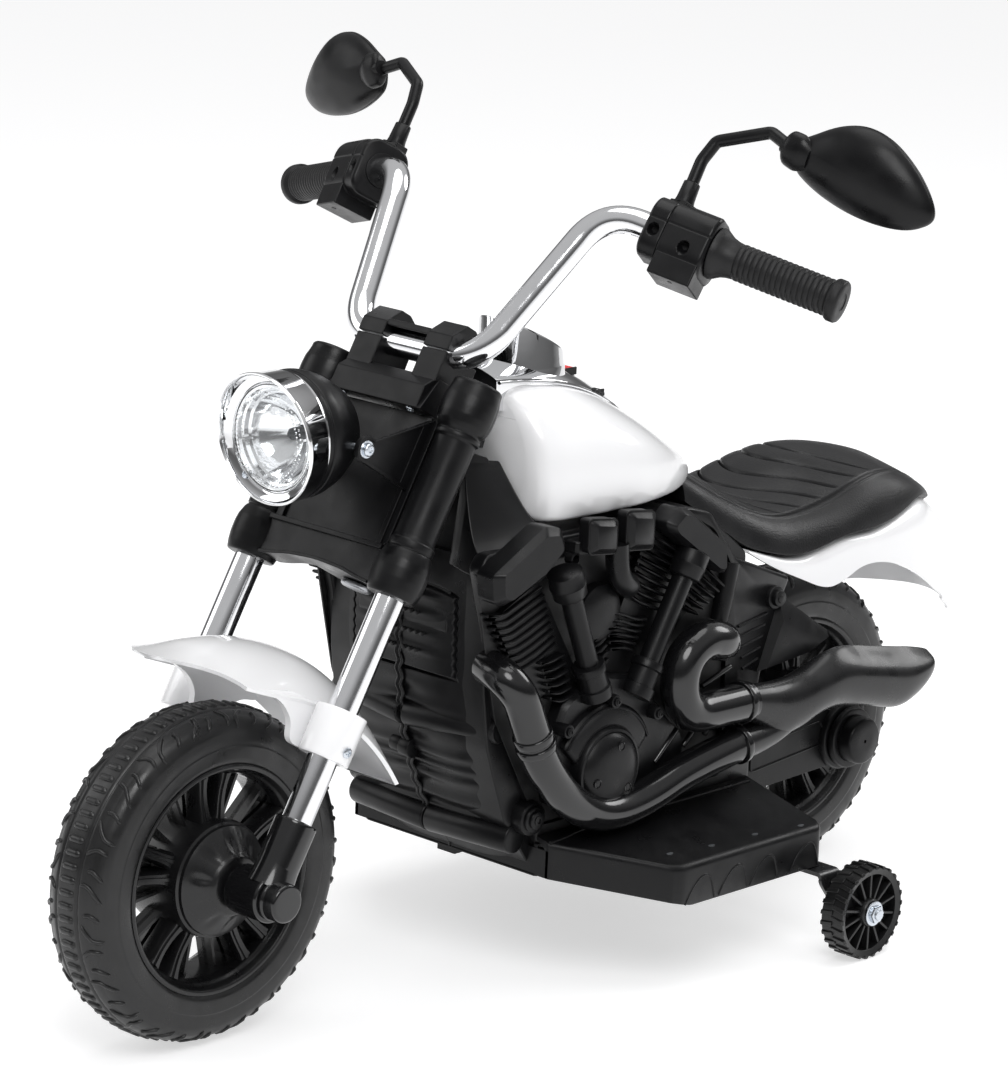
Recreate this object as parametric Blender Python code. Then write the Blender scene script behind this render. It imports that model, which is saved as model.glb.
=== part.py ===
# Kids ride-on chopper motorcycle, modelled as the separate pieces it is moulded and built from.
# Metres, +Z up, +X the rider's left, -Y forwards. Positions along the bike are measured from the
# front axle; one root empty then moves everything so that the origin lies under the middle of the bike.
# The fork, lamp, handlebar and front wheel are written in a fork frame: x across, b back, s up the fork.
import math

import bmesh
import bpy
from mathutils import Matrix, Vector

# Clearances
GAP = 0.0003
AXLE_RUNNING = 0.0003
FLAT_ANGLE = math.radians(0.1)
SHARP_ANGLE = math.radians(32.0)

# Wheels and axles
WHEEL_RADIUS = 0.110
WHEELBASE = 0.5527
TYRE_HALF_WIDTH = 0.0262
TYRE_WALL = 0.003
RIM_RADIUS = 0.0746
RIM_HALF_WIDTH = 0.0235
WEB_HALF_WIDTH = 0.018
WHEEL_SIDES = 24
WHEEL_TURN = math.pi / WHEEL_SIDES - math.pi / 2.0
FLOOR = WHEEL_RADIUS * (1.0 - math.cos(math.pi / WHEEL_SIDES))
SPOKE_PAIRS = 5
SPOKE_WIDTH = 0.006
HUB_RADIUS = 0.0353
HUB_TIP_RADIUS = 0.0195
HUB_CONE_START = 0.026
HUB_HALF_WIDTH = 0.039
AXLE_RADIUS = 0.005

# Fork and steering
RAKE = math.radians(30.0)
LEG_X = 0.0635
LEG_SIDES = 12
TUBE_RADIUS = 0.0098
TUBE_WALL = 0.002
TUBE_BOTTOM = 0.0188
TUBE_TOP = 0.3420
SOCKET_RADIUS = 0.0138
SOCKET_TOP = 0.050
SOCKET_BOTTOM = 0.0136
BOSS_RADIUS = 0.0160
BOSS_INNER = 0.0415
BOSS_OUTER = 0.0710
CAP_RADIUS = 0.0131
CAP_LENGTH = 0.013
CAP_WALL = 0.0035
STEERING_BACK = 0.035
COLUMN_RADIUS = 0.006
COLUMN_HEAD_RADIUS = 0.0105
COLUMN_HEAD_HEIGHT = 0.004

# Fork cover
SLEEVE_RADIUS = 0.0134
BULB_RADIUS = 0.0180
BULB_BOTTOM = 0.2005
BULB_TOP = 0.2360
SLEEVE_CAP_RADIUS = 0.0181
SLEEVE_CAP_BOTTOM = 0.3150
SLEEVE_CAP_TOP = 0.3485
SEAM_BACK = 0.007
CROWN_HALF_WIDTH = 0.050
CROWN_BOTTOM = 0.2035
CROWN_RISE = 0.0055
CROWN_TOP = 0.2300
CROWN_FRONT = -0.0100
CROWN_BACK = 0.0100
PANEL_FRONT = -0.0075
PANEL_THICKNESS = 0.003
PANEL_TOP = 0.3170
COLUMN_BOSS_HALF_WIDTH = 0.020
COLUMN_BOSS_BACK = 0.054

# Mudguard
MUDGUARD_CROWN = 0.149
MUDGUARD_EDGE = 0.122
MUDGUARD_HALF_WIDTH = 0.047
MUDGUARD_WALL = 0.0025
CLAMP_RADIUS = 0.0168
CLAMP_BOTTOM = 0.092
CLAMP_TOP = 0.124
CLAMP_SCREW_S = 0.100

# Small pan head screws, all alike
SCREW_HEAD_RADIUS = 0.0035
SCREW_HEAD_HEIGHT = 0.0022
SCREW_SHANK_RADIUS = 0.0016
SCREW_LENGTH = 0.0065

# Headlamp: axis level with the floor, positions are forward distances from the front axle line
LAMP_Z = 0.380
LAMP_RING_FRONT = 0.0476
LAMP_RING_REAR = 0.066
LAMP_RING_RADIUS = 0.0425
LAMP_RING_WALL = 0.002
LAMP_RAKE = math.radians(6.8)
LAMP_BOWL_RADIUS = 0.0410
LAMP_BOWL_REAR = 0.1120
LAMP_BOWL_WALL = 0.0022
LENS_RADIUS = 0.0335
LENS_FACE = 0.0530
LENS_THICKNESS = 0.0022
LENS_DOME = 0.004
BULB_RADIUS_LAMP = 0.004
LAMP_SIDES = 16
ARM_INNER = 0.0440
ARM_THICKNESS = 0.004
LAMP_BOLT_B = -0.0539
LAMP_BOLT_S = 0.2766
LAMP_BOLT_RADIUS = 0.0024
LAMP_BOLT_HEAD = 0.0042

# Handlebar clamp
BLOCK_HALF_WIDTH = 0.0425
BLOCK_FRONT = -0.0200
BLOCK_BACK = 0.0490
BLOCK_BOTTOM = PANEL_TOP + GAP
BLOCK_TOP = 0.3415
UPRIGHT_INNER = 0.018
UPRIGHT_OUTER = 0.040
UPRIGHT_FRONT = -0.0180
UPRIGHT_BACK = 0.0180
CLAMP_CAP_TOP = 0.3815
BRIDGE_THICKNESS = 0.003
BLOCK_SCREW_X = 0.030
BLOCK_SCREW_B = -0.0145

# Handlebar
BAR_RADIUS = 0.009
BAR_WALL = 0.0015
BAR_SIDES = 10
BAR_B = -0.0020
BAR_S = 0.3593
BAR_CORNER_X = 0.0551
BAR_SHOULDER = Vector((0.0894, 0.0165, 0.4790))
BAR_END = Vector((0.2388, 0.0809, 0.4711))
BAR_BEND_RADIUS = 0.026
BAR_BEND_STEPS = 2

# Switch housings and grips, distances out along the bar from its shoulder
HOUSING_START = 0.0335
HOUSING_LENGTH = 0.0445
HOUSING_HALF_DEPTH = 0.0185
HOUSING_ABOVE = 0.0205
HOUSING_BELOW = 0.0215
HOUSING_LOBE_DEPTH = 0.010
GRIP_RADIUS = 0.0120
GRIP_COLLAR_RADIUS = 0.0170
GRIP_END_RADIUS = 0.0138
GRIP_SIDES = 12

# Mirrors, fork frame
MIRROR_AXIS_X = 0.1280
MIRROR_AXIS_B = 0.0397
FERRULE_BOTTOM = 0.4985
FERRULE_TOP = 0.5150
FERRULE_HALF = 0.0060
STEM_RADIUS = 0.0042
MIRROR_DEPTH = 0.0150
MIRROR_LIP = 0.0030
MIRROR_GLASS = 0.0016
MIRROR_RIM = 0.0016

# Body
BODY_HALF_WIDTH = 0.078
BODY_WALL = 0.0025
NECK_HALF_WIDTH = 0.040
HEAD_TUBE_RADIUS = 0.0150
HEAD_TUBE_BOTTOM = CROWN_TOP + GAP + 0.0005
HEAD_TUBE_TOP = BLOCK_BOTTOM - GAP - 0.0005
HUB_ARM_INNER = 0.0480
HUB_ARM_OUTER = 0.0640
HUB_RING_RADIUS = 0.0227
HUB_RING_OUTER = 0.0750
HUB_CAP_RADIUS = 0.0165
HUB_CAP_OUTER = 0.0860

# Tray with the two footboards
TRAY_BOTTOM = 0.0600
TRAY_TOP = 0.0800
TRAY_FRONT = 0.2290
TRAY_REAR = 0.4370
TRAY_HALF_WIDTH = 0.0890
FOOT_OUTER = 0.1480
FOOT_FRONT = 0.2860
FOOT_INNER_Z = 0.1040
FOOT_OUTER_Z = 0.0880
FOOT_WALL = 0.003
FLOOR_WALL = 0.0025

# Stabiliser wheels
STABILISER_RADIUS = 0.0334
STABILISER_WIDTH = 0.0200
STABILISER_SIDES = 14
STABILISER_TURN = math.pi / STABILISER_SIDES - math.pi / 2.0
STABILISER_Z = FLOOR + STABILISER_RADIUS * math.cos(math.pi / STABILISER_SIDES)
STABILISER_INNER = 0.1650
STABILISER_Y = 0.4480
STRAP_WIDTH = 0.0240
STRAP_THICKNESS = 0.0030
STRAP_X = 0.1590
STABILISER_BOLT = 0.0040

# Mirrors: the head lies in a plane that faces back and a little inwards
MIRROR_NECK = Vector((0.1815, 0.0553, 0.5563))
MIRROR_TIP = Vector((0.2776, 0.0928, 0.5363))
STEM_CORNERS = [
    Vector((MIRROR_AXIS_X, MIRROR_AXIS_B, 0.5300)), Vector((0.1324, 0.0411, 0.5447)),
    Vector((0.1632, 0.0508, 0.5603)),
]
STEM_REACH = 0.0120
STEM_SINK = 0.0060

BODY_DECK = 0.3042
TANK_FLOOR = 0.3111
CORE_OUTLINE = [
    (0.2290, 0.0803), (0.2020, 0.1180), (0.1900, 0.1500), (0.1830, 0.1700), (0.1775, 0.2100), (0.1765, 0.2450),
    (0.1760, 0.2960), (0.1900, BODY_DECK), (0.3650, BODY_DECK), (0.3860, 0.2980), (0.4330, 0.2620), (0.4330, 0.0803),
]
SIDE_OUTLINE = [
    (0.2350, 0.0803), (0.2271, 0.1174), (0.2050, 0.1750), (0.1880, 0.1925), (0.1796, 0.2472), (0.1660, 0.2930),
    (0.1720, 0.3020), (0.2175, BODY_DECK), (0.3650, BODY_DECK), (0.3860, 0.2980), (0.4132, 0.2627), (0.4710, 0.2400),
    (0.4594, 0.2184), (0.4460, 0.1788), (0.4400, 0.1500), (0.4380, 0.0803),
]
BAY_OUTLINE = [
    (0.2320, 0.1120), (0.1880, 0.1900), (0.1780, 0.2334), (0.1730, 0.2560), (0.1668, 0.2861), (0.1698, 0.2955),
    (0.2175, 0.3000), (0.3640, 0.3000), (0.3900, 0.2860), (0.4080, 0.2600), (0.4080, 0.1120),
]
NECK_OUTLINE = [
    (0.1760, 0.2420), (0.1800, 0.2900), (0.1850, 0.3300), (0.1900, 0.3600), (0.2100, 0.3525), (0.2120, 0.3440),
    (0.2400, BODY_DECK), (0.2400, 0.2420),
]
ARM_OUTLINE = [(0.4300, 0.1400), (0.4300, 0.0860), (0.5450, 0.0900), (0.5600, 0.0950), (0.5600, 0.1250), (0.5300, 0.1330)]
DECK_OUTLINE = [(0.4250, 0.2600), (0.4330, 0.2575), (0.4600, 0.2494), (0.6000, 0.2494), (0.6000, 0.2390), (0.4250, 0.2390)]
DECK_HALF_WIDTH = 0.0600
CORE_HALF_WIDTH = 0.0700
BAY_DEPTH = 0.0040
SIDE_HOLLOW = [
    (0.2400, 0.0840), (0.2320, 0.1180), (0.2110, 0.1760), (0.2080, 0.1950), (0.2080, 0.2940), (0.2120, 0.3010),
    (0.3640, 0.3010), (0.3850, 0.2940), (0.4290, 0.2580), (0.4290, 0.0840),
]
PLINTH_OUTLINE = [(0.2300, 0.3000), (0.2300, TANK_FLOOR - GAP), (0.3860, TANK_FLOOR - GAP), (0.3860, 0.2950)]
PLINTH_HALF_WIDTH = 0.0560
STRUT_OUTLINE = [
    (0.0440, HEAD_TUBE_BOTTOM + 0.0005), (0.0800, HEAD_TUBE_BOTTOM + 0.0005), (0.0560, 0.3100), (0.0440, 0.3100),
]
ROD_RADIUS = 0.0085

# Tank: stations along the bike as (y, half width, bottom, top)
TANK_STATIONS = [
    (0.2260, 0.048, 0.3220, 0.400), (0.2320, 0.060, 0.3130, 0.402), (0.2420, 0.070, TANK_FLOOR, 0.4025),
    (0.2580, 0.0765, TANK_FLOOR, 0.401), (0.2840, 0.079, TANK_FLOOR, 0.396), (0.3175, 0.0775, TANK_FLOOR, 0.382),
    (0.3450, 0.072, TANK_FLOOR, 0.3675), (0.3740, 0.060, TANK_FLOOR, 0.349), (0.4040, 0.040, TANK_FLOOR, 0.3315),
    (0.4210, 0.024, TANK_FLOOR, 0.3200),
]
TANK_SECTION = [(0.0, 0.0), (0.95, 0.0), (0.985, 0.06), (1.0, 0.28), (0.93, 0.57), (0.72, 0.785), (0.40, 0.935)]
TANK_WALL = 0.0025
# Dash stations as (y, half width, middle height, edge height)
DASH_STATIONS = [
    (0.2150, 0.035, 0.4080, 0.4010), (0.2500, 0.035, 0.4060, 0.3985), (0.2840, 0.035, 0.4020, 0.3915),
    (0.3100, 0.030, 0.3930, 0.3830), (0.3410, 0.022, 0.3770, 0.3690), (0.3600, 0.014, 0.3650, 0.3585),
    (0.3740, 0.006, 0.3545, 0.3500),
]
POD_RADIUS = 0.0247
POD_Y = 0.2775
POD_LOW = 0.3700
POD_FRONT_TOP = 0.4270
POD_REAR_TOP = 0.4030
SWITCH_HALF_WIDTH = 0.0060
SWITCH_HALF_LENGTH = 0.0085
SWITCH_DEPTH = 0.0100
SWITCH_PLAY = 0.0009
SWITCH_UNDER = 0.0013
SWITCHES = {"power_switch": (0.3150, 0.3905), "direction_switch": (0.3430, 0.3720)}

# Seat: stations as (y, skirt half width, rim half width, bottom, rim height, crown height)
SEAT_STATIONS = [
    (0.3880, 0.052, 0.044, 0.3000, 0.3180, 0.3280), (0.4120, 0.060, 0.050, 0.2820, 0.3030, 0.3150),
    (0.4360, 0.066, 0.054, 0.2640, 0.2900, 0.3040), (0.4570, 0.071, 0.056, 0.2575, 0.2815, 0.2910),
    (0.4780, 0.073, 0.057, 0.2525, 0.2755, 0.2860), (0.5000, 0.074, 0.058, 0.2530, 0.2745, 0.2920),
    (0.5330, 0.074, 0.058, 0.2595, 0.2780, 0.3050), (0.5680, 0.073, 0.057, 0.2585, 0.2890, 0.3060),
    (0.6000, 0.069, 0.051, 0.2640, 0.2900, 0.3000), (0.6280, 0.060, 0.043, 0.2700, 0.2840, 0.2920),
    (0.6520, 0.048, 0.034, 0.2660, 0.2740, 0.2820), (0.6740, 0.033, 0.023, 0.2570, 0.2640, 0.2700),
    (0.6860, 0.018, 0.012, 0.2500, 0.2550, 0.2590),
]
CHANNEL_FIRST = 0.4316
CHANNEL_PITCH = 0.0205
CHANNEL_COUNT = 9
CHANNEL_DEPTH = 0.0022
CHANNEL_HALF_WIDTH = 0.0022
CHANNEL_BOW = 0.040
SEAT_FRONT = SEAT_STATIONS[0][0]
SEAT_REAR = SEAT_STATIONS[-1][0]

# Rear fender: spine (y, z) along the top, lower edge (y, z) of its sides, half width at the shoulder
FENDER_STATIONS = [
    (0.4335, 0.2650, 0.4340, 0.2610, 0.0715), (0.4570, 0.2575, 0.4560, 0.2480, 0.0735),
    (0.4780, 0.2525, 0.4850, 0.2360, 0.0745), (0.5000, 0.2530, 0.5142, 0.2233, 0.0745),
    (0.5330, 0.2595, 0.5330, 0.2262, 0.0745), (0.5500, 0.2590, 0.5525, 0.2350, 0.0745),
    (0.5680, 0.2585, 0.5802, 0.2331, 0.0740), (0.6000, 0.2640, 0.6118, 0.2206, 0.0715),
    (0.6280, 0.2700, 0.6380, 0.2060, 0.0670), (0.6520, 0.2660, 0.6600, 0.1990, 0.0610),
    (0.6740, 0.2570, 0.6830, 0.1920, 0.0560), (0.6860, 0.2500, 0.6920, 0.1880, 0.0545),
    (0.7010, 0.2360, 0.6990, 0.1860, 0.0530), (0.7110, 0.2120, 0.7080, 0.1810, 0.0510),
    (0.7150, 0.1940, 0.7120, 0.1780, 0.0500), (0.7150, 0.1800, 0.7135, 0.1760, 0.0490),
]
FENDER_WALL = 0.0025
FENDER_DROP = 0.0016
FENDER_BOW = 0.030

# Engine mouldings
FIN_COUNT = 6
FIN_DEPTH = 0.0045
FIN_FACE = 0.0838
ENGINE_INNER = BODY_HALF_WIDTH - BAY_DEPTH + GAP
ENGINE_FACE = BODY_HALF_WIDTH + 0.0010
ENGINE_ROOT = BODY_HALF_WIDTH + 0.0004
POST_RADIUS = 0.0105
POST_CENTRE = (0.0, 0.2230, 0.1190)
FRONT_CYLINDER = ((0.2060, 0.2900), (0.52, -0.854), 0.0360)
REAR_CYLINDER = ((0.3700, 0.2820), (-0.455, -0.890), 0.0330)

# Exhaust
PIPE_RADIUS = 0.0110
PIPE_SIDES = 8
PIPE_X = 0.0960
PIPE_END = 0.4050
FRONT_PIPE = [
    (0.1850, 0.2250), (0.2000, 0.2060), (0.2150, 0.1650), (0.2350, 0.1350), (0.2700, 0.1200), (0.3100, 0.1180),
    (0.3550, 0.1300), (0.4120, 0.1380),
]
U_PIPE = [(0.4000, 0.2110), (0.3720, 0.2190), (0.3480, 0.1960), (0.3560, 0.1760), (0.4120, 0.1645)]
COLLAR = [(0.2010, 0.2000), (0.2055, 0.1890)]
MUFFLER = [
    (PIPE_END + GAP, 0.1510, 0.0120, 0.0250), (0.4250, 0.1510, 0.0130, 0.0250), (0.4570, 0.1530, 0.0140, 0.0190),
    (0.5070, 0.1605, 0.0150, 0.0170), (0.5400, 0.1590, 0.0160, 0.0180), (0.5680, 0.1540, 0.0160, 0.0220),
    (0.5850, 0.1530, 0.0150, 0.0215), (0.6090, 0.1520, 0.0100, 0.0085),
]

# Colours: base colour, roughness, metallic
COLOURS = {
    "white_plastic": ((0.86, 0.86, 0.88), 0.18, 0.0),
    "black_plastic": ((0.018, 0.018, 0.020), 0.42, 0.0),
    "gloss_black": ((0.012, 0.012, 0.014), 0.12, 0.0),
    "tyre_black": ((0.022, 0.022, 0.023), 0.55, 0.0),
    "seat_black": ((0.020, 0.020, 0.021), 0.60, 0.0),
    "chrome": ((0.82, 0.83, 0.85), 0.06, 1.0),
    "steel": ((0.55, 0.56, 0.58), 0.28, 1.0),
    "zinc": ((0.62, 0.66, 0.70), 0.30, 1.0),
    "clear_lens": ((0.92, 0.95, 0.97), 0.04, 0.0),
    "mirror_film": ((0.80, 0.82, 0.84), 0.03, 1.0),
    "red_plastic": ((0.70, 0.02, 0.02), 0.30, 0.0),
    "battery_case": ((0.10, 0.11, 0.12), 0.50, 0.0),
    "gear_white": ((0.72, 0.72, 0.68), 0.45, 0.0),
}


# Scene helpers
def clear_scene():
    for old in list(bpy.data.objects):
        bpy.data.objects.remove(old, do_unlink=True)


def material(name):
    found = bpy.data.materials.get(name)
    if found:
        return found
    colour, roughness, metallic = COLOURS[name]
    made = bpy.data.materials.new(name)
    made.use_nodes = True
    shader = made.node_tree.nodes["Principled BSDF"]
    shader.inputs["Base Color"].default_value = (*colour, 1.0)
    shader.inputs["Roughness"].default_value = roughness
    shader.inputs["Metallic"].default_value = metallic
    made.diffuse_color = (*colour, 1.0)
    return made


def empty(name, location, parent=None, rotation=(0.0, 0.0, 0.0)):
    made = bpy.data.objects.new(name, None)
    made.location = location
    made.rotation_euler = rotation
    made.parent = parent
    bpy.context.scene.collection.objects.link(made)
    return made


def mesh_from(shape):
    points, faces = shape
    build = bmesh.new()
    corners = [build.verts.new(point) for point in points]
    for face in faces:
        build.faces.new([corners[index] for index in face])
    bmesh.ops.recalc_face_normals(build, faces=build.faces)
    mesh = bpy.data.meshes.new("shape")
    build.to_mesh(mesh)
    build.free()
    return mesh


def solid(name, shape, colour):
    made = bpy.data.objects.new(name, mesh_from(shape))
    bpy.context.scene.collection.objects.link(made)
    made.data.materials.append(material(colour))
    return made


def combine(target, shape, operation):
    tool = bpy.data.objects.new("tool", mesh_from(shape))
    bpy.context.scene.collection.objects.link(tool)
    modifier = target.modifiers.new("combine", "BOOLEAN")
    modifier.operation = operation
    modifier.solver = "EXACT"
    modifier.object = tool
    graph = bpy.context.evaluated_depsgraph_get()
    result = bpy.data.meshes.new_from_object(target.evaluated_get(graph))
    target.modifiers.remove(modifier)
    target.data = result
    bpy.data.objects.remove(tool, do_unlink=True)
    return target


def add(target, *shapes):
    for shape in shapes:
        combine(target, shape, "UNION")
    return target


def cut(target, *shapes):
    for shape in shapes:
        combine(target, shape, "DIFFERENCE")
    return target


def finish(made, parent):
    # Joins the coplanar fragments that the boolean tools leave, then smooths all but sharp edges
    build = bmesh.new()
    build.from_mesh(made.data)
    bmesh.ops.dissolve_limit(build, angle_limit=FLAT_ANGLE, verts=build.verts, edges=build.edges)
    build.to_mesh(made.data)
    build.free()
    made.parent = parent
    made.data.shade_smooth()
    made.data.set_sharp_from_angle(angle=SHARP_ANGLE)
    return made


# Shapes: each is a pair (points, faces)
def loft(rings, closed_ends=True, loop=False):
    count = len(rings[0])
    points = [Vector(point) for ring in rings for point in ring]
    faces = []
    spans = len(rings) if loop else len(rings) - 1
    for row in range(spans):
        low = row * count
        high = ((row + 1) % len(rings)) * count
        for col in range(count):
            nxt = (col + 1) % count
            faces.append([low + col, low + nxt, high + nxt, high + col])
    if closed_ends and not loop:
        faces.append(list(range(count)))
        faces.append(list(range((len(rings) - 1) * count, len(rings) * count)))
    return points, faces


def circle(radius, sides, turn=0.0):
    steps = [turn + 2.0 * math.pi * index / sides for index in range(sides)]
    return [(radius * math.cos(angle), radius * math.sin(angle)) for angle in steps]


def turned(profile, sides, axis="z", centre=(0.0, 0.0, 0.0), turn=0.0):
    # A closed profile of (radius, along) pairs, swept once round the axis
    rings = []
    for angle in [turn + 2.0 * math.pi * index / sides for index in range(sides)]:
        ring = []
        for radius, along in profile:
            ring.append(on_axis(axis, radius * math.cos(angle), radius * math.sin(angle), along, centre))
        rings.append(ring)
    return loft(rings, loop=True)


def on_axis(axis, first, second, along, centre):
    if axis == "x":
        return Vector(centre) + Vector((along, first, second))
    if axis == "y":
        return Vector(centre) + Vector((second, along, first))
    return Vector(centre) + Vector((first, second, along))


def rod(radius, low, high, sides, axis="z", centre=(0.0, 0.0, 0.0), end_radius=None):
    far = radius if end_radius is None else end_radius
    rings = []
    for size, along in ((radius, low), (far, high)):
        rings.append([on_axis(axis, first, second, along, centre) for first, second in circle(size, sides)])
    return loft(rings)


def stacked(profile, sides, axis="z", centre=(0.0, 0.0, 0.0)):
    # A solid of stacked circles, closed flat at both ends
    rings = []
    for radius, along in profile:
        rings.append([on_axis(axis, first, second, along, centre) for first, second in circle(radius, sides)])
    return loft(rings)


def box(low, high):
    corners = [(low[0], low[1]), (high[0], low[1]), (high[0], high[1]), (low[0], high[1])]
    return loft([[(x, y, low[2]) for x, y in corners], [(x, y, high[2]) for x, y in corners]])


def slab(outline, low, high):
    # An outline of (y, z) points given a thickness across the bike
    return loft([[(low, y, z) for y, z in outline], [(high, y, z) for y, z in outline]])


def plate(outline, low, high):
    # An outline of (x, z) points given a thickness along y
    return loft([[(x, low, z) for x, z in outline], [(x, high, z) for x, z in outline]])


def mirrored(shape):
    points, faces = shape
    return [Vector((-point[0], point[1], point[2])) for point in points], faces


def smooth_path(corners, radius, steps):
    # Rounds each inner corner of a polyline with an arc of the given radius
    corners = [Vector(corner) for corner in corners]
    path = [corners[0]]
    for before, corner, after in zip(corners, corners[1:], corners[2:]):
        back = (before - corner).normalized()
        ahead = (after - corner).normalized()
        half = back.angle(ahead) / 2.0
        reach = radius / math.tan(half)
        middle = corner + (back + ahead).normalized() * (radius / math.sin(half))
        start = corner + back * reach - middle
        end = corner + ahead * reach - middle
        sweep = start.angle(end)
        for step in range(steps + 1):
            share = step / steps
            first = math.sin((1.0 - share) * sweep) / math.sin(sweep)
            second = math.sin(share * sweep) / math.sin(sweep)
            path.append(middle + start * first + end * second)
    path.append(corners[-1])
    return path


def tube(path, radii, sides, squash=1.0, up=(0.0, 0.0, 1.0)):
    # A round section carried along a path; radii is one number or one for each point
    path = [Vector(point) for point in path]
    if not isinstance(radii, (list, tuple)):
        radii = [radii] * len(path)
    side = None
    rings = []
    for index, point in enumerate(path):
        ahead = path[min(index + 1, len(path) - 1)] - point
        behind = point - path[max(index - 1, 0)]
        along = (ahead.normalized() + behind.normalized()).normalized()
        if side is None:
            side = along.cross(Vector(up)) if abs(along.z) < 0.95 else along.cross(Vector((1.0, 0.0, 0.0)))
            side.normalize()
        side = (side - along * side.dot(along)).normalized()
        other = along.cross(side)
        ring = circle(radii[index], sides)
        rings.append([point + side * first + other * second * squash for first, second in ring])
    return loft(rings)


def pipe(path, radius, wall, sides):
    outer, faces = tube(path, radius, sides)
    inner, _ = tube(path, radius - wall, sides)
    rows = len(path)
    points = outer + inner
    shift = len(outer)
    shell = [face for face in faces if len(face) == 4]
    inside = [[index + shift for index in reversed(face)] for face in shell]
    ends = []
    for first in (0, (rows - 1) * sides):
        for col in range(sides):
            nxt = (col + 1) % sides
            ends.append([first + col, first + nxt, shift + first + nxt, shift + first + col])
    return points, shell + inside + ends


def both_sides(name, make, parent):
    # Builds the left piece and its mirror image as two separate pieces
    for side, word in ((1, "left"), (-1, "right")):
        make(name + "_" + word, side, parent)


def sided(shape, side):
    return shape if side > 0 else mirrored(shape)


# Wheels
def tyre_shape():
    wall = TYRE_WALL
    outer = [(RIM_RADIUS, RIM_HALF_WIDTH + 0.001), (0.0870, TYRE_HALF_WIDTH), (0.1000, 0.0228), (0.1080, 0.0150)]
    inner = [(RIM_RADIUS, RIM_HALF_WIDTH - wall), (0.1000, 0.0200)]
    left = outer + [(WHEEL_RADIUS, 0.0)] + [(radius, -across) for radius, across in reversed(outer)]
    right = inner + [(WHEEL_RADIUS - TYRE_WALL, 0.0)] + [(radius, -across) for radius, across in reversed(inner)]
    return turned(left + list(reversed(right)), WHEEL_SIDES, "x", turn=WHEEL_TURN)


def rim_shape():
    half = [(AXLE_RADIUS + AXLE_RUNNING, HUB_HALF_WIDTH), (HUB_TIP_RADIUS, HUB_HALF_WIDTH)]
    half += [(HUB_RADIUS, HUB_CONE_START), (HUB_RADIUS, WEB_HALF_WIDTH)]
    half += [(RIM_RADIUS - 0.0085, WEB_HALF_WIDTH), (RIM_RADIUS - 0.0065, RIM_HALF_WIDTH)]
    half += [(RIM_RADIUS - GAP, RIM_HALF_WIDTH)]
    profile = half + [(radius, -across) for radius, across in reversed(half)]
    return turned(profile, WHEEL_SIDES, "x", turn=WHEEL_TURN)


def window(start, stop, points):
    # One opening through the wheel's web, between two spoke edges
    inner = HUB_RADIUS + 0.004
    outer = RIM_RADIUS - 0.0105
    spare = SPOKE_WIDTH / 2.0
    outline = []
    for radius, order in ((outer, (start, stop)), (inner, (stop, start))):
        for index in range(points):
            share = index / (points - 1)
            angle = order[0] + (order[1] - order[0]) * share
            trim = math.asin(spare / radius) * (1.0 - 2.0 * share) * math.copysign(1.0, order[1] - order[0])
            outline.append((radius * math.cos(angle + trim), radius * math.sin(angle + trim)))
    return slab(outline, -WEB_HALF_WIDTH - 0.01, WEB_HALF_WIDTH + 0.01)


def wheel(prefix, parent):
    tyre = solid(prefix + "_tyre", tyre_shape(), "tyre_black")
    finish(tyre, parent)
    rim = solid(prefix + "_rim", rim_shape(), "black_plastic")
    pitch = 2.0 * math.pi / SPOKE_PAIRS
    narrow = math.radians(17.0)
    for index in range(SPOKE_PAIRS):
        centre = math.pi / 2.0 + index * pitch
        cut(rim, window(centre - narrow / 2.0, centre + narrow / 2.0, 2))
        cut(rim, window(centre + narrow / 2.0, centre + pitch - narrow / 2.0, 2))
    finish(rim, parent)


# Fork, in the fork frame
def fork_tube(name, side, parent):
    profile = [(TUBE_RADIUS, TUBE_TOP), (TUBE_RADIUS, TUBE_BOTTOM)]
    profile += [(TUBE_RADIUS - TUBE_WALL, TUBE_BOTTOM), (TUBE_RADIUS - TUBE_WALL, TUBE_TOP)]
    finish(solid(name, turned(profile, LEG_SIDES, "z", (side * LEG_X, 0.0, 0.0)), "chrome"), parent)


def fork_end(name, side, parent):
    centre = (side * LEG_X, 0.0, 0.0)
    made = solid(name, rod(SOCKET_RADIUS, SOCKET_BOTTOM, SOCKET_TOP, LEG_SIDES, "z", centre), "gloss_black")
    add(made, sided(rod(BOSS_RADIUS, BOSS_INNER, BOSS_OUTER, LEG_SIDES, "x"), side))
    cut(made, rod(TUBE_RADIUS + GAP, TUBE_BOTTOM - GAP, SOCKET_TOP + 0.01, LEG_SIDES, "z", centre))
    cut(made, sided(rod(AXLE_RADIUS + GAP, BOSS_INNER - 0.01, BOSS_OUTER + 0.01, 12, "x"), side))
    finish(made, parent)


def axle_cap_shape(start):
    bore = AXLE_RADIUS + GAP
    end = start + CAP_LENGTH
    profile = [(CAP_RADIUS, start), (CAP_RADIUS - 0.001, end), (0.0012, end)]
    profile += [(0.0012, end - CAP_WALL), (bore, end - CAP_WALL), (bore, start)]
    return turned(profile, 10, "x")


def front_axle(parent):
    reach = BOSS_OUTER + GAP + CAP_LENGTH - CAP_WALL - GAP
    finish(solid("front_axle", rod(AXLE_RADIUS, -reach, reach, 12, "x"), "steel"), parent)
    for side, word in ((1, "left"), (-1, "right")):
        cap = sided(axle_cap_shape(BOSS_OUTER + GAP), side)
        finish(solid("front_axle_cap_" + word, cap, "gloss_black"), parent)


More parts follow.
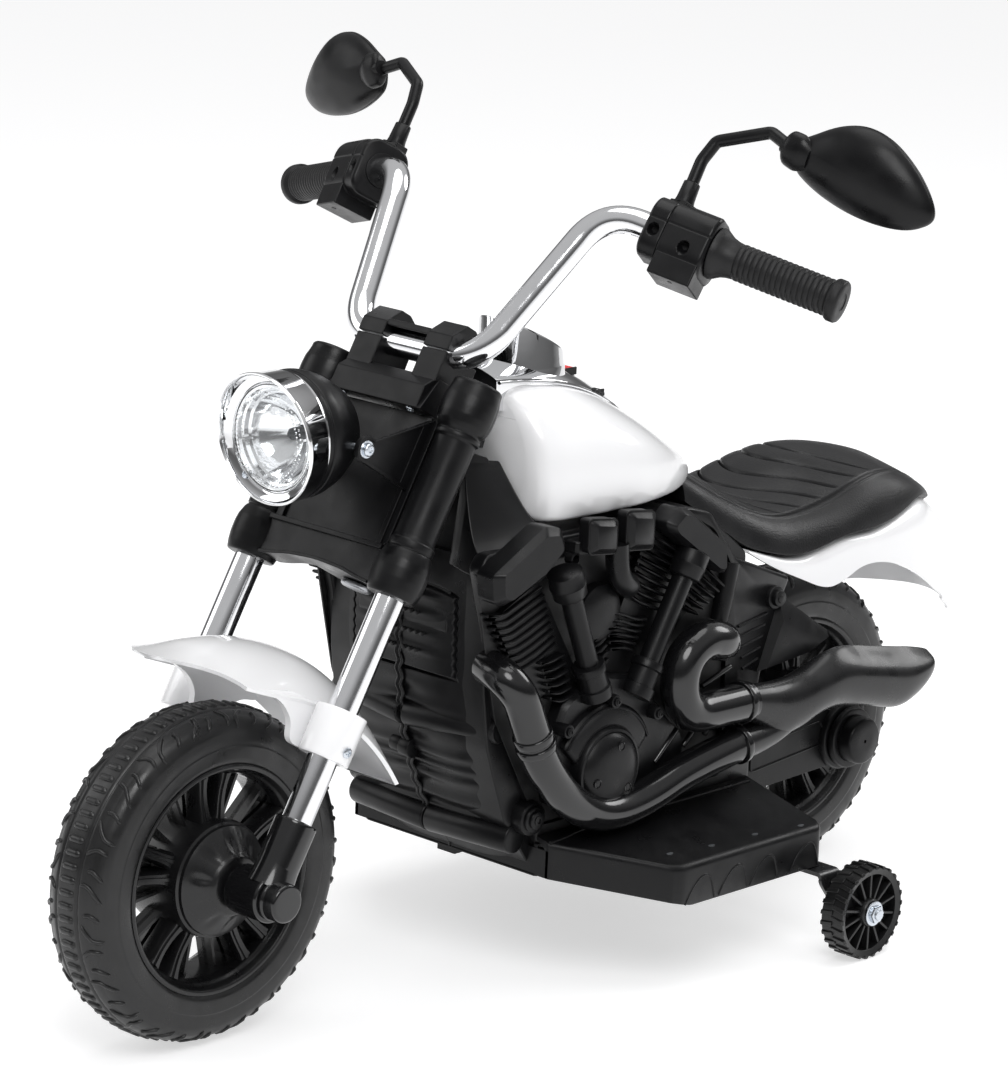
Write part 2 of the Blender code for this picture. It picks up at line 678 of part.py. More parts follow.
def sleeve_profile():
    return [
        (BULB_RADIUS - 0.0015, BULB_BOTTOM),
        (BULB_RADIUS, BULB_BOTTOM + 0.0115),
        (BULB_RADIUS - 0.0002, BULB_TOP - 0.012),
        (SLEEVE_RADIUS + 0.0011, BULB_TOP),
        (SLEEVE_RADIUS, BULB_TOP + 0.008),
        (SLEEVE_RADIUS, SLEEVE_CAP_BOTTOM - 0.007),
        (SLEEVE_CAP_RADIUS - 0.0031, SLEEVE_CAP_BOTTOM),
        (SLEEVE_CAP_RADIUS, SLEEVE_CAP_BOTTOM + 0.008),
        (SLEEVE_CAP_RADIUS, SLEEVE_CAP_TOP - 0.015),
        (SLEEVE_CAP_RADIUS - 0.0031, SLEEVE_CAP_TOP),
    ]


def arm_outline():
    nose = 0.0085
    b, s = LAMP_BOLT_B, LAMP_BOLT_S
    outline = [(PANEL_FRONT + 0.001, 0.2673), (PANEL_FRONT + 0.001, 0.3160)]
    outline += [(b + nose * math.cos(angle), s + nose * math.sin(angle)) for angle in nose_angles()]
    return outline


def nose_angles():
    return [math.radians(degrees) for degrees in (60.0, 105.0, 150.0, 195.0, 240.0, 285.0)]


def fork_cover(parent):
    arch = [(-CROWN_HALF_WIDTH, CROWN_BOTTOM), (-0.025, CROWN_BOTTOM + 0.75 * CROWN_RISE)]
    arch += [(0.0, CROWN_BOTTOM + CROWN_RISE), (0.025, CROWN_BOTTOM + 0.75 * CROWN_RISE)]
    arch += [(CROWN_HALF_WIDTH, CROWN_BOTTOM), (CROWN_HALF_WIDTH, CROWN_TOP), (-CROWN_HALF_WIDTH, CROWN_TOP)]
    boss_low = CROWN_BOTTOM + CROWN_RISE
    halves = (("fork_cover_front", -0.1, SEAM_BACK), ("fork_cover_rear", SEAM_BACK + GAP, 0.1))
    for name, low, high in halves:
        made = solid(name, plate(arch, CROWN_FRONT, CROWN_BACK), "black_plastic")
        if name == "fork_cover_front":
            panel_box = box((-CROWN_HALF_WIDTH, PANEL_FRONT, CROWN_TOP - 0.002),
                            (CROWN_HALF_WIDTH, PANEL_FRONT + PANEL_THICKNESS, PANEL_TOP))
            add(made, panel_box)
        else:
            boss = box((-COLUMN_BOSS_HALF_WIDTH, CROWN_BACK - 0.002, boss_low),
                       (COLUMN_BOSS_HALF_WIDTH, COLUMN_BOSS_BACK, CROWN_TOP))
            add(made, boss)
        for side in (1, -1):
            add(made, stacked(sleeve_profile(), LEG_SIDES, "z", (side * LEG_X, 0.0, 0.0)))
        if name == "fork_cover_front":
            for side in (1, -1):
                add(made, sided(slab(arm_outline(), ARM_INNER, ARM_INNER + ARM_THICKNESS), side))
            cut(made, rod(LAMP_BOLT_RADIUS + GAP, -0.07, 0.07, 12, "x", (0.0, LAMP_BOLT_B, LAMP_BOLT_S)))
        for side in (1, -1):
            centre = (side * LEG_X, 0.0, 0.0)
            cut(made, rod(TUBE_RADIUS + GAP, BULB_BOTTOM - 0.01, TUBE_TOP + GAP, LEG_SIDES, "z", centre))
        cut(made, rod(COLUMN_RADIUS + GAP, 0.15, 0.30, 12, "z", (0.0, STEERING_BACK, 0.0)))
        keep_low = box((-0.2, -0.2, 0.0), (0.2, low, 0.5))
        keep_high = box((-0.2, high, 0.0), (0.2, 0.2, 0.5))
        cut(made, keep_low, keep_high)
        finish(made, parent)


def steering_column(parent):
    low = CROWN_BOTTOM + CROWN_RISE - GAP
    top = BLOCK_TOP - 0.004
    profile = [(COLUMN_HEAD_RADIUS, low - COLUMN_HEAD_HEIGHT), (COLUMN_HEAD_RADIUS, low)]
    profile += [(COLUMN_RADIUS, low), (COLUMN_RADIUS, top)]
    finish(solid("steering_column", stacked(profile, 12, "z", (0.0, STEERING_BACK, 0.0)), "steel"), parent)


# Mudguard, written round the axle: angle up from straight ahead, distance from the axle
def mudguard_point(across, angle_degrees, lift):
    crown = MUDGUARD_CROWN + 0.009 * max(0.0, (86.0 - angle_degrees) / 14.0) ** 2
    if angle_degrees < 108.0:
        edge = MUDGUARD_EDGE + 0.009 * ((108.0 - angle_degrees) / 20.0) ** 2
    else:
        edge = MUDGUARD_EDGE + 0.0147 * ((angle_degrees - 108.0) / 52.0) ** 2
    reach = edge + (crown - edge) * (1.0 - abs(across) ** 2.4) - lift
    angle = math.radians(angle_degrees)
    half = MUDGUARD_HALF_WIDTH - 0.4 * lift
    y = -reach * math.cos(angle)
    z = reach * math.sin(angle)
    back = y * math.cos(RAKE) - z * math.sin(RAKE)
    up = y * math.sin(RAKE) + z * math.cos(RAKE)
    return Vector((half * across, back, up))


def mudguard(parent):
    columns = [-1.0, -0.88, -0.5, 0.0, 0.5, 0.88, 1.0]
    rows = 8
    rings = []
    for row in range(rows + 1):
        share = row / rows
        ring = []
        for lift, order in ((0.0, columns), (MUDGUARD_WALL, list(reversed(columns)))):
            for across in order:
                front = 72.0 + 16.0 * across * across
                rear = 166.0 - 4.0 * across * across
                ring.append(mudguard_point(across, front + (rear - front) * share, lift))
        rings.append(ring)
    made = solid("front_mudguard", loft(rings), "white_plastic")
    for side in (1, -1):
        centre = (side * LEG_X, 0.0, 0.0)
        web = box((0.0405, -0.0270, CLAMP_BOTTOM + 0.001), (0.0465, 0.0100, CLAMP_TOP))
        add(made, rod(CLAMP_RADIUS, CLAMP_BOTTOM, CLAMP_TOP, LEG_SIDES, "z", centre), sided(web, side))
        cut(made, rod(TUBE_RADIUS + GAP, CLAMP_BOTTOM - 0.01, CLAMP_TOP + 0.01, LEG_SIDES, "z", centre))
        hole = rod(SCREW_SHANK_RADIUS + GAP, LEG_X, LEG_X + CLAMP_RADIUS + 0.01, 8, "x", (0.0, 0.0, CLAMP_SCREW_S))
        cut(made, sided(hole, side))
    finish(made, parent)


def screw_shape(axis, centre, seat, inward):
    # Head on the seat, shank pointing inward (+1 or -1 along the axis)
    head = seat - inward * (SCREW_HEAD_HEIGHT + GAP)
    under = seat - inward * GAP
    profile = [(SCREW_HEAD_RADIUS, head), (SCREW_HEAD_RADIUS, under)]
    profile += [(SCREW_SHANK_RADIUS, under), (SCREW_SHANK_RADIUS, under + inward * SCREW_LENGTH)]
    return stacked(profile, 6, axis, centre)


def mudguard_screw(name, side, parent):
    shape = screw_shape("x", (0.0, 0.0, CLAMP_SCREW_S), LEG_X + CLAMP_RADIUS, -1)
    finish(solid(name, sided(shape, side), "zinc"), parent)


# Handlebar clamp
def clamp_block(parent):
    base = box((-BLOCK_HALF_WIDTH, BLOCK_FRONT, BLOCK_BOTTOM), (BLOCK_HALF_WIDTH, BLOCK_BACK, BLOCK_TOP))
    made = solid("clamp_block", base, "black_plastic")
    for side in (1, -1):
        upright = box((UPRIGHT_INNER, UPRIGHT_FRONT, BLOCK_TOP - 0.002), (UPRIGHT_OUTER, UPRIGHT_BACK, BAR_S - GAP / 2))
        add(made, sided(upright, side))
        place = (side * BLOCK_SCREW_X, BLOCK_SCREW_B, 0.0)
        add(made, rod(SCREW_HEAD_RADIUS, BLOCK_BOTTOM - SCREW_HEAD_HEIGHT, BLOCK_BOTTOM + 0.001, 8, "z", place))
    column_space = rod(COLUMN_RADIUS + GAP, BLOCK_BOTTOM - 0.01, BLOCK_TOP - 0.0035, 12, "z", (0.0, STEERING_BACK, 0.0))
    cut(made, bar_room(), column_space)
    finish(made, parent)


def clamp_cap(parent):
    low = BAR_S + GAP / 2
    outline = [(UPRIGHT_FRONT, low), (UPRIGHT_FRONT - 0.001, CLAMP_CAP_TOP - 0.005), (-0.006, CLAMP_CAP_TOP)]
    outline += [(0.0165, CLAMP_CAP_TOP - 0.005), (UPRIGHT_BACK, low)]
    made = solid("clamp_cap", slab(outline, UPRIGHT_INNER, UPRIGHT_OUTER), "black_plastic")
    bridge_low = BAR_S + BAR_RADIUS + GAP
    bridge = box((-UPRIGHT_INNER - 0.002, -0.0160, bridge_low), (UPRIGHT_INNER + 0.002, 0.0140, bridge_low + BRIDGE_THICKNESS))
    add(made, slab(outline, -UPRIGHT_OUTER, -UPRIGHT_INNER), bridge)
    cut(made, bar_room())
    finish(made, parent)


# Handlebar and what it carries
def bar_path():
    shoulder = BAR_SHOULDER
    corners = [BAR_END, shoulder, Vector((BAR_CORNER_X, BAR_B, BAR_S))]
    left = smooth_path(corners + [Vector((0.0, BAR_B, BAR_S))], BAR_BEND_RADIUS, BAR_BEND_STEPS)
    right = [Vector((-point[0], point[1], point[2])) for point in reversed(left)]
    return left[:-1] + right[1:]


def bar_room():
    # The bar's own path with the fitting gap all round and at both ends
    path = bar_path()
    out = (BAR_END - BAR_SHOULDER).normalized()
    path[0] = path[0] + out * GAP
    path[-1] = path[-1] + Vector((-out.x, out.y, out.z)) * GAP
    return tube(path, BAR_RADIUS + GAP, BAR_SIDES)


def handlebar(parent):
    finish(solid("handlebar", pipe(bar_path(), BAR_RADIUS, BAR_WALL, BAR_SIDES), "chrome"), parent)


def bar_frame():
    # Directions at the bar's outer run: out along it, back and up square to it
    out = (BAR_END - BAR_SHOULDER).normalized()
    up = Vector((0.0, 0.0, 1.0))
    up = (up - out * up.dot(out)).normalized()
    back = up.cross(out)
    return out, back, up


def on_bar(shape, side):
    out, back, up = bar_frame()
    points, faces = shape
    placed = [BAR_SHOULDER + out * point[0] + back * point[1] + up * point[2] for point in points]
    return sided((placed, faces), side)


def bar_length():
    return (BAR_END - BAR_SHOULDER).length


def housing_outline(grow):
    return [
        (-HOUSING_HALF_DEPTH - grow, -HOUSING_BELOW + 0.007 - grow),
        (-HOUSING_HALF_DEPTH + 0.006, -HOUSING_BELOW - grow),
        (HOUSING_HALF_DEPTH - 0.006, -HOUSING_BELOW - grow),
        (HOUSING_HALF_DEPTH + grow, -HOUSING_BELOW + 0.007 - grow),
        (HOUSING_HALF_DEPTH + grow, HOUSING_ABOVE - 0.008 + grow),
        (HOUSING_HALF_DEPTH - 0.007, HOUSING_ABOVE + grow),
        (-HOUSING_HALF_DEPTH + 0.007, HOUSING_ABOVE + grow),
        (-HOUSING_HALF_DEPTH - grow, HOUSING_ABOVE - 0.008 + grow),
    ]


def switch_housing(name, side, parent):
    end = HOUSING_START + HOUSING_LENGTH
    shrink = -0.0015
    rings = []
    for along, grow in ((HOUSING_START, shrink), (HOUSING_START + 0.004, 0.0), (end - 0.004, 0.0), (end, shrink)):
        rings.append([(along, y, z) for y, z in housing_outline(grow)])
    made = solid(name, on_bar(loft(rings), side), "black_plastic")
    lobe = box((HOUSING_START + 0.016, -HOUSING_HALF_DEPTH + 0.002, -HOUSING_BELOW - HOUSING_LOBE_DEPTH),
               (end - 0.002, 0.006, -HOUSING_BELOW + 0.002))
    add(made, on_bar(lobe, side))
    ferrule = box((MIRROR_AXIS_X - FERRULE_HALF, MIRROR_AXIS_B - FERRULE_HALF, FERRULE_BOTTOM - 0.012),
                  (MIRROR_AXIS_X + FERRULE_HALF, MIRROR_AXIS_B + FERRULE_HALF, FERRULE_TOP))
    add(made, sided(ferrule, side))
    stem_hole = rod(STEM_RADIUS + GAP, FERRULE_BOTTOM, FERRULE_TOP + 0.01, 12, "z", (MIRROR_AXIS_X, MIRROR_AXIS_B, 0.0))
    cut(made, sided(stem_hole, side))
    cut(made, bar_room())
    finish(made, parent)


def grip(name, side, parent):
    start = HOUSING_START + HOUSING_LENGTH + GAP
    end = bar_length() + 0.004
    outer = [(GRIP_COLLAR_RADIUS, start), (GRIP_COLLAR_RADIUS - 0.001, start + 0.006), (GRIP_RADIUS, start + 0.009)]
    outer += [(GRIP_RADIUS, end - 0.008), (GRIP_END_RADIUS, end - 0.007), (GRIP_END_RADIUS - 0.0005, end)]
    rings = [tube_ring(radius, along) for radius, along in outer]
    made = solid(name, on_bar(loft(rings), side), "black_plastic")
    cut(made, bar_room())
    finish(made, parent)


def tube_ring(radius, along):
    return [(along, first, second) for first, second in circle(radius, GRIP_SIDES)]


def mirror_frame():
    along = (MIRROR_TIP - MIRROR_NECK).normalized()
    lean = Vector((0.0, -math.sin(RAKE), math.cos(RAKE)))
    up = (lean - along * lean.dot(along)).normalized()
    face = up.cross(along)
    return along, face, up


def mirror_outline(shrink):
    # Pear-shaped rim: distance along the head, half height above and below its axis
    above = ((0.0, 0.004), (0.008, 0.0110), (0.022, 0.0250), (0.040, 0.0340), (0.060, 0.0335), (0.080, 0.0250),
             (0.094, 0.0150), (0.103, 0.0050))
    below = ((0.103, -0.0030), (0.092, -0.0130), (0.075, -0.0190), (0.055, -0.0220), (0.035, -0.0215),
             (0.018, -0.0185), (0.004, -0.0130))
    middle = Vector((0.050, 0.005))
    outline = []
    for point in above + below:
        offset = Vector(point) - middle
        outline.append(middle + offset * (1.0 - shrink / offset.length))
    return outline


def mirror_ring(shrink, depth):
    along, face, up = mirror_frame()
    ring = []
    for l, m in mirror_outline(shrink):
        ring.append(MIRROR_NECK + along * l + up * m + face * depth)
    return ring


def mirror_shell_shape():
    # Rings from the rim that faces the rider over the domed front
    return loft([mirror_ring(0.0, MIRROR_LIP), mirror_ring(0.0, 0.0), mirror_ring(0.0060, -0.5 * MIRROR_DEPTH),
                 mirror_ring(0.0150, 0.002 - MIRROR_DEPTH)])


def stem_path(beyond):
    # From the ferrule up to the socket in the head, run on a little further at both ends
    along, face, up = mirror_frame()
    socket = MIRROR_NECK + along * (STEM_REACH + beyond) - up * 0.002 - face * STEM_SINK
    foot = Vector((MIRROR_AXIS_X, MIRROR_AXIS_B, FERRULE_BOTTOM + GAP - beyond))
    return smooth_path([foot] + STEM_CORNERS + [socket], 0.006, 2)


def mirror(word, side, parent):
    along, face, up = mirror_frame()
    back = MIRROR_NECK - face * STEM_SINK
    neck = tube([back - along * 0.004, back + along * 0.017], [STEM_RADIUS + 0.0022, STEM_RADIUS + 0.0038], 10)
    floor = MIRROR_LIP - MIRROR_GLASS - 2.0 * GAP
    recess = loft([mirror_ring(MIRROR_RIM, floor), mirror_ring(MIRROR_RIM, MIRROR_LIP + 0.004)])
    glass = loft([mirror_ring(MIRROR_RIM + GAP, floor + GAP), mirror_ring(MIRROR_RIM + GAP, floor + GAP + MIRROR_GLASS)])
    shell = solid("mirror_shell_" + word, sided(mirror_shell_shape(), side), "black_plastic")
    add(shell, sided(neck, side))
    cut(shell, sided(recess, side), sided(tube(stem_path(2.0 * GAP), STEM_RADIUS + GAP, 8), side))
    stem = solid("mirror_stem_" + word, sided(tube(stem_path(0.0), STEM_RADIUS, 8), side), "black_plastic")
    pieces = [shell, solid("mirror_glass_" + word, sided(glass, side), "mirror_film"), stem]
    pivot = empty("mirror_pivot_" + word, (side * MIRROR_AXIS_X, MIRROR_AXIS_B, FERRULE_TOP), parent)
    for piece in pieces:
        piece.data.transform(Matrix.Translation(-pivot.location))
        finish(piece, pivot)


# Headlamp, written level with the floor: y is the distance back from the front axle
def lamp_ring_shape():
    lip = LAMP_RING_RADIUS
    wall = LAMP_RING_WALL
    rings = []
    for angle_index in range(LAMP_SIDES):
        angle = 2.0 * math.pi * angle_index / LAMP_SIDES
        across = math.cos(angle)
        high = math.sin(angle)
        front = LAMP_RING_FRONT - lip * high * math.tan(LAMP_RAKE)
        ring = []
        for radius, y in ((lip, front), (lip - 0.0010, front + 0.004), (lip - 0.0010, LAMP_RING_REAR),
                          (LENS_RADIUS + GAP, LAMP_RING_REAR), (LENS_RADIUS + GAP, LENS_FACE + LENS_THICKNESS + 0.001),
                          (LENS_RADIUS + 0.002, LENS_FACE + 0.002), (lip - wall, front)):
            ring.append((radius * across, y, LAMP_Z + radius * high))
        rings.append(ring)
    return loft(rings, loop=True)


def headlamp(parent):
    centre = (0.0, 0.0, LAMP_Z)
    ring = solid("headlight_ring", lamp_ring_shape(), "chrome")
    bowl_front = LAMP_RING_REAR + GAP
    bowl = [(LAMP_BOWL_RADIUS, bowl_front), (LAMP_BOWL_RADIUS, bowl_front + 0.010), (0.0370, 0.0900), (0.0280, 0.1050),
            (0.0150, LAMP_BOWL_REAR)]
    inner = [(0.0120, LAMP_BOWL_REAR - LAMP_BOWL_WALL), (0.0262, 0.1030), (0.0342, 0.0890),
             (LAMP_BOWL_RADIUS - LAMP_BOWL_WALL, bowl_front)]
    bowl_profile = bowl + [(0.0040, LAMP_BOWL_REAR), (0.0040, LAMP_BOWL_REAR - LAMP_BOWL_WALL)] + inner
    bucket = solid("headlight_bucket", turned(bowl_profile, LAMP_SIDES, "y", centre), "black_plastic")
    bolt_y, bolt_z = from_fork(LAMP_BOLT_B, LAMP_BOLT_S)
    cut(bucket, rod(LAMP_BOLT_RADIUS + GAP, -0.06, 0.06, 8, "x", (0.0, bolt_y, bolt_z)))
    reflector_profile = [(LENS_RADIUS, LENS_FACE + LENS_THICKNESS + GAP), (LENS_RADIUS, 0.0610), (0.0220, 0.0760),
                         (0.0085, 0.0840), (BULB_RADIUS_LAMP + GAP, 0.0840), (BULB_RADIUS_LAMP + GAP, 0.0820),
                         (0.0205, 0.0745), (0.0315, LENS_FACE + LENS_THICKNESS + GAP)]
    reflector = solid("headlight_reflector", turned(reflector_profile, LAMP_SIDES, "y", centre), "chrome")
    lens_profile = [(0.0010, LENS_FACE - LENS_DOME), (0.0180, LENS_FACE - LENS_DOME * 0.7), (LENS_RADIUS, LENS_FACE),
                    (LENS_RADIUS, LENS_FACE + LENS_THICKNESS), (0.0180, LENS_FACE + LENS_THICKNESS - LENS_DOME * 0.7),
                    (0.0010, LENS_FACE + LENS_THICKNESS - LENS_DOME)]
    lens = solid("headlight_lens", turned(lens_profile, LAMP_SIDES, "y", centre), "clear_lens")
    lamp = stacked([(0.0022, 0.0700), (BULB_RADIUS_LAMP, 0.0725), (BULB_RADIUS_LAMP, 0.0868)], 12, "y", centre)
    bulb = solid("headlight_lamp", lamp, "black_plastic")
    for piece in (ring, bucket, reflector, lens, bulb):
        finish(piece, parent)


def lamp_bolt(parent):
    # One long bolt right through both arms and the bucket
    start = ARM_INNER + ARM_THICKNESS + GAP
    half = [(LAMP_BOLT_HEAD, start + 0.0030), (LAMP_BOLT_HEAD, start), (LAMP_BOLT_RADIUS, start)]
    profile = half + [(radius, -along) for radius, along in reversed(half)]
    bolt = stacked(profile, 8, "x", (0.0, LAMP_BOLT_B, LAMP_BOLT_S))
    finish(solid("headlight_bolt", bolt, "zinc"), parent)


def from_fork(b, s):
    # Fork frame to bike frame, as (y, z)
    return b * math.cos(RAKE) + s * math.sin(RAKE), WHEEL_RADIUS - b * math.sin(RAKE) + s * math.cos(RAKE)


def build_fork(root):
    axis_y, axis_z = from_fork(STEERING_BACK, 0.0)
    steering = empty("steering_axis", (0.0, axis_y, axis_z), root, (-RAKE, 0.0, 0.0))
    fork = empty("fork_frame", (0.0, -STEERING_BACK, 0.0), steering)
    wheel_hub = empty("front_wheel_axis", (0.0, 0.0, 0.0), fork, (RAKE, 0.0, 0.0))
    wheel("front", wheel_hub)
    both_sides("fork_tube", fork_tube, fork)
    both_sides("fork_end", fork_end, fork)
    front_axle(fork)
    fork_cover(fork)
    steering_column(fork)
    mudguard(fork)
    both_sides("mudguard_screw", mudguard_screw, fork)
    clamp_block(fork)
    clamp_cap(fork)
    handlebar(fork)
    both_sides("switch_housing", switch_housing, fork)
    both_sides("grip", grip, fork)
    for side, word in ((1, "left"), (-1, "right")):
        mirror(word, side, fork)
    level = empty("lamp_frame", (0.0, 0.0, 0.0), fork, (RAKE, 0.0, 0.0))
    level_up = empty("lamp_floor", (0.0, 0.0, -WHEEL_RADIUS), level)
    headlamp(level_up)
    lamp_bolt(fork)


# Body, written in the bike frame: y back from the front axle, z up from the floor
def fork_points(shape):
    # Carries a shape from the fork frame into the bike frame
    points, faces = shape
    placed = []
    for x, b, s in points:
        y, z = from_fork(b, s)
        placed.append(Vector((x, y, z)))
    return placed, faces


def inset(outline, amount):
    # Moves every corner of a closed outline inwards by the wall thickness
    count = len(outline)
    area = sum(outline[i - 1][0] * outline[i][1] - outline[i][0] * outline[i - 1][1] for i in range(count))
    turn = 1.0 if area > 0.0 else -1.0
    moved = []
    for index in range(count):
        before = Vector(outline[index - 1])
        here = Vector(outline[index])
        after = Vector(outline[(index + 1) % count])
        first = (here - before).normalized()
        second = (after - here).normalized()
        normal = Vector((-first.y - second.y, first.x + second.x)) * turn
        normal.normalize()
        sharp = max(0.35, abs(normal.dot(Vector((-first.y, first.x)))))
        moved.append(here + normal * amount / sharp)
    return moved


def body_half(name, side, parent):
    seam = GAP / 2.0
    made = solid(name, slab(CORE_OUTLINE, seam, CORE_HALF_WIDTH), "black_plastic")
    add(made, slab(SIDE_OUTLINE, CORE_HALF_WIDTH - 0.004, BODY_HALF_WIDTH))
    add(made, slab(NECK_OUTLINE, seam, NECK_HALF_WIDTH), slab(DECK_OUTLINE, seam, DECK_HALF_WIDTH))
    add(made, slab(PLINTH_OUTLINE, seam, PLINTH_HALF_WIDTH))
    cut(made, slab(inset(CORE_OUTLINE, BODY_WALL), -0.01, 0.0635))
    cut(made, slab(SIDE_HOLLOW, 0.0600, BODY_HALF_WIDTH - BAY_DEPTH - BODY_WALL))
    cut(made, slab(BAY_OUTLINE, BODY_HALF_WIDTH - BAY_DEPTH, BODY_HALF_WIDTH + 0.01))
    tube_outer = rod(HEAD_TUBE_RADIUS, HEAD_TUBE_BOTTOM, HEAD_TUBE_TOP, 16, "z", (0.0, STEERING_BACK, 0.0))
    strut = slab([from_fork(b, s) for b, s in STRUT_OUTLINE], 0.0005 - HEAD_TUBE_RADIUS, HEAD_TUBE_RADIUS - 0.0005)
    add(made, fork_points(tube_outer), strut)
    tube_bore = rod(COLUMN_RADIUS + 0.0005, 0.10, 0.50, 12, "z", (0.0, STEERING_BACK, 0.0))
    cut(made, fork_points(tube_bore), box((-0.1, 0.0, 0.0), (seam, 1.0, 1.0)))
    cut(made, box((-0.1, 0.4360, 0.0), (0.0340, 0.7, 0.2340)))
    if side < 0:
        cut(made, box((0.0385, 0.4250, 0.0880), (HUB_ARM_INNER + 0.002, 0.4345, 0.1370)))
    add(made, slab(ARM_OUTLINE, HUB_ARM_INNER, HUB_ARM_OUTER))
    hub = (0.0, WHEELBASE, WHEEL_RADIUS)
    add(made, rod(HUB_RING_RADIUS, HUB_ARM_INNER + 0.0005, HUB_RING_OUTER, 16, "x", hub))
    cut(made, rod(AXLE_RADIUS + GAP, HUB_ARM_INNER - 0.01, HUB_RING_OUTER + 0.01, 12, "x", hub))
    corner = [(0.0675, 0.10), (0.0675, 0.1796), (BODY_HALF_WIDTH + 0.001, 0.1980), (0.12, 0.1980), (0.12, 0.10)]
    cut(made, loft([[(x, y, z) for x, y in corner] for z in (0.1300, 0.3500)]))
    add(made, rod(ROD_RADIUS, 0.0500, 0.0725, 12, "x", (0.0, 0.1966, 0.1813)))
    add(made, rod(POST_RADIUS, 0.0600, 0.0840, 12, "x", POST_CENTRE))
    bracket = [(0.4638, 0.2236), (0.5139, 0.1916), (0.4925, 0.1847), (0.4425, 0.1798)]
    add(made, slab(bracket, HUB_ARM_INNER, 0.0850))
    add(made, rod(0.0075, 0.0600, 0.0860, 12, "x", (0.0, 0.4540, 0.2290)))
    reflect(made, side)
    finish(made, parent)


def tank_volume(shrink, floor_drop=0.0):
    rings = []
    for index, (y, half, low, high) in enumerate(TANK_STATIONS):
        low = low + shrink - floor_drop
        high = high - shrink
        half = half - shrink
        if index == 0:
            y = y + shrink
        if index == len(TANK_STATIONS) - 1:
            y = y - shrink
        right = [(half * across, y, low + (high - low) * up) for across, up in TANK_SECTION]
        left = [(-half * across, y, low + (high - low) * up) for across, up in reversed(TANK_SECTION[1:])]
        rings.append(right + [(0.0, y, high)] + left)
    return loft(rings)


def steering_room():
    # Space behind the clamp block that it sweeps when the bar is turned
    return fork_points(box((-0.0480, -0.02, 0.3165), (0.0480, 0.0630, 0.3430)))


def tank(parent):
    made = solid("tank_shell", tank_volume(0.0), "white_plastic")
    cut(made, tank_volume(TANK_WALL, 0.02), steering_room())
    cut(made, slab(inset(NECK_OUTLINE, -GAP), -NECK_HALF_WIDTH - GAP, NECK_HALF_WIDTH + GAP))
    finish(made, parent)


def switch_well(place):
    # Upright opening through the dash for a rocker, longer than it by the play it needs to tip
    y = place[0]
    half_x = SWITCH_HALF_WIDTH + GAP
    half_y = SWITCH_HALF_LENGTH + SWITCH_PLAY
    return box((-half_x, y - half_y, place[1] - SWITCH_DEPTH), (half_x, y + half_y, place[1] + 0.03))


def dash(parent):
    rings = []
    for y, half, middle, edge in DASH_STATIONS:
        near = edge + 0.7 * (middle - edge)
        crown = [(-half, edge), (-0.6 * half, near), (0.0, middle), (0.6 * half, near), (half, edge)]
        rings.append([(x, y, z) for x, z in crown] + [(half, y, edge - 0.025), (-half, y, edge - 0.025)])
    made = solid("dash_panel", loft(rings), "chrome")
    low = []
    high = []
    for across, along in circle(POD_RADIUS, 20):
        share = (along + POD_RADIUS) / (2.0 * POD_RADIUS)
        low.append((across, POD_Y + along, POD_LOW))
        high.append((across, POD_Y + along, POD_FRONT_TOP + share * (POD_REAR_TOP - POD_FRONT_TOP)))
    add(made, loft([low, high]))
    cut(made, tank_volume(-2.0 * GAP), steering_room())
    for place in SWITCHES.values():
        cut(made, switch_well(place))
    finish(made, parent)


def rocker(name, colour, parent):
    y, z = SWITCHES[name]
    low = z - SWITCH_DEPTH + SWITCH_UNDER
    outline = [(y - SWITCH_HALF_LENGTH, low), (y + SWITCH_HALF_LENGTH, low), (y + SWITCH_HALF_LENGTH, z + 0.0005)]
    outline += [(y, z - 0.0005), (y - SWITCH_HALF_LENGTH, z + 0.0045)]
    made = solid(name, slab(outline, -SWITCH_HALF_WIDTH, SWITCH_HALF_WIDTH), colour)
    cut(made, tank_volume(-SWITCH_UNDER))
    pivot = empty(name + "_pivot", (0.0, y, z - 0.003), parent)
    made.data.transform(Matrix.Translation((0.0, -y, 0.003 - z)))
    finish(made, pivot)


def station(table, y, column):
    # Straight interpolation between the rows of a station table
    if y <= table[0][0]:
        return table[0][column]
    for before, after in zip(table, table[1:]):
        if y <= after[0]:
            share = (y - before[0]) / (after[0] - before[0])
            return before[column] + share * (after[column] - before[column])
    return table[-1][column]


def seat_ring(rim_y, depth):
    # Half a ring from the centre out to the skirt; channels bow forward towards the middle
    half = []
    for across in (0.0, 0.35, 0.65, 0.88, 1.0):
        y = rim_y - CHANNEL_BOW * (1.0 - across * across)
        y = min(max(y, SEAT_FRONT), SEAT_REAR)
        rim = station(SEAT_STATIONS, y, 4)
        crown = station(SEAT_STATIONS, y, 5)
        groove = depth if across < 1.0 else 0.3 * depth
        half.append((station(SEAT_STATIONS, rim_y, 2) * across, y, rim + (crown - rim) * (1.0 - across ** 2.2) - groove))
    skirt = station(SEAT_STATIONS, rim_y, 1)
    low = station(SEAT_STATIONS, rim_y, 3)
    rim = station(SEAT_STATIONS, rim_y, 4)
    half.append((skirt * 0.95, rim_y, rim - 0.35 * (rim - low)))
    half.append((skirt, rim_y, low))
    return half


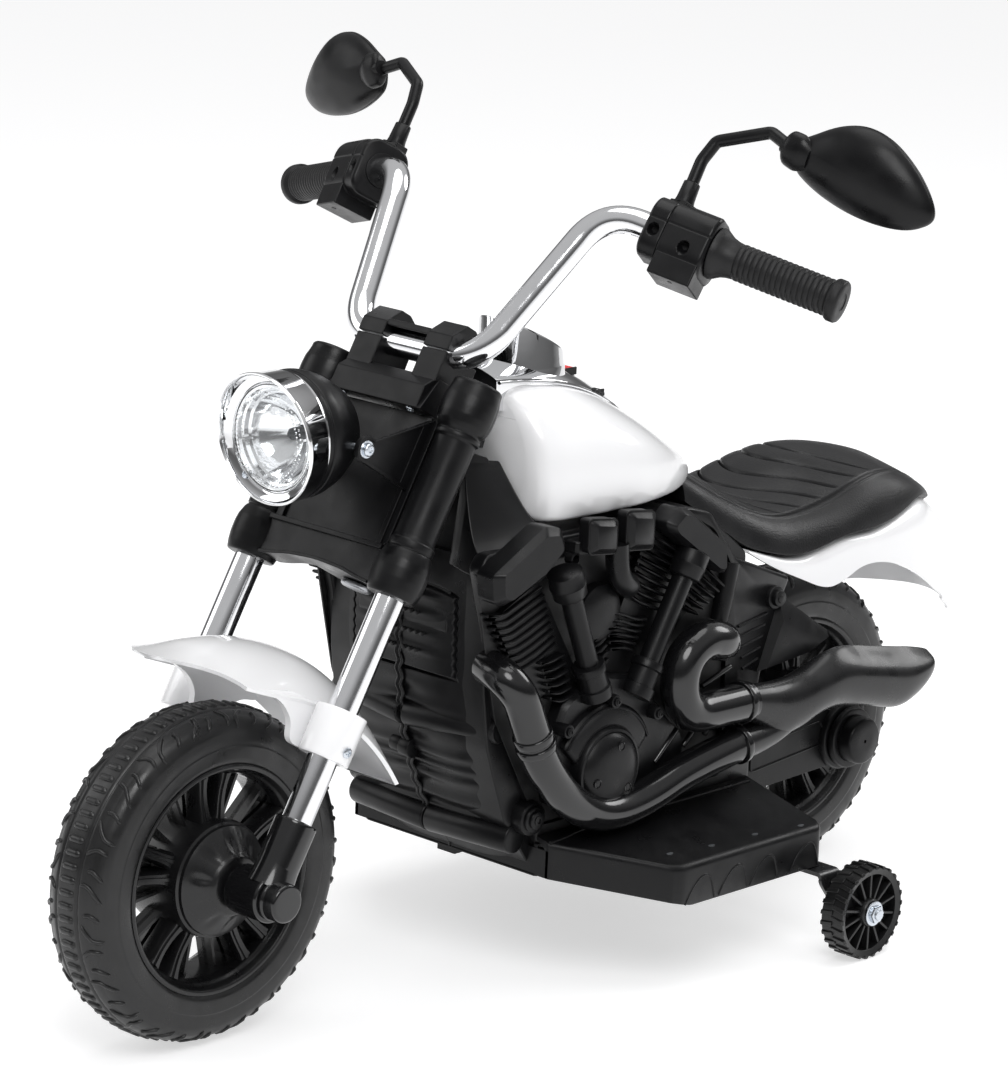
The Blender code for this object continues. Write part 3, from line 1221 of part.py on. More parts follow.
def seat(parent):
    rows = [(SEAT_FRONT, 0.0), (0.4060, 0.0), (0.4220, 0.0)]
    for index in range(CHANNEL_COUNT):
        middle = CHANNEL_FIRST + index * CHANNEL_PITCH
        rows += [(middle - CHANNEL_HALF_WIDTH, 0.0), (middle, CHANNEL_DEPTH), (middle + CHANNEL_HALF_WIDTH, 0.0)]
    rows += [(0.6200, 0.0), (0.6360, 0.0), (0.6520, 0.0), (0.6740, 0.0), (SEAT_REAR, 0.0)]
    rings = []
    for rim_y, depth in rows:
        half = seat_ring(rim_y, depth)
        left = [(-x, y, z) for x, y, z in reversed(half[1:])]
        low = half[-1][2]
        rings.append(half + [(0.0, rim_y, low)] + left)
    made = solid("seat", loft(rings), "seat_black")
    cut(made, tank_volume(-GAP))
    cut(made, slab(inset(CORE_OUTLINE, -GAP), -CORE_HALF_WIDTH - GAP, CORE_HALF_WIDTH + GAP))
    cut(made, slab(inset(SIDE_OUTLINE, -GAP), -BODY_HALF_WIDTH - GAP, BODY_HALF_WIDTH + GAP))
    cut(made, slab(inset(PLINTH_OUTLINE, -GAP), -PLINTH_HALF_WIDTH - GAP, PLINTH_HALF_WIDTH + GAP))
    finish(made, parent)


def fender_ring(row, inward):
    spine_y, spine_z, low_y, low_z, half = FENDER_STATIONS[row]
    before = FENDER_STATIONS[max(row - 1, 0)]
    after = FENDER_STATIONS[min(row + 1, len(FENDER_STATIONS) - 1)]
    along = Vector((after[0] - before[0], after[1] - before[1])).normalized()
    spine = Vector((spine_y, spine_z - FENDER_DROP)) + Vector((along.y, -along.x)) * inward
    half = half - inward
    low = Vector((low_y, low_z))
    shoulder = spine.lerp(low, 0.10)
    middle = spine.lerp(low, 0.55)
    bow = FENDER_BOW * min(1.0, max(0.0, (spine_y - 0.630) / 0.075))
    side = []
    for across, point in ((0.75, spine), (0.97, shoulder), (1.0, middle), (1.0, low)):
        side.append((half * across, point - Vector((bow * across * across, 0.0))))
    ring = [(x, point.x, point.y) for x, point in reversed(side)]
    ring.append((0.0, spine.x, spine.y))
    ring += [(-x, point.x, point.y) for x, point in side]
    return ring


def rear_fender(parent):
    rings = []
    for row in range(len(FENDER_STATIONS)):
        rings.append(fender_ring(row, 0.0) + list(reversed(fender_ring(row, FENDER_WALL))))
    made = solid("rear_fender", loft(rings), "white_plastic")
    cut(made, slab(inset(SIDE_OUTLINE, -GAP), -BODY_HALF_WIDTH - GAP, BODY_HALF_WIDTH + GAP))
    cut(made, slab(inset(CORE_OUTLINE, -GAP), -CORE_HALF_WIDTH - GAP, CORE_HALF_WIDTH + GAP))
    cut(made, slab(inset(DECK_OUTLINE, -GAP), -DECK_HALF_WIDTH - GAP, DECK_HALF_WIDTH + GAP))
    finish(made, parent)


def finned_cylinder(top, down, half, inner, outer):
    # A comb outline along the cylinder, given its width across the bike's side
    down = Vector(down).normalized()
    across = Vector((-down.y, down.x))
    start = 0.0170
    pitch = 0.0157
    comb = [(start, inner)]
    for index in range(FIN_COUNT):
        low = start + index * pitch
        comb += [(low, outer), (low + 0.45 * pitch, outer), (low + 0.45 * pitch, outer - FIN_DEPTH)]
        comb.append((low + pitch, outer - FIN_DEPTH))
    comb.append((start + FIN_COUNT * pitch, inner))
    rings = []
    for width in (-half, half):
        ring = []
        for along, x in comb:
            place = Vector(top) + down * along + across * width
            ring.append((x, place.x, place.y))
        rings.append(ring)
    return loft(rings)


def stepped_rod(top, flange, x):
    # A pushrod tube with its cap, its plain run and its flanged foot
    top = Vector(top)
    flange = Vector(flange)
    down = (flange - top).normalized()
    length = (flange - top).length
    steps = [(0.0, 0.0120), (0.0175, 0.0110), (0.0180, 0.0080), (length - 0.0035, 0.0080), (length - 0.0030, 0.0125),
             (length + 0.0120, 0.0115)]
    path = [top + down * along for along, _ in steps]
    return tube([(x, *point) for point in path], [radius for _, radius in steps], 6)


def reflect(made, side):
    # Turns a finished left-hand piece into its right-hand twin
    if side < 0:
        made.data.transform(Matrix.Scale(-1.0, 4, (1.0, 0.0, 0.0)))
        made.data.flip_normals()


def engine(name, side, parent):
    root = ENGINE_ROOT
    made = solid(name, slab(inset(BAY_OUTLINE, GAP), ENGINE_INNER, ENGINE_FACE), "black_plastic")
    add(made, finned_cylinder(*FRONT_CYLINDER, root, FIN_FACE), finned_cylinder(*REAR_CYLINDER, root, FIN_FACE))
    front_cover = [(0.1737, 0.2891), (0.1819, 0.2677), (0.2427, 0.2973), (0.2382, 0.3050), (0.2262, 0.3080)]
    rear_cover = [(0.3386, 0.2934), (0.3475, 0.3060), (0.3957, 0.2758), (0.4005, 0.2645), (0.3961, 0.2547)]
    for outline in (front_cover, rear_cover):
        narrow = inset(outline, 0.004)
        rings = []
        for depth, ring in ((root, outline), (0.0930, outline), (0.0980, narrow)):
            rings.append([(depth, y, z) for y, z in ring])
        add(made, loft(rings))
    case = [(0.2350, 0.1180), (0.2420, 0.1700), (0.2600, 0.2050), (0.3300, 0.2050), (0.3620, 0.1600), (0.3620, 0.1180)]
    add(made, slab(case, root, 0.0900))
    for top, flange in (((0.2290, 0.2790), (0.2610, 0.2080)), ((0.3568, 0.2780), (0.3170, 0.2060))):
        add(made, stepped_rod(top, flange, 0.0895))
    for low, high in ((0.2510, 0.2730), (0.2840, 0.3090)):
        add(made, box((root, low, 0.2920), (0.1000, high, 0.3180)))
    add(made, rod(0.0330, root, 0.0960, 16, "x", (0.0, 0.2980, 0.1480)))
    add(made, rod(0.0250, 0.0950, 0.1020, 16, "x", (0.0, 0.2990, 0.1420)))
    cut(made, box((-0.1, 0.1500, BODY_DECK - 0.0020), (BODY_HALF_WIDTH + 0.0022, 0.4200, 0.3300)))
    cut(made, rod(POST_RADIUS + GAP, 0.06, 0.12, 12, "x", POST_CENTRE))
    for path in exhaust_paths(side):
        path[0] = path[0] + (path[0] - path[1]).normalized() * 0.0010
        cut(made, tube(path, PIPE_RADIUS + 0.0010, PIPE_SIDES))
    reflect(made, side)
    finish(made, parent)


def exhaust_paths(side):
    # The right-hand pipe starts lower down, under the crankcase
    front = FRONT_PIPE if side > 0 else FRONT_PIPE[3:]
    paths = []
    for corners, radius, steps in ((front, 0.025, 1), (U_PIPE, 0.016, 1)):
        paths.append(smooth_path([(PIPE_X, y, z) for y, z in corners], radius, steps))
    return paths


def exhaust_pipes(name, side, parent):
    front, rear = exhaust_paths(side)
    made = solid(name, tube(front, PIPE_RADIUS, PIPE_SIDES), "gloss_black")
    add(made, tube(rear, PIPE_RADIUS, PIPE_SIDES))
    add(made, box((PIPE_X - 0.007, PIPE_END - 0.012, rear[-1].z), (PIPE_X + 0.007, PIPE_END + 0.002, front[-1].z)))
    if side > 0:
        add(made, tube([(PIPE_X, y, z) for y, z in COLLAR], PIPE_RADIUS + 0.0015, PIPE_SIDES))
    cut(made, box((0.0, PIPE_END, 0.0), (0.2, 0.5, 0.3)))
    reflect(made, side)
    finish(made, parent)


def muffler(name, side, parent):
    rings = []
    for y, z, half, tall in MUFFLER:
        rings.append([(0.0920 + first, y, z + second * tall / half) for first, second in circle(half, 14)])
    made = solid(name, loft(rings), "gloss_black")
    fin = [(0.4900, 0.1700), (0.5053, 0.1933), (0.5504, 0.1847), (0.5919, 0.1717), (0.5850, 0.1600)]
    add(made, slab(fin, 0.0880, 0.0940))
    cut(made, box((0.0, 0.3, 0.0), (BODY_HALF_WIDTH + GAP, 0.4800, 0.3)))
    reflect(made, side)
    finish(made, parent)


# Tray and footboards
def foot_top(x):
    slope = (FOOT_INNER_Z - FOOT_OUTER_Z) / (FOOT_OUTER - 0.0850)
    return FOOT_INNER_Z - (x - 0.0850) * slope


def base_tray(parent):
    plan = [(TRAY_HALF_WIDTH, TRAY_FRONT), (FOOT_OUTER - 0.004, FOOT_FRONT), (FOOT_OUTER, FOOT_FRONT + 0.008)]
    plan += [(FOOT_OUTER, TRAY_REAR - 0.004), (FOOT_OUTER - 0.004, TRAY_REAR)]
    outline = plan + [(-x, y) for x, y in reversed(plan)]
    made = solid("base_tray", loft([[(x, y, z) for x, y in outline] for z in (TRAY_BOTTOM, 0.12)]), "black_plastic")
    side = BODY_HALF_WIDTH
    roof = [(side, 0.15), (side, foot_top(side)), (0.16, foot_top(0.16)), (0.16, 0.15)]
    cut(made, plate(roof, 0.0, 0.6), plate([(-x, z) for x, z in roof], 0.0, 0.6))
    room = side + 2.0 * GAP
    cut(made, box((-room, 0.0, TRAY_TOP), (room, 0.6, 0.2)))
    cut(made, box((-room, 0.0, 0.0), (room, 0.6, TRAY_TOP - FLOOR_WALL)))
    under = [(0.20, 0.0), (0.20, 0.0785), (TRAY_FRONT, 0.0785), (0.3050, TRAY_BOTTOM), (0.3050, 0.0)]
    cut(made, slab(under, -0.2, 0.2))
    hollow = [(0.0860, 0.2480), (0.1000, 0.2480), (FOOT_OUTER - FOOT_WALL, 0.2960), (FOOT_OUTER - FOOT_WALL, TRAY_REAR - 0.008)]
    hollow.append((0.0860, TRAY_REAR - 0.008))
    for word in (1, -1):
        cut(made, sided(loft([[(x, y, z) for x, y in hollow] for z in (0.0, 0.0840)]), word))
    finish(made, parent)


def pedal(parent):
    x_low, x_high = -0.1420, -0.1130
    rings = []
    for x in (x_low, x_high):
        base = foot_top(-x)
        ring = [(x, 0.3450, base + 0.0008), (x, 0.3000, base + 0.0062), (x, 0.3000, base + 0.0100)]
        ring += [(x, 0.3450, base + 0.0055), (x, 0.3480, base + 0.0030)]
        rings.append(ring)
    made = solid("accelerator_pedal", loft(rings), "black_plastic")
    pivot = empty("pedal_pivot", (0.0, 0.3450, 0.0950), parent)
    made.data.transform(Matrix.Translation((0.0, -0.3450, -0.0950)))
    finish(made, pivot)


# Drive and electrics inside the body; not seen in the picture
def drive(parent):
    hub = (0.0, WHEELBASE, WHEEL_RADIUS)
    flat = [(0.3900, 0.0900), (0.5550, 0.0900), (0.5700, 0.1000), (0.5700, 0.1200), (0.5550, 0.1300), (0.3900, 0.1350)]
    case = solid("gearbox", slab(flat, -HUB_ARM_INNER + GAP, -0.0405), "gear_white")
    add(case, box((-0.0470, 0.3900, 0.0905), (-0.0100, 0.4280, 0.1345)))
    cut(case, rod(AXLE_RADIUS + GAP, -0.06, -0.03, 12, "x", hub))
    add(case, rod(0.0135, -0.0110, 0.0300, 12, "x", (0.0, 0.4090, 0.1130)))
    finish(case, parent)
    finish(solid("battery", box((-0.0350, 0.2500, 0.0835), (0.0350, 0.2970, 0.1850)), "battery_case"), parent)


def rear_axle(parent):
    hub = (0.0, WHEELBASE, WHEEL_RADIUS)
    seat_x = HUB_RING_OUTER + GAP
    reach = HUB_CAP_OUTER - CAP_WALL - GAP
    finish(solid("rear_axle", rod(AXLE_RADIUS, -reach, reach, 12, "x", hub), "steel"), parent)
    profile = [(HUB_CAP_RADIUS, seat_x), (HUB_CAP_RADIUS - 0.0015, HUB_CAP_OUTER)]
    profile += [(0.0012, HUB_CAP_OUTER), (0.0012, HUB_CAP_OUTER - CAP_WALL)]
    profile += [(AXLE_RADIUS + GAP, HUB_CAP_OUTER - CAP_WALL), (AXLE_RADIUS + GAP, seat_x)]
    for side, word in ((1, "left"), (-1, "right")):
        finish(solid("rear_axle_cap_" + word, sided(turned(profile, 10, "x", hub), side), "gloss_black"), parent)


# Stabilisers
def stabilisers(parent):
    top = TRAY_BOTTOM - GAP
    y, z = STABILISER_Y, STABILISER_Z
    bar = box((-STRAP_X, 0.4230, top - STRAP_THICKNESS), (STRAP_X, 0.4430, top))
    made = solid("training_wheel_bracket", bar, "steel")
    lug = [(0.4230, top), (0.4230, 0.0520), (0.4370, z), (0.4400, 0.0256), (y, 0.0224), (0.4560, 0.0256)]
    lug += [(0.4590, z), (0.4560, 0.0412), (0.4470, 0.0470), (0.4430, 0.0540), (0.4430, top)]
    face = STABILISER_INNER + STABILISER_WIDTH + 2.0 * GAP
    end = face + 0.0062
    for side in (1, -1):
        add(made, sided(slab(lug, STRAP_X - STRAP_THICKNESS, STRAP_X), side))
        add(made, sided(rod(STABILISER_BOLT, STRAP_X - 0.002, end, 12, "x", (0.0, y, z)), side))
        add(made, sided(rod(0.0085, face, face + 0.0012, 12, "x", (0.0, y, z)), side))
        add(made, sided(rod(0.0062, face + 0.0010, face + 0.0042, 6, "x", (0.0, y, z)), side))
    finish(made, parent)
    inner = STABILISER_BOLT + GAP
    for side, word in ((1, "left"), (-1, "right")):
        pivot = empty("training_pivot_" + word, (side * (STABILISER_INNER + STABILISER_WIDTH / 2.0), y, z), parent)
        half = STABILISER_WIDTH / 2.0
        profile = [(inner, half), (0.0100, half), (0.0115, half - 0.003), (0.0240, half - 0.003), (0.0260, half)]
        profile.append((STABILISER_RADIUS, half - 0.002))
        ring = profile + [(radius, -across) for radius, across in reversed(profile)]
        tread = turned(ring, STABILISER_SIDES, "x", turn=STABILISER_TURN)
        finish(solid("training_wheel_" + word, tread, "black_plastic"), pivot)


def build_body(root):
    both_sides("body", body_half, root)
    tank(root)
    dash(root)
    rocker("power_switch", "red_plastic", root)
    rocker("direction_switch", "black_plastic", root)
    seat(root)
    rear_fender(root)
    both_sides("engine", engine, root)
    for side, word in ((1, "left"), (-1, "right")):
        exhaust_pipes("exhaust_pipes_" + word, side, root)
        muffler("muffler_" + word, side, root)
    base_tray(root)
    pedal(root)
    drive(root)
    rear_axle(root)
    stabilisers(root)
    hub = empty("rear_wheel_axis", (0.0, WHEELBASE, WHEEL_RADIUS), root)
    wheel("rear", hub)


clear_scene()
TAIL = max(row[0] for row in FENDER_STATIONS)
NOSE = WHEEL_RADIUS * math.cos(math.pi / WHEEL_SIDES)
ROOT = empty("bike_origin", (0.0, -(TAIL - NOSE) / 2.0, -FLOOR))
build_fork(ROOT)
build_body(ROOT)
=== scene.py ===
# Looks for a child's ride-on chopper: every moulding, tube and pad is worked out here as a surface.
import math
import bmesh
import bpy
import numpy as np
from mathutils import Matrix


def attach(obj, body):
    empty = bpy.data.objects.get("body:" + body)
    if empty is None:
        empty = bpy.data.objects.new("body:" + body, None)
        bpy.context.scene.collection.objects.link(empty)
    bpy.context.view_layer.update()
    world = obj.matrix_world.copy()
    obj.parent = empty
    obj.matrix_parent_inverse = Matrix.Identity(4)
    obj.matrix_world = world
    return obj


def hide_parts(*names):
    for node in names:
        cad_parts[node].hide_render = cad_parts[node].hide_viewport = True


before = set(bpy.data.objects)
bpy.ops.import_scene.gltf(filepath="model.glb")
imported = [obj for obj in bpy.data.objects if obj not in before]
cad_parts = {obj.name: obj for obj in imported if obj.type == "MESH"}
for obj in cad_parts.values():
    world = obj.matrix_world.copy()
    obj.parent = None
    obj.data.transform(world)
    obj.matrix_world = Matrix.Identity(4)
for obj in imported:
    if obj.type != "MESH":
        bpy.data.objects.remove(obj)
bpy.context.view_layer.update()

# Shared measures in metres. Places along the bike count back from the front axle, heights up from the ground.
bikePlan = {
    "wheelRadius": 0.11,
    "wheelBase": 0.5527,
    "rake": math.radians(30.0),
    "tail": 0.715,
    "flatShare": math.cos(math.pi / 24),
}
shift = np.array([
    0.0,
    (bikePlan["wheelRadius"] * bikePlan["flatShare"] - bikePlan["tail"]) / 2,
    bikePlan["wheelRadius"] * (bikePlan["flatShare"] - 1),
])

sides = ((1, "left"), (-1, "right"))


def bike(points):
    # Moves points from the drawing's origin (front axle, ground) to the frame's
    return np.asarray(points, float) + shift


def fork(points):
    # Points given as (across, back, up the fork), turned by the rake about the front axle
    points = np.asarray(points, float)
    across, back, up = points[..., 0], points[..., 1], points[..., 2]
    cosine, sine = math.cos(bikePlan["rake"]), math.sin(bikePlan["rake"])
    along = back * cosine + up * sine
    height = bikePlan["wheelRadius"] - back * sine + up * cosine
    return np.stack([across, along, height], -1) + shift


# Shape tools. Each shape is (points, faces); faces are lists of point numbers.
def skin(grid, roundClosed=True, alongClosed=False, ends=True):
    # Four-sided faces between neighbouring rows and columns of a grid of points
    rows, columns = grid.shape[:2]
    row, column = np.meshgrid(
        np.arange(rows if alongClosed else rows - 1),
        np.arange(columns if roundClosed else columns - 1), indexing="ij")
    nextRow, nextColumn = (row + 1) % rows, (column + 1) % columns
    corners = [row * columns + column, row * columns + nextColumn,
               nextRow * columns + nextColumn, nextRow * columns + column]
    faces = np.stack(corners, -1).reshape(-1, 4).tolist()
    if ends and not alongClosed:
        faces.append(list(range(columns)))
        faces.append(list(range((rows - 1) * columns, rows * columns)))
    return grid.reshape(-1, 3), faces


def fullTurn(count):
    return np.linspace(0.0, 2 * math.pi, count, endpoint=False)


def curved(start, middle, stop, share):
    # Quadratic curve from start to stop, drawn towards the middle point
    return (1 - share) ** 2 * start + 2 * share * (1 - share) * middle + share ** 2 * stop


def soften(points, reach, steps=4, closed=False):
    # Each corner becomes a quadratic curve from a point before it to a point after it, at most `reach` away
    points = np.asarray(points, float)
    before, after = np.roll(points, 1, 0), np.roll(points, -1, 0)
    toBefore, toAfter = before - points, after - points
    lengthBefore = np.linalg.norm(toBefore, axis=1, keepdims=True) + 1e-12
    lengthAfter = np.linalg.norm(toAfter, axis=1, keepdims=True) + 1e-12
    start = points + toBefore * np.minimum(reach / lengthBefore, 0.49)
    stop = points + toAfter * np.minimum(reach / lengthAfter, 0.49)
    share = np.linspace(0.0, 1.0, steps + 1)[None, :, None]
    curve = curved(start[:, None], points[:, None], stop[:, None], share)
    if closed:
        return curve.reshape(-1, points.shape[1])
    return np.concatenate([points[:1], curve[1:-1].reshape(-1, points.shape[1]), points[-1:]])


def lathe(profile, steps=64, axis="x", centre=(0.0, 0.0, 0.0), closed=False, wave=None):
    # A profile of (radius, along) turned round an axis; wave(angle, radius, along) is added to the radius
    profile = np.asarray(profile, float)
    angle = fullTurn(steps)[:, None]
    radius = np.broadcast_to(profile[None, :, 0], (steps, len(profile)))
    along = np.broadcast_to(profile[None, :, 1], (steps, len(profile)))
    if wave is not None:
        radius = radius + wave(angle, radius, along)
    first, second = radius * np.cos(angle), radius * np.sin(angle)
    order = {"x": (along, first, second), "y": (second, along, first), "z": (first, second, along)}[axis]
    grid = np.stack(order, -1) + np.asarray(centre, float)
    grid = grid.transpose(1, 0, 2)
    return skin(grid, roundClosed=True, alongClosed=closed, ends=not closed)


def tubeAlong(path, radius, sides=16, up=(0.0, 0.0, 1.0), squash=1.0):
    # A round section carried along a path: at each point the two cross directions are square to the path
    path = np.asarray(path, float)
    tangent = np.gradient(path, axis=0)
    tangent /= np.linalg.norm(tangent, axis=1, keepdims=True)
    side = np.cross(tangent, np.asarray(up, float))
    side /= np.linalg.norm(side, axis=1, keepdims=True)
    other = np.cross(side, tangent)
    radius = np.broadcast_to(np.asarray(radius, float).reshape(-1), (len(path),))[:, None, None]
    angle = fullTurn(sides)[None, :, None]
    ring = side[:, None] * np.cos(angle) + other[:, None] * np.sin(angle) * squash
    return skin(path[:, None] + ring * radius)


def pin(start, stop, radius, sides=24, edge=0.0004):
    # A short round bar between two points with rounded end edges
    start, stop = np.asarray(start, float), np.asarray(stop, float)
    length = np.linalg.norm(stop - start)
    along = np.array([0.0, 0.3 * edge, edge, length - edge, length - 0.3 * edge, length])
    size = radius - edge * np.array([1.0, 0.3, 0.0, 0.0, 0.3, 1.0])
    direction = (stop - start) / length
    helper = np.array([1.0, 0.0, 0.0]) if abs(direction[0]) < 0.9 else np.array([0.0, 0.0, 1.0])
    side = np.cross(direction, helper)
    side /= np.linalg.norm(side)
    other = np.cross(direction, side)
    angle = fullTurn(sides)[None, :, None]
    ring = side * np.cos(angle) + other * np.sin(angle)
    return skin(start + direction * along[:, None, None] + ring * size[:, None, None])


def slab(outline, low, high):
    # An outline of (along, up) points given a thickness across the bike
    outline = np.asarray(outline, float)
    grid = np.stack([np.insert(outline, 0, low, 1), np.insert(outline, 0, high, 1)])
    return skin(grid)


def roundSlab(outline, low, high, reach=0.004):
    return slab(soften(outline, reach, 4, True), low, high)


def plate(outline, low, high):
    # An outline of (across, up) points given a thickness along the bike
    outline = np.asarray(outline, float)
    grid = np.stack([np.insert(outline, 1, low, 1), np.insert(outline, 1, high, 1)])
    return skin(grid)


def tile(outline, low, high):
    # An outline of (across, along) points given a height
    outline = np.asarray(outline, float)
    grid = np.stack([np.insert(outline, 2, low, 1), np.insert(outline, 2, high, 1)])
    return skin(grid)


def block(low, high):
    return slab([(low[1], low[2]), (high[1], low[2]), (high[1], high[2]), (low[1], high[2])], low[0], high[0])


def mirrored(shape):
    return shape[0] * np.array([-1.0, 1.0, 1.0]), [face[::-1] for face in shape[1]]


def sided(shape, side):
    return shape if side > 0 else mirrored(shape)


def moved(shape, change, side=1):
    # A shape drawn for the left, mirrored for side -1 and then carried to its place, as by bike or fork
    points, faces = sided(shape, side)
    return change(points), faces


def allMoved(shapes, change, side=1):
    return [moved(shape, change, side) for shape in shapes]


def bothWays(shape):
    return [shape, mirrored(shape)]


def spread(shape, count, turn):
    # Copies of one shape, each turned a further step about the across axis through the origin
    points, faces = shape
    angle = (turn + np.arange(count) * 2 * math.pi / count)[:, None]
    y = points[None, :, 1] * np.cos(angle) - points[None, :, 2] * np.sin(angle)
    z = points[None, :, 1] * np.sin(angle) + points[None, :, 2] * np.cos(angle)
    copies = np.stack([np.broadcast_to(points[None, :, 0], y.shape), y, z], -1)
    return [(copies[index], faces) for index in range(count)]


def piece(name, body, look, shapes, hides=(), sharp=34.0, bevel=0.0, segments=2, slotName=None):
    # Joins shapes into one object, turns faces outwards, rounds its edges and lets it ride on its body
    slotName = slotName or slots[look]
    shapes = shapes if isinstance(shapes, list) else [shapes]
    points = np.concatenate([np.asarray(shape[0], float).reshape(-1, 3) for shape in shapes])
    faces = []
    offset = 0
    for shape in shapes:
        faces += [[index + offset for index in face] for face in shape[1]]
        offset += len(shape[0])
    mesh = bpy.data.meshes.new(name)
    mesh.from_pydata(points.tolist(), [], faces)
    work = bmesh.new()
    work.from_mesh(mesh)
    bmesh.ops.remove_doubles(work, verts=work.verts, dist=2e-7)
    bmesh.ops.dissolve_degenerate(work, dist=1e-7, edges=work.edges)
    bmesh.ops.recalc_face_normals(work, faces=work.faces)
    work.to_mesh(mesh)
    work.free()
    made = bpy.data.objects.new(name, mesh)
    bpy.context.scene.collection.objects.link(made)
    mesh.materials.append(finish[look])
    mesh.shade_smooth()
    if bevel:
        rounding = made.modifiers.new("rounding", "BEVEL")
        rounding.width = bevel
        rounding.segments = segments
        rounding.limit_method = "ANGLE"
        rounding.angle_limit = math.radians(sharp)
        rounding.harden_normals = True
    else:
        mesh.set_sharp_from_angle(angle=math.radians(sharp))
    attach(made, body)
    if hides:
        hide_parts(*hides)
    return made


# The part's material slot that each finish belongs to; a piece may name another
slots = {
    "whitePlastic": "white_plastic", "satinBlack": "black_plastic", "glossBlack": "gloss_black",
    "rimBlack": "gloss_black",
    "tyreBlack": "tyre_black", "gripBlack": "black_plastic", "chromeTube": "chrome",
    "chromePlastic": "chromed_plastic",
    "reflector": "chromed_plastic", "steel": "steel", "zinc": "zinc", "paintedStrap": "steel",
    "redPlastic": "red_plastic",
    "gearWhite": "gear_white", "caseGrey": "black_plastic", "mirrorFilm": "mirror_film",
    "deepBlack": "black_plastic",
    "seatLeather": "seat_black", "clearLens": "clear_lens",
}

# Finishes: colour, roughness and metal, with a fine grain, a slow mottle and a gloss coat
finishes = {
    "whitePlastic": {"colour": (0.89, 0.89, 0.9), "rough": 0.17, "spread": 0.05, "mottle": 26.0,
                     "tone": 0.012,
                     "grain": 420.0, "depth": 0.00003, "coat": 0.5},
    "satinBlack": {"colour": (0.0045, 0.0045, 0.005), "rough": 0.34, "spread": 0.08, "mottle": 60.0,
                   "tone": 0.18,
                   "grain": 1500.0, "depth": 0.00008, "shine": 0.22},
    "glossBlack": {"colour": (0.0055, 0.0055, 0.006), "rough": 0.15, "spread": 0.06, "mottle": 45.0,
                   "tone": 0.12,
                   "grain": 260.0, "depth": 0.00003, "coat": 0.3, "shine": 0.4},
    "rimBlack": {"colour": (0.006, 0.006, 0.0065), "rough": 0.29, "spread": 0.07, "mottle": 55.0,
                 "tone": 0.14,
                 "grain": 500.0, "depth": 0.00004, "coat": 0.12, "shine": 0.35},
    "tyreBlack": {"colour": (0.0075, 0.0075, 0.0078), "rough": 0.35, "spread": 0.1, "mottle": 85.0,
                  "tone": 0.2,
                  "grain": 900.0, "depth": 0.00008, "shine": 0.42},
    "gripBlack": {"colour": (0.0075, 0.0075, 0.008), "rough": 0.5, "spread": 0.08, "mottle": 90.0,
                  "tone": 0.2,
                  "grain": 1300.0, "depth": 0.00008, "shine": 0.3},
    "chromeTube": {"colour": (0.8, 0.805, 0.82), "rough": 0.085, "spread": 0.05, "mottle": 130.0,
                   "tone": 0.03,
                   "grain": 700.0, "depth": 0.00002, "metal": 1.0, "stretch": (1.0, 1.0, 0.12)},
    "chromePlastic": {"colour": (0.86, 0.865, 0.875), "rough": 0.045, "spread": 0.03, "mottle": 40.0,
                      "tone": 0.02,
                      "grain": 55.0, "depth": 0.00012, "metal": 1.0},
    "reflector": {"colour": (0.9, 0.905, 0.915), "rough": 0.1, "spread": 0.04, "mottle": 60.0, "tone": 0.02,
                  "grain": 300.0, "depth": 0.00003, "metal": 1.0},
    "steel": {"colour": (0.42, 0.43, 0.45), "rough": 0.34, "spread": 0.1, "mottle": 200.0, "tone": 0.1,
              "grain": 1500.0, "depth": 0.00004, "metal": 1.0},
    "zinc": {"colour": (0.6, 0.64, 0.69), "rough": 0.27, "spread": 0.1, "mottle": 320.0, "tone": 0.12,
             "grain": 1600.0, "depth": 0.00005, "metal": 1.0},
    "paintedStrap": {"colour": (0.014, 0.014, 0.015), "rough": 0.3, "spread": 0.1, "mottle": 120.0,
                     "tone": 0.2,
                     "grain": 800.0, "depth": 0.00006, "coat": 0.2},
    "redPlastic": {"colour": (0.72, 0.006, 0.008), "rough": 0.22, "spread": 0.05, "mottle": 90.0,
                   "tone": 0.08,
                   "grain": 400.0, "depth": 0.00003, "coat": 0.4},
    "gearWhite": {"colour": (0.66, 0.66, 0.62), "rough": 0.45, "spread": 0.08, "mottle": 80.0, "tone": 0.05,
                  "grain": 900.0, "depth": 0.00006},
    "caseGrey": {"colour": (0.07, 0.075, 0.08), "rough": 0.45, "spread": 0.08, "mottle": 80.0, "tone": 0.12,
                 "grain": 900.0, "depth": 0.00006},
    "mirrorFilm": {"colour": (0.84, 0.855, 0.87), "rough": 0.03, "spread": 0.02, "mottle": 30.0, "tone": 0.01,
                   "grain": 30.0, "depth": 0.00004, "metal": 1.0},
    "deepBlack": {"colour": (0.004, 0.004, 0.0045), "rough": 0.55, "spread": 0.08, "mottle": 90.0,
                  "tone": 0.2,
                  "grain": 1200.0, "depth": 0.00005},
}


def setInputs(node, values):
    for name, value in values.items():
        node.inputs[name].default_value = value


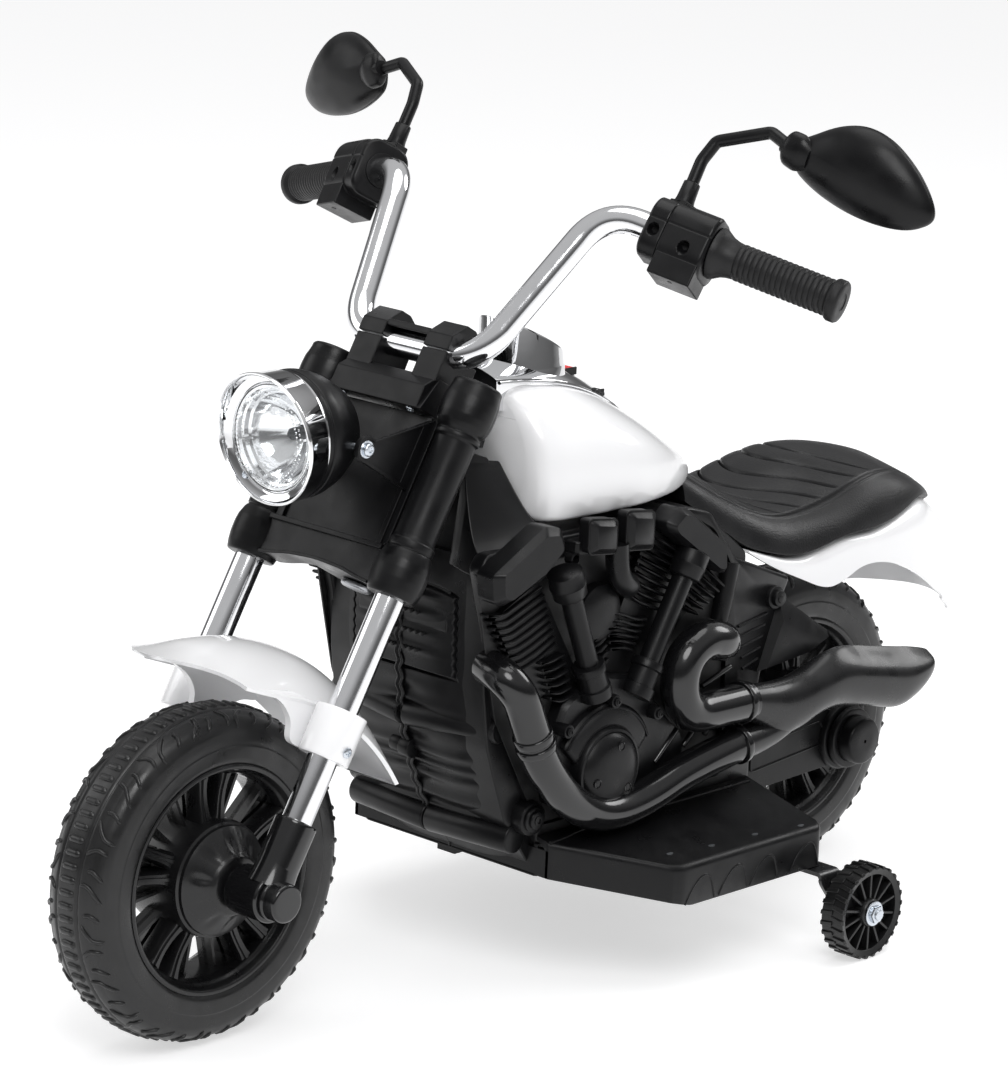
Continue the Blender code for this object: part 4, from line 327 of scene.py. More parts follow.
def makeFinish(name, look):
    # A slow noise moves the colour and roughness a little, a fine noise gives the surface its grain
    made = bpy.data.materials.new(name)
    made.use_nodes = True
    nodes, links = made.node_tree.nodes, made.node_tree.links
    shader = nodes["Principled BSDF"]
    colour = np.array(look["colour"])
    setInputs(shader, {"Metallic": look.get("metal", 0.0), "Coat Weight": look.get("coat", 0.0),
                       "Specular IOR Level": look.get("shine", 0.5), "Coat Roughness": 0.05})
    place = nodes.new("ShaderNodeTexCoord")
    stretch = nodes.new("ShaderNodeMapping")
    stretch.inputs["Scale"].default_value = look.get("stretch", (1.0, 1.0, 1.0))
    links.new(place.outputs["Object"], stretch.inputs["Vector"])
    slow = nodes.new("ShaderNodeTexNoise")
    setInputs(slow, {"Scale": look["mottle"], "Detail": 3.0})
    links.new(stretch.outputs["Vector"], slow.inputs["Vector"])
    tint = nodes.new("ShaderNodeMix")
    tint.data_type = "RGBA"
    setInputs(tint, {"A": (*(colour * (1 - look["tone"])), 1.0),
                     "B": (*np.minimum(colour * (1 + look["tone"]), 1.0), 1.0)})
    links.new(slow.outputs["Fac"], tint.inputs["Factor"])
    links.new(tint.outputs["Result"], shader.inputs["Base Color"])
    polish = nodes.new("ShaderNodeMapRange")
    setInputs(polish, {"From Min": 0.3, "From Max": 0.7,
                       "To Min": max(0.02, look["rough"] - look["spread"]),
                       "To Max": look["rough"] + look["spread"]})
    links.new(slow.outputs["Fac"], polish.inputs["Value"])
    links.new(polish.outputs["Result"], shader.inputs["Roughness"])
    fine = nodes.new("ShaderNodeTexNoise")
    setInputs(fine, {"Scale": look["grain"], "Detail": 2.0})
    links.new(stretch.outputs["Vector"], fine.inputs["Vector"])
    relief = nodes.new("ShaderNodeBump")
    setInputs(relief, {"Strength": 0.6, "Distance": look["depth"]})
    links.new(fine.outputs["Fac"], relief.inputs["Height"])
    links.new(relief.outputs["Normal"], shader.inputs["Normal"])
    return made


finish = {name: makeFinish(name, look) for name, look in finishes.items()}


def makeLeather():
    # Pebbled leatherette: cells a little over a millimetre across with soft creases between them
    look = {"colour": (0.0075, 0.0075, 0.0082), "rough": 0.4, "spread": 0.08, "mottle": 38.0, "tone": 0.22,
            "grain": 1900.0, "depth": 0.00005, "shine": 0.32}
    made = makeFinish("seatLeather", look)
    nodes, links = made.node_tree.nodes, made.node_tree.links
    shader = nodes["Principled BSDF"]
    place = next(node for node in nodes if node.type == "TEX_COORD")
    cells = nodes.new("ShaderNodeTexVoronoi")
    cells.feature = "SMOOTH_F1"
    setInputs(cells, {"Scale": 850.0, "Smoothness": 0.35})
    links.new(place.outputs["Object"], cells.inputs["Vector"])
    creases = nodes.new("ShaderNodeBump")
    creases.invert = True
    setInputs(creases, {"Strength": 0.55, "Distance": 0.00022})
    links.new(cells.outputs["Distance"], creases.inputs["Height"])
    links.new(next(node for node in nodes if node.type == "BUMP" and node != creases).outputs["Normal"],
              creases.inputs["Normal"])
    links.new(creases.outputs["Normal"], shader.inputs["Normal"])
    return made


def makeLens():
    # Clear moulded plastic, with the faint waves of a pressed lens
    look = {"colour": (0.97, 0.98, 0.985), "rough": 0.03, "spread": 0.01, "mottle": 60.0, "tone": 0.01,
            "grain": 160.0, "depth": 0.00006}
    made = makeFinish("clearLens", look)
    shader = made.node_tree.nodes["Principled BSDF"]
    setInputs(shader, {"Transmission Weight": 1.0, "IOR": 1.3})
    return made


finish["seatLeather"] = makeLeather()
finish["clearLens"] = makeLens()
print("finishes ready:", len(finish))


# Camera, floor and light
view = {
    "place": (2.0732, -2.24687, 1.05608),
    "turn": math.radians(43.13),
    "height": math.radians(14.35),
    "roll": math.radians(2.43),
    "lens": 159.2,
}


def makeCamera():
    # The camera's back, right and up directions from its turn, height and roll
    turn, height, roll = view["turn"], view["height"], view["roll"]
    back = np.array([math.sin(turn) * math.cos(height), -math.cos(turn) * math.cos(height), math.sin(height)])
    level = np.array([math.cos(turn), math.sin(turn), 0.0])
    upright = np.cross(back, level)
    right = math.cos(roll) * level + math.sin(roll) * upright
    up = -math.sin(roll) * level + math.cos(roll) * upright
    data = bpy.data.cameras.new("photoCamera")
    data.lens = view["lens"]
    data.sensor_width = data.sensor_height = 36.0
    data.sensor_fit = "AUTO"
    made = bpy.data.objects.new("photoCamera", data)
    matrix = np.eye(4)
    matrix[:3, 0], matrix[:3, 1], matrix[:3, 2], matrix[:3, 3] = right, up, back, view["place"]
    made.matrix_world = Matrix(matrix.tolist())
    bpy.context.scene.collection.objects.link(made)
    bpy.context.scene.camera = made


lights = {
    # name: (place, size, strength)
    "keyLight": ((1.6, -1.4, 2.3), 1.5, 36.0),
    "fillLight": ((-2.2, -1.5, 1.5), 1.8, 13.0),
    "topLight": ((0.1, 0.2, 2.6), 2.2, 26.0),
    "backLight": ((0.6, 2.4, 1.7), 1.2, 17.0),
}


studioPlan = {
    "floorHalf": 14.0,
    "floorColour": (0.62, 0.62, 0.625, 1.0),
    "floorGlow": 0.58,
    "floorRough": 0.75,
    "aim": (0.0, 0.0, 0.25),
    # height in the sky from straight down to straight up, brightness
    "sky": ((0.0, 0.7), (0.48, 0.62), (0.53, 0.18), (0.6, 0.26), (0.74, 0.9), (1.0, 1.0)),
    "skyStrength": 0.58,
}


def makeStudio():
    floor = bpy.data.meshes.new("studioFloor")
    half = studioPlan["floorHalf"]
    floor.from_pydata([(-half, -half, 0.0), (half, -half, 0.0), (half, half, 0.0), (-half, half, 0.0)], [],
                      [(0, 1, 2, 3)])
    made = bpy.data.objects.new("studioFloor", floor)
    paint = bpy.data.materials.new("floorPaint")
    paint.use_nodes = True
    shader = paint.node_tree.nodes["Principled BSDF"]
    setInputs(shader, {"Base Color": studioPlan["floorColour"], "Emission Color": (1.0, 1.0, 1.0, 1.0),
                       "Emission Strength": studioPlan["floorGlow"], "Roughness": studioPlan["floorRough"]})
    floor.materials.append(paint)
    bpy.context.scene.collection.objects.link(made)
    for name, (place, size, strength) in lights.items():
        lamp = bpy.data.lights.new(name, "AREA")
        lamp.shape = "DISK"
        lamp.size = size
        lamp.energy = strength
        holder = bpy.data.objects.new(name, lamp)
        direction = np.array(studioPlan["aim"]) - np.array(place)
        direction /= np.linalg.norm(direction)
        across = np.cross(-direction, [0.0, 0.0, 1.0])
        across /= np.linalg.norm(across)
        matrix = np.eye(4)
        matrix[:3, 0], matrix[:3, 1], matrix[:3, 2] = across, np.cross(-direction, across), -direction
        matrix[:3, 3] = place
        holder.matrix_world = Matrix(matrix.tolist())
        bpy.context.scene.collection.objects.link(holder)
    bpy.context.scene.view_settings.view_transform = "Standard"
    world = bpy.data.worlds.new("softStudio")
    bpy.context.scene.world = world
    world.use_nodes = True
    nodes, links = world.node_tree.nodes, world.node_tree.links
    sky = nodes["Background"]
    place = nodes.new("ShaderNodeTexCoord")
    split = nodes.new("ShaderNodeSeparateXYZ")
    links.new(place.outputs["Generated"], split.inputs["Vector"])
    ramp = nodes.new("ShaderNodeValToRGB")
    stops = studioPlan["sky"]
    bands = ramp.color_ramp.elements
    bands[0].position, bands[1].position = 0.0, 1.0
    bands[0].color = (stops[0][1],) * 3 + (1.0,)
    bands[1].color = (stops[-1][1],) * 3 + (1.0,)
    for position, level in stops[1:-1]:
        band = bands.new(position)
        band.color = (level, level, level * 1.01, 1.0)
    scaled = nodes.new("ShaderNodeMapRange")
    scaled.inputs["From Min"].default_value = -1.0
    links.new(split.outputs["Z"], scaled.inputs["Value"])
    links.new(scaled.outputs["Result"], ramp.inputs["Fac"])
    links.new(ramp.outputs["Color"], sky.inputs["Color"])
    sky.inputs["Strength"].default_value = studioPlan["skyStrength"]


makeCamera()
makeStudio()
print("camera and studio ready")


# Wheels: both alike, worked out round the origin and then carried to their axle
wheelPlan = {
    "crown": 0.107,  # smooth crown under the ribs
    "ribTop": 0.10895,
    "ribs": 80,
    "shoulderRepeats": 10,
    "ribHalfLength": 0.0066,
    "ribHalfWidth": 0.0023,
    "rimRadius": 0.0744,
    "spokePairs": 5,
    "spokeSplay": math.radians(8.5),
    "spokeWidth": 0.0078,
    "spokeInner": 0.036,
    "spokeOuter": 0.0668,
    "thinSplay": 0.2,
    "dimples": 10,
}


def tyreRadius(across):
    # Outer surface of the tyre: a flat-topped arch that falls away to the side walls
    return wheelPlan["crown"] - 0.003 * np.abs(across / 0.0165) ** 3.2


def tyreShape():
    side = [(0.0746, 0.0236), (0.0766, 0.0252), (0.08, 0.0257), (0.0862, 0.026), (0.0866, 0.0256),
            (0.09, 0.0254), (0.096, 0.0243), (0.1004, 0.0221), (0.103, 0.0192)]
    side = soften(side, 0.0016, 3)
    across = np.linspace(0.017, -0.017, 45)
    crown = np.stack([tyreRadius(across), across], 1)
    ring = np.abs(np.abs(across) - 0.0093)
    crown[:, 0] -= 0.0008 * np.exp(-(ring / 0.0008) ** 2)
    profile = np.concatenate([side, crown, side[::-1] * [1, -1], [(0.0746, -0.0215), (0.0746, 0.0215)]])
    return lathe(profile, 192, closed=True)


def ribShapes():
    # A low bar with rounded ends: half-sine height along it, round shoulders across it
    length = np.linspace(-1.0, 1.0, 9)
    section = np.linspace(0.0, math.pi, 7)
    taper = np.sqrt(np.clip(1 - np.abs(length) ** 6, 0, 1))[:, None]
    width = wheelPlan["ribHalfWidth"] * np.cos(section)[None, :] * (0.25 + 0.75 * taper)
    across = np.broadcast_to((length * wheelPlan["ribHalfLength"])[:, None], width.shape)
    lift = np.sqrt(np.clip(np.sin(section), 0, 1))[None, :] * taper
    knob = 0.00028 * np.exp(-((length - 0.86) / 0.1) ** 2)[:, None]
    base = tyreRadius(across) - 0.0006
    radius = base + (wheelPlan["ribTop"] - 0.0003 - base) * lift + knob * lift
    grid = np.stack([across, width, radius], -1)
    return spread(skin(grid, roundClosed=True), wheelPlan["ribs"], 0.0)


def shoulderShapes():
    # Raised curved bars on the shoulder: a thin tube that follows the tyre, half sunk in it
    strokes = [
        # (start across, end across, start turn, end turn, bow), turns as shares of one repeat
        (0.0108, 0.0226, 0.02, 0.06, 0.05), (0.012, 0.0236, 0.36, 0.18, -0.05),
        (0.014, 0.0226, 0.45, 0.4, 0.03), (0.0105, 0.0232, 0.74, 0.58, 0.06),
        (0.014, 0.0228, 0.88, 0.8, 0.03),
    ]
    repeats = wheelPlan["shoulderRepeats"]
    repeat = 2 * math.pi / repeats
    shapes = []
    for startAcross, endAcross, startTurn, endTurn, bow in strokes:
        share = np.linspace(0.0, 1.0, 11)
        across = startAcross + (endAcross - startAcross) * share
        turn = (startTurn + (endTurn - startTurn) * share + bow * np.sin(math.pi * share)) * repeat
        wallAcross = np.array([0.017, 0.019, 0.0221, 0.0243, 0.0254])
        wallRadius = np.array([0.1037, 0.1031, 0.1004, 0.096, 0.09])
        radius = np.where(across < 0.017, tyreRadius(across), np.interp(across, wallAcross, wallRadius))
        path = np.stack([across, radius * np.sin(turn), radius * np.cos(turn)], -1)
        thickness = 0.0014 * np.clip(np.sin(math.pi * np.clip(share * 0.94 + 0.03, 0, 1)) * 3.0, 0.15, 1.0)
        bar = tubeAlong(path, thickness, 8, up=(0.3, 0.0, 1.0))
        shapes += spread(bar, repeats, 0.0) + spread(mirrored(bar), repeats, 0.25)
    return shapes


def rimShape():
    rim = wheelPlan["rimRadius"]
    profile = [(rim, 0.024), (rim - 0.0016, 0.0246), (rim - 0.0034, 0.024), (rim - 0.0052, 0.0196),
               (rim - 0.007, 0.0172), (rim - 0.0086, 0.012), (rim - 0.0092, 0.0)]
    profile = soften(profile, 0.0008, 3)
    whole = np.concatenate([profile, profile[::-1][1:] * [1, -1]])
    return [lathe(whole, 128, closed=True)]


def hubWave(angle, radius, along):
    # Long shallow dimples, one every tenth of a turn, pressed into the cone
    phase = np.mod(angle * wheelPlan["dimples"] / (2 * math.pi), 1.0) - 0.5
    middle = np.exp(-((np.abs(along) - 0.0325) / 0.0034) ** 2)
    return -0.0015 * np.exp(-(phase / 0.17) ** 2) * middle


def hubShape():
    half = [(0.0055, 0.039), (0.0178, 0.039), (0.0186, 0.0386), (0.0196, 0.0378)]
    cone = np.stack([np.linspace(0.0204, 0.034, 16), np.linspace(0.0368, 0.0268, 16)], 1)
    rest = [(0.0352, 0.0258), (0.0356, 0.0236), (0.0372, 0.0226), (0.038, 0.019), (0.038, 0.002)]
    half = np.concatenate([half, cone, rest])
    whole = np.concatenate([half, half[::-1] * [1, -1]])
    return lathe(whole, 160, closed=True, wave=hubWave)


def spokeShapes():
    # Each spoke: a bar that widens towards hub and rim, with a raised ridge along its middle
    shapes = []
    share = np.linspace(0.0, 1.0, 9)
    inner, pairs = wheelPlan["spokeInner"], wheelPlan["spokePairs"]
    radius = inner + (wheelPlan["spokeOuter"] - inner) * share
    widen = 1.0 + 0.55 * np.exp(-share / 0.1) + 0.35 * np.exp(-(1 - share) / 0.1)
    half = wheelPlan["spokeWidth"] / 2 * widen
    face = 0.0176 - 0.0022 * np.sin(math.pi * share)
    section = np.array([(-1.0, 0.1), (-1.0, 0.78), (-0.72, 0.93), (-0.3, 0.93), (-0.22, 1.0), (0.22, 1.0),
                        (0.3, 0.93), (0.72, 0.93), (1.0, 0.78), (1.0, 0.1)])
    grid = np.stack([
        face[:, None] * section[None, :, 1],
        half[:, None] * section[None, :, 0],
        np.broadcast_to(radius[:, None], (9, len(section))),
    ], -1)
    bar = skin(grid)
    thin = block((-0.0016, -0.001, inner), (0.007, 0.001, 0.0672))
    for splay in (-wheelPlan["spokeSplay"], wheelPlan["spokeSplay"]):
        shapes += spread(bar, pairs, splay) + spread(mirrored(bar), pairs, splay)
    for splay in (-wheelPlan["thinSplay"], wheelPlan["thinSplay"]):
        turn = math.pi / pairs + splay
        shapes += spread(thin, pairs, turn) + spread(mirrored(thin), pairs, turn)
    return shapes


def makeWheel(word, axle):
    def toAxle(points):
        return bike(points + np.array(axle))
    body = word + "_wheel"
    tread = allMoved([tyreShape()] + ribShapes() + shoulderShapes(), toAxle)
    piece(word + "TyreTread", body, "tyreBlack", tread, [word + "_tyre"], sharp=50.0)
    rim = allMoved(rimShape() + [hubShape()] + spokeShapes(), toAxle)
    piece(word + "WheelRim", body, "rimBlack", rim, [word + "_rim"], sharp=38.0)


makeWheel("front", (0.0, 0.0, bikePlan["wheelRadius"]))
makeWheel("rear", (0.0, bikePlan["wheelBase"], bikePlan["wheelRadius"]))
print("wheels ready")


# Fork legs, axle and caps; the fork's own frame counts up the leg from the axle
forkPlan = {
    "legX": 0.0635,
    "tubeRadius": 0.0098,
    "tubeTop": 0.342,
    "socketTop": 0.05,
    "bossInner": 0.0415,
    "bossOuter": 0.071,
}


def phillips(place, direction, radius, height):
    # A domed screw head with a cross sunk in it: the dome's height drops inside two crossed bands
    count = 33
    last = count - 1
    across = np.linspace(-1.0, 1.0, count)
    u, v = np.meshgrid(across, across, indexing="ij")
    reach = np.maximum(np.abs(u), np.abs(v)) + 1e-9
    length = np.hypot(u, v) + 1e-9
    u, v = u * reach / length, v * reach / length
    dome = np.sqrt(np.clip(1 - 0.8 * (u * u + v * v), 0, 1))
    slot = np.minimum(np.where(np.abs(v) < 0.62, np.abs(u), 1.0), np.where(np.abs(u) < 0.62, np.abs(v), 1.0))
    lift = dome - 0.55 * np.clip((0.17 - slot) / 0.06, 0, 1)
    direction = np.asarray(direction, float) / np.linalg.norm(direction)
    helper = np.array([0.0, 0.0, 1.0]) if abs(direction[2]) < 0.9 else np.array([1.0, 0.0, 0.0])
    side = np.cross(direction, helper)
    side /= np.linalg.norm(side)
    other = np.cross(direction, side)
    top = (np.asarray(place) + side * (u * radius)[..., None] + other * (v * radius)[..., None]
           + direction * (lift * height)[..., None])
    points, faces = skin(top, roundClosed=False, ends=False)
    back = np.arange(last - 1, -1, -1)
    rim = np.concatenate([np.arange(count) * count, last * count + np.arange(1, count), back * count + last,
                          back[:-1]])
    base = points[rim] - direction * (height * 0.5)
    start = len(points)
    around = np.arange(len(rim))
    after = np.roll(around, -1)
    wall = np.stack([rim, rim[after], start + after, start + around], 1).tolist()
    return np.concatenate([points, base]), faces + wall + [list(range(start, start + len(rim)))]


def makeForkLegs():
    legX = forkPlan["legX"]
    tube = soften([(0.0082, 0.019), (forkPlan["tubeRadius"], 0.019),
                   (forkPlan["tubeRadius"], forkPlan["tubeTop"]), (0.0082, forkPlan["tubeTop"])], 0.0005, 2,
                  closed=True)
    socket = soften([(0.0, 0.013), (0.0132, 0.013), (0.0137, 0.02), (0.0138, 0.0486),
                     (0.0132, forkPlan["socketTop"]), (0.0103, forkPlan["socketTop"]), (0.0101, 0.048),
                     (0.0, 0.048)], 0.0008, 3)
    boss = soften([(0.0, forkPlan["bossInner"]), (0.0142, forkPlan["bossInner"]), (0.0158, 0.0432),
                   (0.0158, 0.0696), (0.015, forkPlan["bossOuter"]), (0.0, forkPlan["bossOuter"])], 0.0006, 3)
    cap = soften([(0.0, 0.0712), (0.0134, 0.0712), (0.0134, 0.0736), (0.0127, 0.074), (0.0123, 0.0832),
                  (0.0108, 0.0842), (0.0, 0.0843)], 0.0012, 4)
    share = np.linspace(0.0, 1.0, 14)[:, None]
    angle = fullTurn(48)[None, :]
    wide = 0.0137 + (1 - share) ** 2 * 0.0018  # the socket flares where it meets the boss
    flare = np.stack([legX + wide * np.cos(angle) * 0.98, wide * np.sin(angle),
                      0.006 + 0.02 * share + 0 * angle], -1)
    for side, word in sides:
        chrome = moved(lathe(tube, 64, "z", (side * legX, 0.0, 0.0), closed=True), fork)
        piece("forkTube_" + word, "steering", "chromeTube", chrome, ["fork_tube_" + word], sharp=50.0)
        ends = [lathe(socket, 64, "z", (legX, 0.0, 0.0)), lathe(boss, 64, "x"), skin(flare)]
        ends = allMoved(ends, fork, side)
        piece("forkEnd_" + word, "steering", "glossBlack", ends, ["fork_end_" + word])
        capShape = moved(lathe(cap, 56, "x"), fork, side)
        piece("frontAxleCap_" + word, "steering", "glossBlack", capShape, ["front_axle_cap_" + word])
    axle = pin(fork([-0.069, 0, 0]), fork([0.069, 0, 0]), 0.005, 32)
    piece("frontAxleRod", "steering", "steel", axle, ["front_axle"])


makeForkLegs()


# Front mudguard: the CAD sheet's own formula on a fine grid, with a clamp and web on each side
guardPlan = {"crown": 0.149, "edge": 0.122, "halfWidth": 0.047, "wall": 0.0025, "clampRadius": 0.0168}


def guardSheet(across, degrees, lift):
    # Distance from the axle: the crown's height, falling to the edge with the 2.4th power of the place across
    crown = guardPlan["crown"] + 0.009 * np.maximum(0.0, (86.0 - degrees) / 14.0) ** 2
    front = guardPlan["edge"] + 0.009 * ((108.0 - degrees) / 20.0) ** 2
    rear = guardPlan["edge"] + 0.0147 * ((degrees - 108.0) / 52.0) ** 2
    edge = np.where(degrees < 108.0, front, rear)
    reach = edge + (crown - edge) * (1.0 - np.abs(across) ** 2.4) - lift
    angle = np.radians(degrees)
    y, z = -reach * np.cos(angle), reach * np.sin(angle)
    return bike(np.stack([(guardPlan["halfWidth"] - 0.4 * lift) * across, y, z + bikePlan["wheelRadius"]],
                         -1))


def makeMudguard():
    across = np.sin(np.linspace(-1.0, 1.0, 61) * math.pi / 2)[None, :]
    share = np.linspace(0.0, 1.0, 81)[:, None]
    front, rear = 72.0 + 16.0 * across ** 2, 166.0 - 4.0 * across ** 2
    degrees = front + (rear - front) * share
    outer = guardSheet(across + 0 * share, degrees, 0.0)
    inner = guardSheet(across + 0 * share, degrees, guardPlan["wall"])
    grid = np.concatenate([outer, inner[:, ::-1]], 1)
    shapes = [skin(grid, roundClosed=True)]
    ring = soften([(0.0103, 0.092), (guardPlan["clampRadius"], 0.092), (guardPlan["clampRadius"], 0.124),
                   (0.0103, 0.124)], 0.0012, 3, closed=True)
    web = [(-0.054, 0.115), (-0.033, 0.113), (-0.0205, 0.106), (-0.016, 0.0935), (0.0095, 0.0935),
           (0.012, 0.106), (0.02, 0.114), (0.036, 0.1185), (0.03, 0.1235), (0.0, 0.124), (-0.03, 0.1225)]
    web = soften(web, 0.006, 4, closed=True)
    ear = soften([(-0.0048, 0.0955), (0.0048, 0.0955), (0.0048, 0.1045), (-0.0048, 0.1045)], 0.0042, 5,
                 closed=True)
    for side in (1, -1):
        clamp = lathe(ring, 64, "z", (forkPlan["legX"], 0.0, 0.0), closed=True)
        shapes += [moved(clamp, fork, side), moved(slab(web, 0.0412, 0.0462), fork, side)]
        shapes.append(moved(slab(ear, 0.075, 0.0798), fork, side))
    piece("mudguardSheet", "steering", "whitePlastic", shapes, ["front_mudguard"], sharp=40.0, bevel=0.0007)
    for side, word in sides:
        head = phillips(fork([side * 0.0806, 0.0, 0.1]), (side, 0, 0), 0.0034, 0.0016)
        piece("clampScrew_" + word, "steering", "zinc", head, ["mudguard_screw_" + word])


makeMudguard()
print("fork legs and mudguard ready")


# Fork shroud: two sleeves, the crown between them, the flat panel and the lamp's arms
shroudPlan = {"legX": 0.0635, "seamBack": 0.007, "bolt": (-0.0539, 0.2766), "boltReach": 0.047}


def sleeveWave(angle, radius, along):
    # A thin seam down both sides where the front and rear halves meet
    back = radius * np.sin(angle)
    near = np.exp(-((back - shroudPlan["seamBack"]) / 0.00035) ** 2)
    return -0.00035 * near * (radius > 0.0112)


def makeShroud():
    profile = [(0.0104, 0.2006), (0.015, 0.2006), (0.016, 0.2012), (0.0172, 0.206), (0.018, 0.212),
               (0.0181, 0.219), (0.0176, 0.224), (0.016, 0.229), (0.015, 0.2312), (0.0142, 0.2316),
               (0.0142, 0.2326), (0.0148, 0.233), (0.0148, 0.2372), (0.014, 0.2378), (0.0137, 0.2392),
               (0.0134, 0.24), (0.0134, 0.307), (0.014, 0.3078), (0.0148, 0.3084), (0.0148, 0.3112),
               (0.0142, 0.3118), (0.0142, 0.3128), (0.0158, 0.3146), (0.0172, 0.318), (0.0181, 0.323),
               (0.0182, 0.329), (0.0178, 0.335), (0.0168, 0.339), (0.0162, 0.342), (0.0162, 0.344),
               (0.015, 0.3456), (0.01, 0.3462), (0.0, 0.3464)]
    profile = soften(profile, 0.0007, 2)
    arch = [(-0.05, 0.2035), (-0.038, 0.205), (-0.025, 0.208), (0.0, 0.2096), (0.025, 0.208), (0.038, 0.205),
            (0.05, 0.2035), (0.05, 0.2298), (-0.05, 0.2298)]
    arch = soften(arch, 0.004, 3, closed=True)
    lip = np.array([(-0.049, 0.2035), (-0.038, 0.2046), (-0.025, 0.2074), (0.0, 0.209), (0.025, 0.2074),
                    (0.038, 0.2046), (0.049, 0.2035)])
    lip = soften(lip, 0.008, 3)
    rim = np.concatenate([lip, (lip + [0.0, 0.0022])[::-1]])
    shapes = [moved(lathe(profile, 96, "z", (shroudPlan["legX"], 0.0, 0.0), wave=sleeveWave), fork)]
    shapes.append(mirrored(shapes[0]))
    shapes.append(moved(plate(arch, -0.0092, 0.01), fork))
    shapes.append(moved(plate(rim, -0.0108, -0.0084), fork))
    shapes.append(moved(block((-0.05, -0.0118, 0.2268), (0.05, 0.0098, 0.23)), fork))
    shapes.append(moved(block((-0.05, -0.0074, 0.2296), (0.05, -0.0046, 0.3166)), fork))
    for offset in (-0.044, 0.044):
        shapes.append(moved(block((offset - 0.002, -0.0094, 0.2296), (offset + 0.002, -0.007, 0.316)), fork))
    shapes.append(moved(block((-0.0196, 0.0098, 0.2094), (0.0196, 0.0538, 0.2298)), fork))
    piece("forkShroud", "steering", "satinBlack", shapes, ["fork_cover_front", "fork_cover_rear"],
          sharp=40.0, bevel=0.0005)
    (back, up), reach = shroudPlan["bolt"], shroudPlan["boltReach"]
    nose = np.radians(np.linspace(60.0, 285.0, 16))
    tip = np.stack([back + 0.0085 * np.cos(nose), up + 0.0085 * np.sin(nose)], 1)
    outline = np.concatenate([[(-0.0066, 0.2673), (-0.0066, 0.316)], tip])
    middle = outline.mean(0)
    inner = middle + (outline - middle) * [0.8, 0.78]
    arms = []
    for side in (1, -1):
        arms += [moved(slab(outline, 0.0441, 0.047), fork, side)]
        edge = np.concatenate([np.stack([np.insert(outline, 0, 0.0468, 1), np.insert(outline, 0, 0.048, 1)]),
                               np.stack([np.insert(inner, 0, 0.048, 1), np.insert(inner, 0, 0.0468, 1)])])
        arms.append(moved(skin(edge, alongClosed=True, ends=False), fork, side))
    piece("lampArms", "steering", "satinBlack", arms, sharp=35.0, bevel=0.0004)
    bolt = []
    for side in (1, -1):
        washer = lathe([(0.0, 0.0466), (0.0056, 0.0466), (0.0058, 0.0474), (0.0054, 0.0478), (0.0, 0.0478)],
                       40, "x", (0.0, back, up))
        head = lathe(soften([(0.0, 0.0476), (0.0042, 0.0476), (0.0042, 0.0496), (0.0034, 0.0506),
                             (0.0016, 0.0508), (0.0014, 0.05), (0.0, 0.05)], 0.0004, 2), 40, "x",
                     (0.0, back, up))
        bolt += [moved(washer, fork, side), moved(head, fork, side)]
    bolt.append(pin(fork([-reach, back, up]), fork([reach, back, up]), 0.0022, 20))
    piece("lampBolt", "steering", "zinc", bolt, ["headlight_bolt"])
    stem = soften([(0.0, 0.2052), (0.0092, 0.2052), (0.0104, 0.2062), (0.0104, 0.2086), (0.006, 0.209),
                   (0.006, 0.337), (0.0, 0.3375)], 0.0006, 2)
    piece("steeringStem", "steering", "steel", moved(lathe(stem, 40, "z", (0.0, 0.035, 0.0)), fork),
          ["steering_column"])


makeShroud()
print("fork shroud ready")


# Headlamp: level with the ground, distances counted back from the axle line
lampPlan = {"height": 0.38, "radius": 0.0425, "front": 0.0476, "rake": math.radians(6.8),
            "lensRadius": 0.0333, "lensFace": 0.053, "dome": 0.0052,
            "dotRings": (0.0268, 0.0292), "dots": 60, "dotRadius": 0.00085, "screwReach": 0.0348,
            "screwTurns": (38, 218)}


def lampTurn(profile, steps=128, closed=False, wave=None):
    return moved(lathe(profile, steps, "y", (0.0, 0.0, lampPlan["height"]), closed=closed, wave=wave), bike)


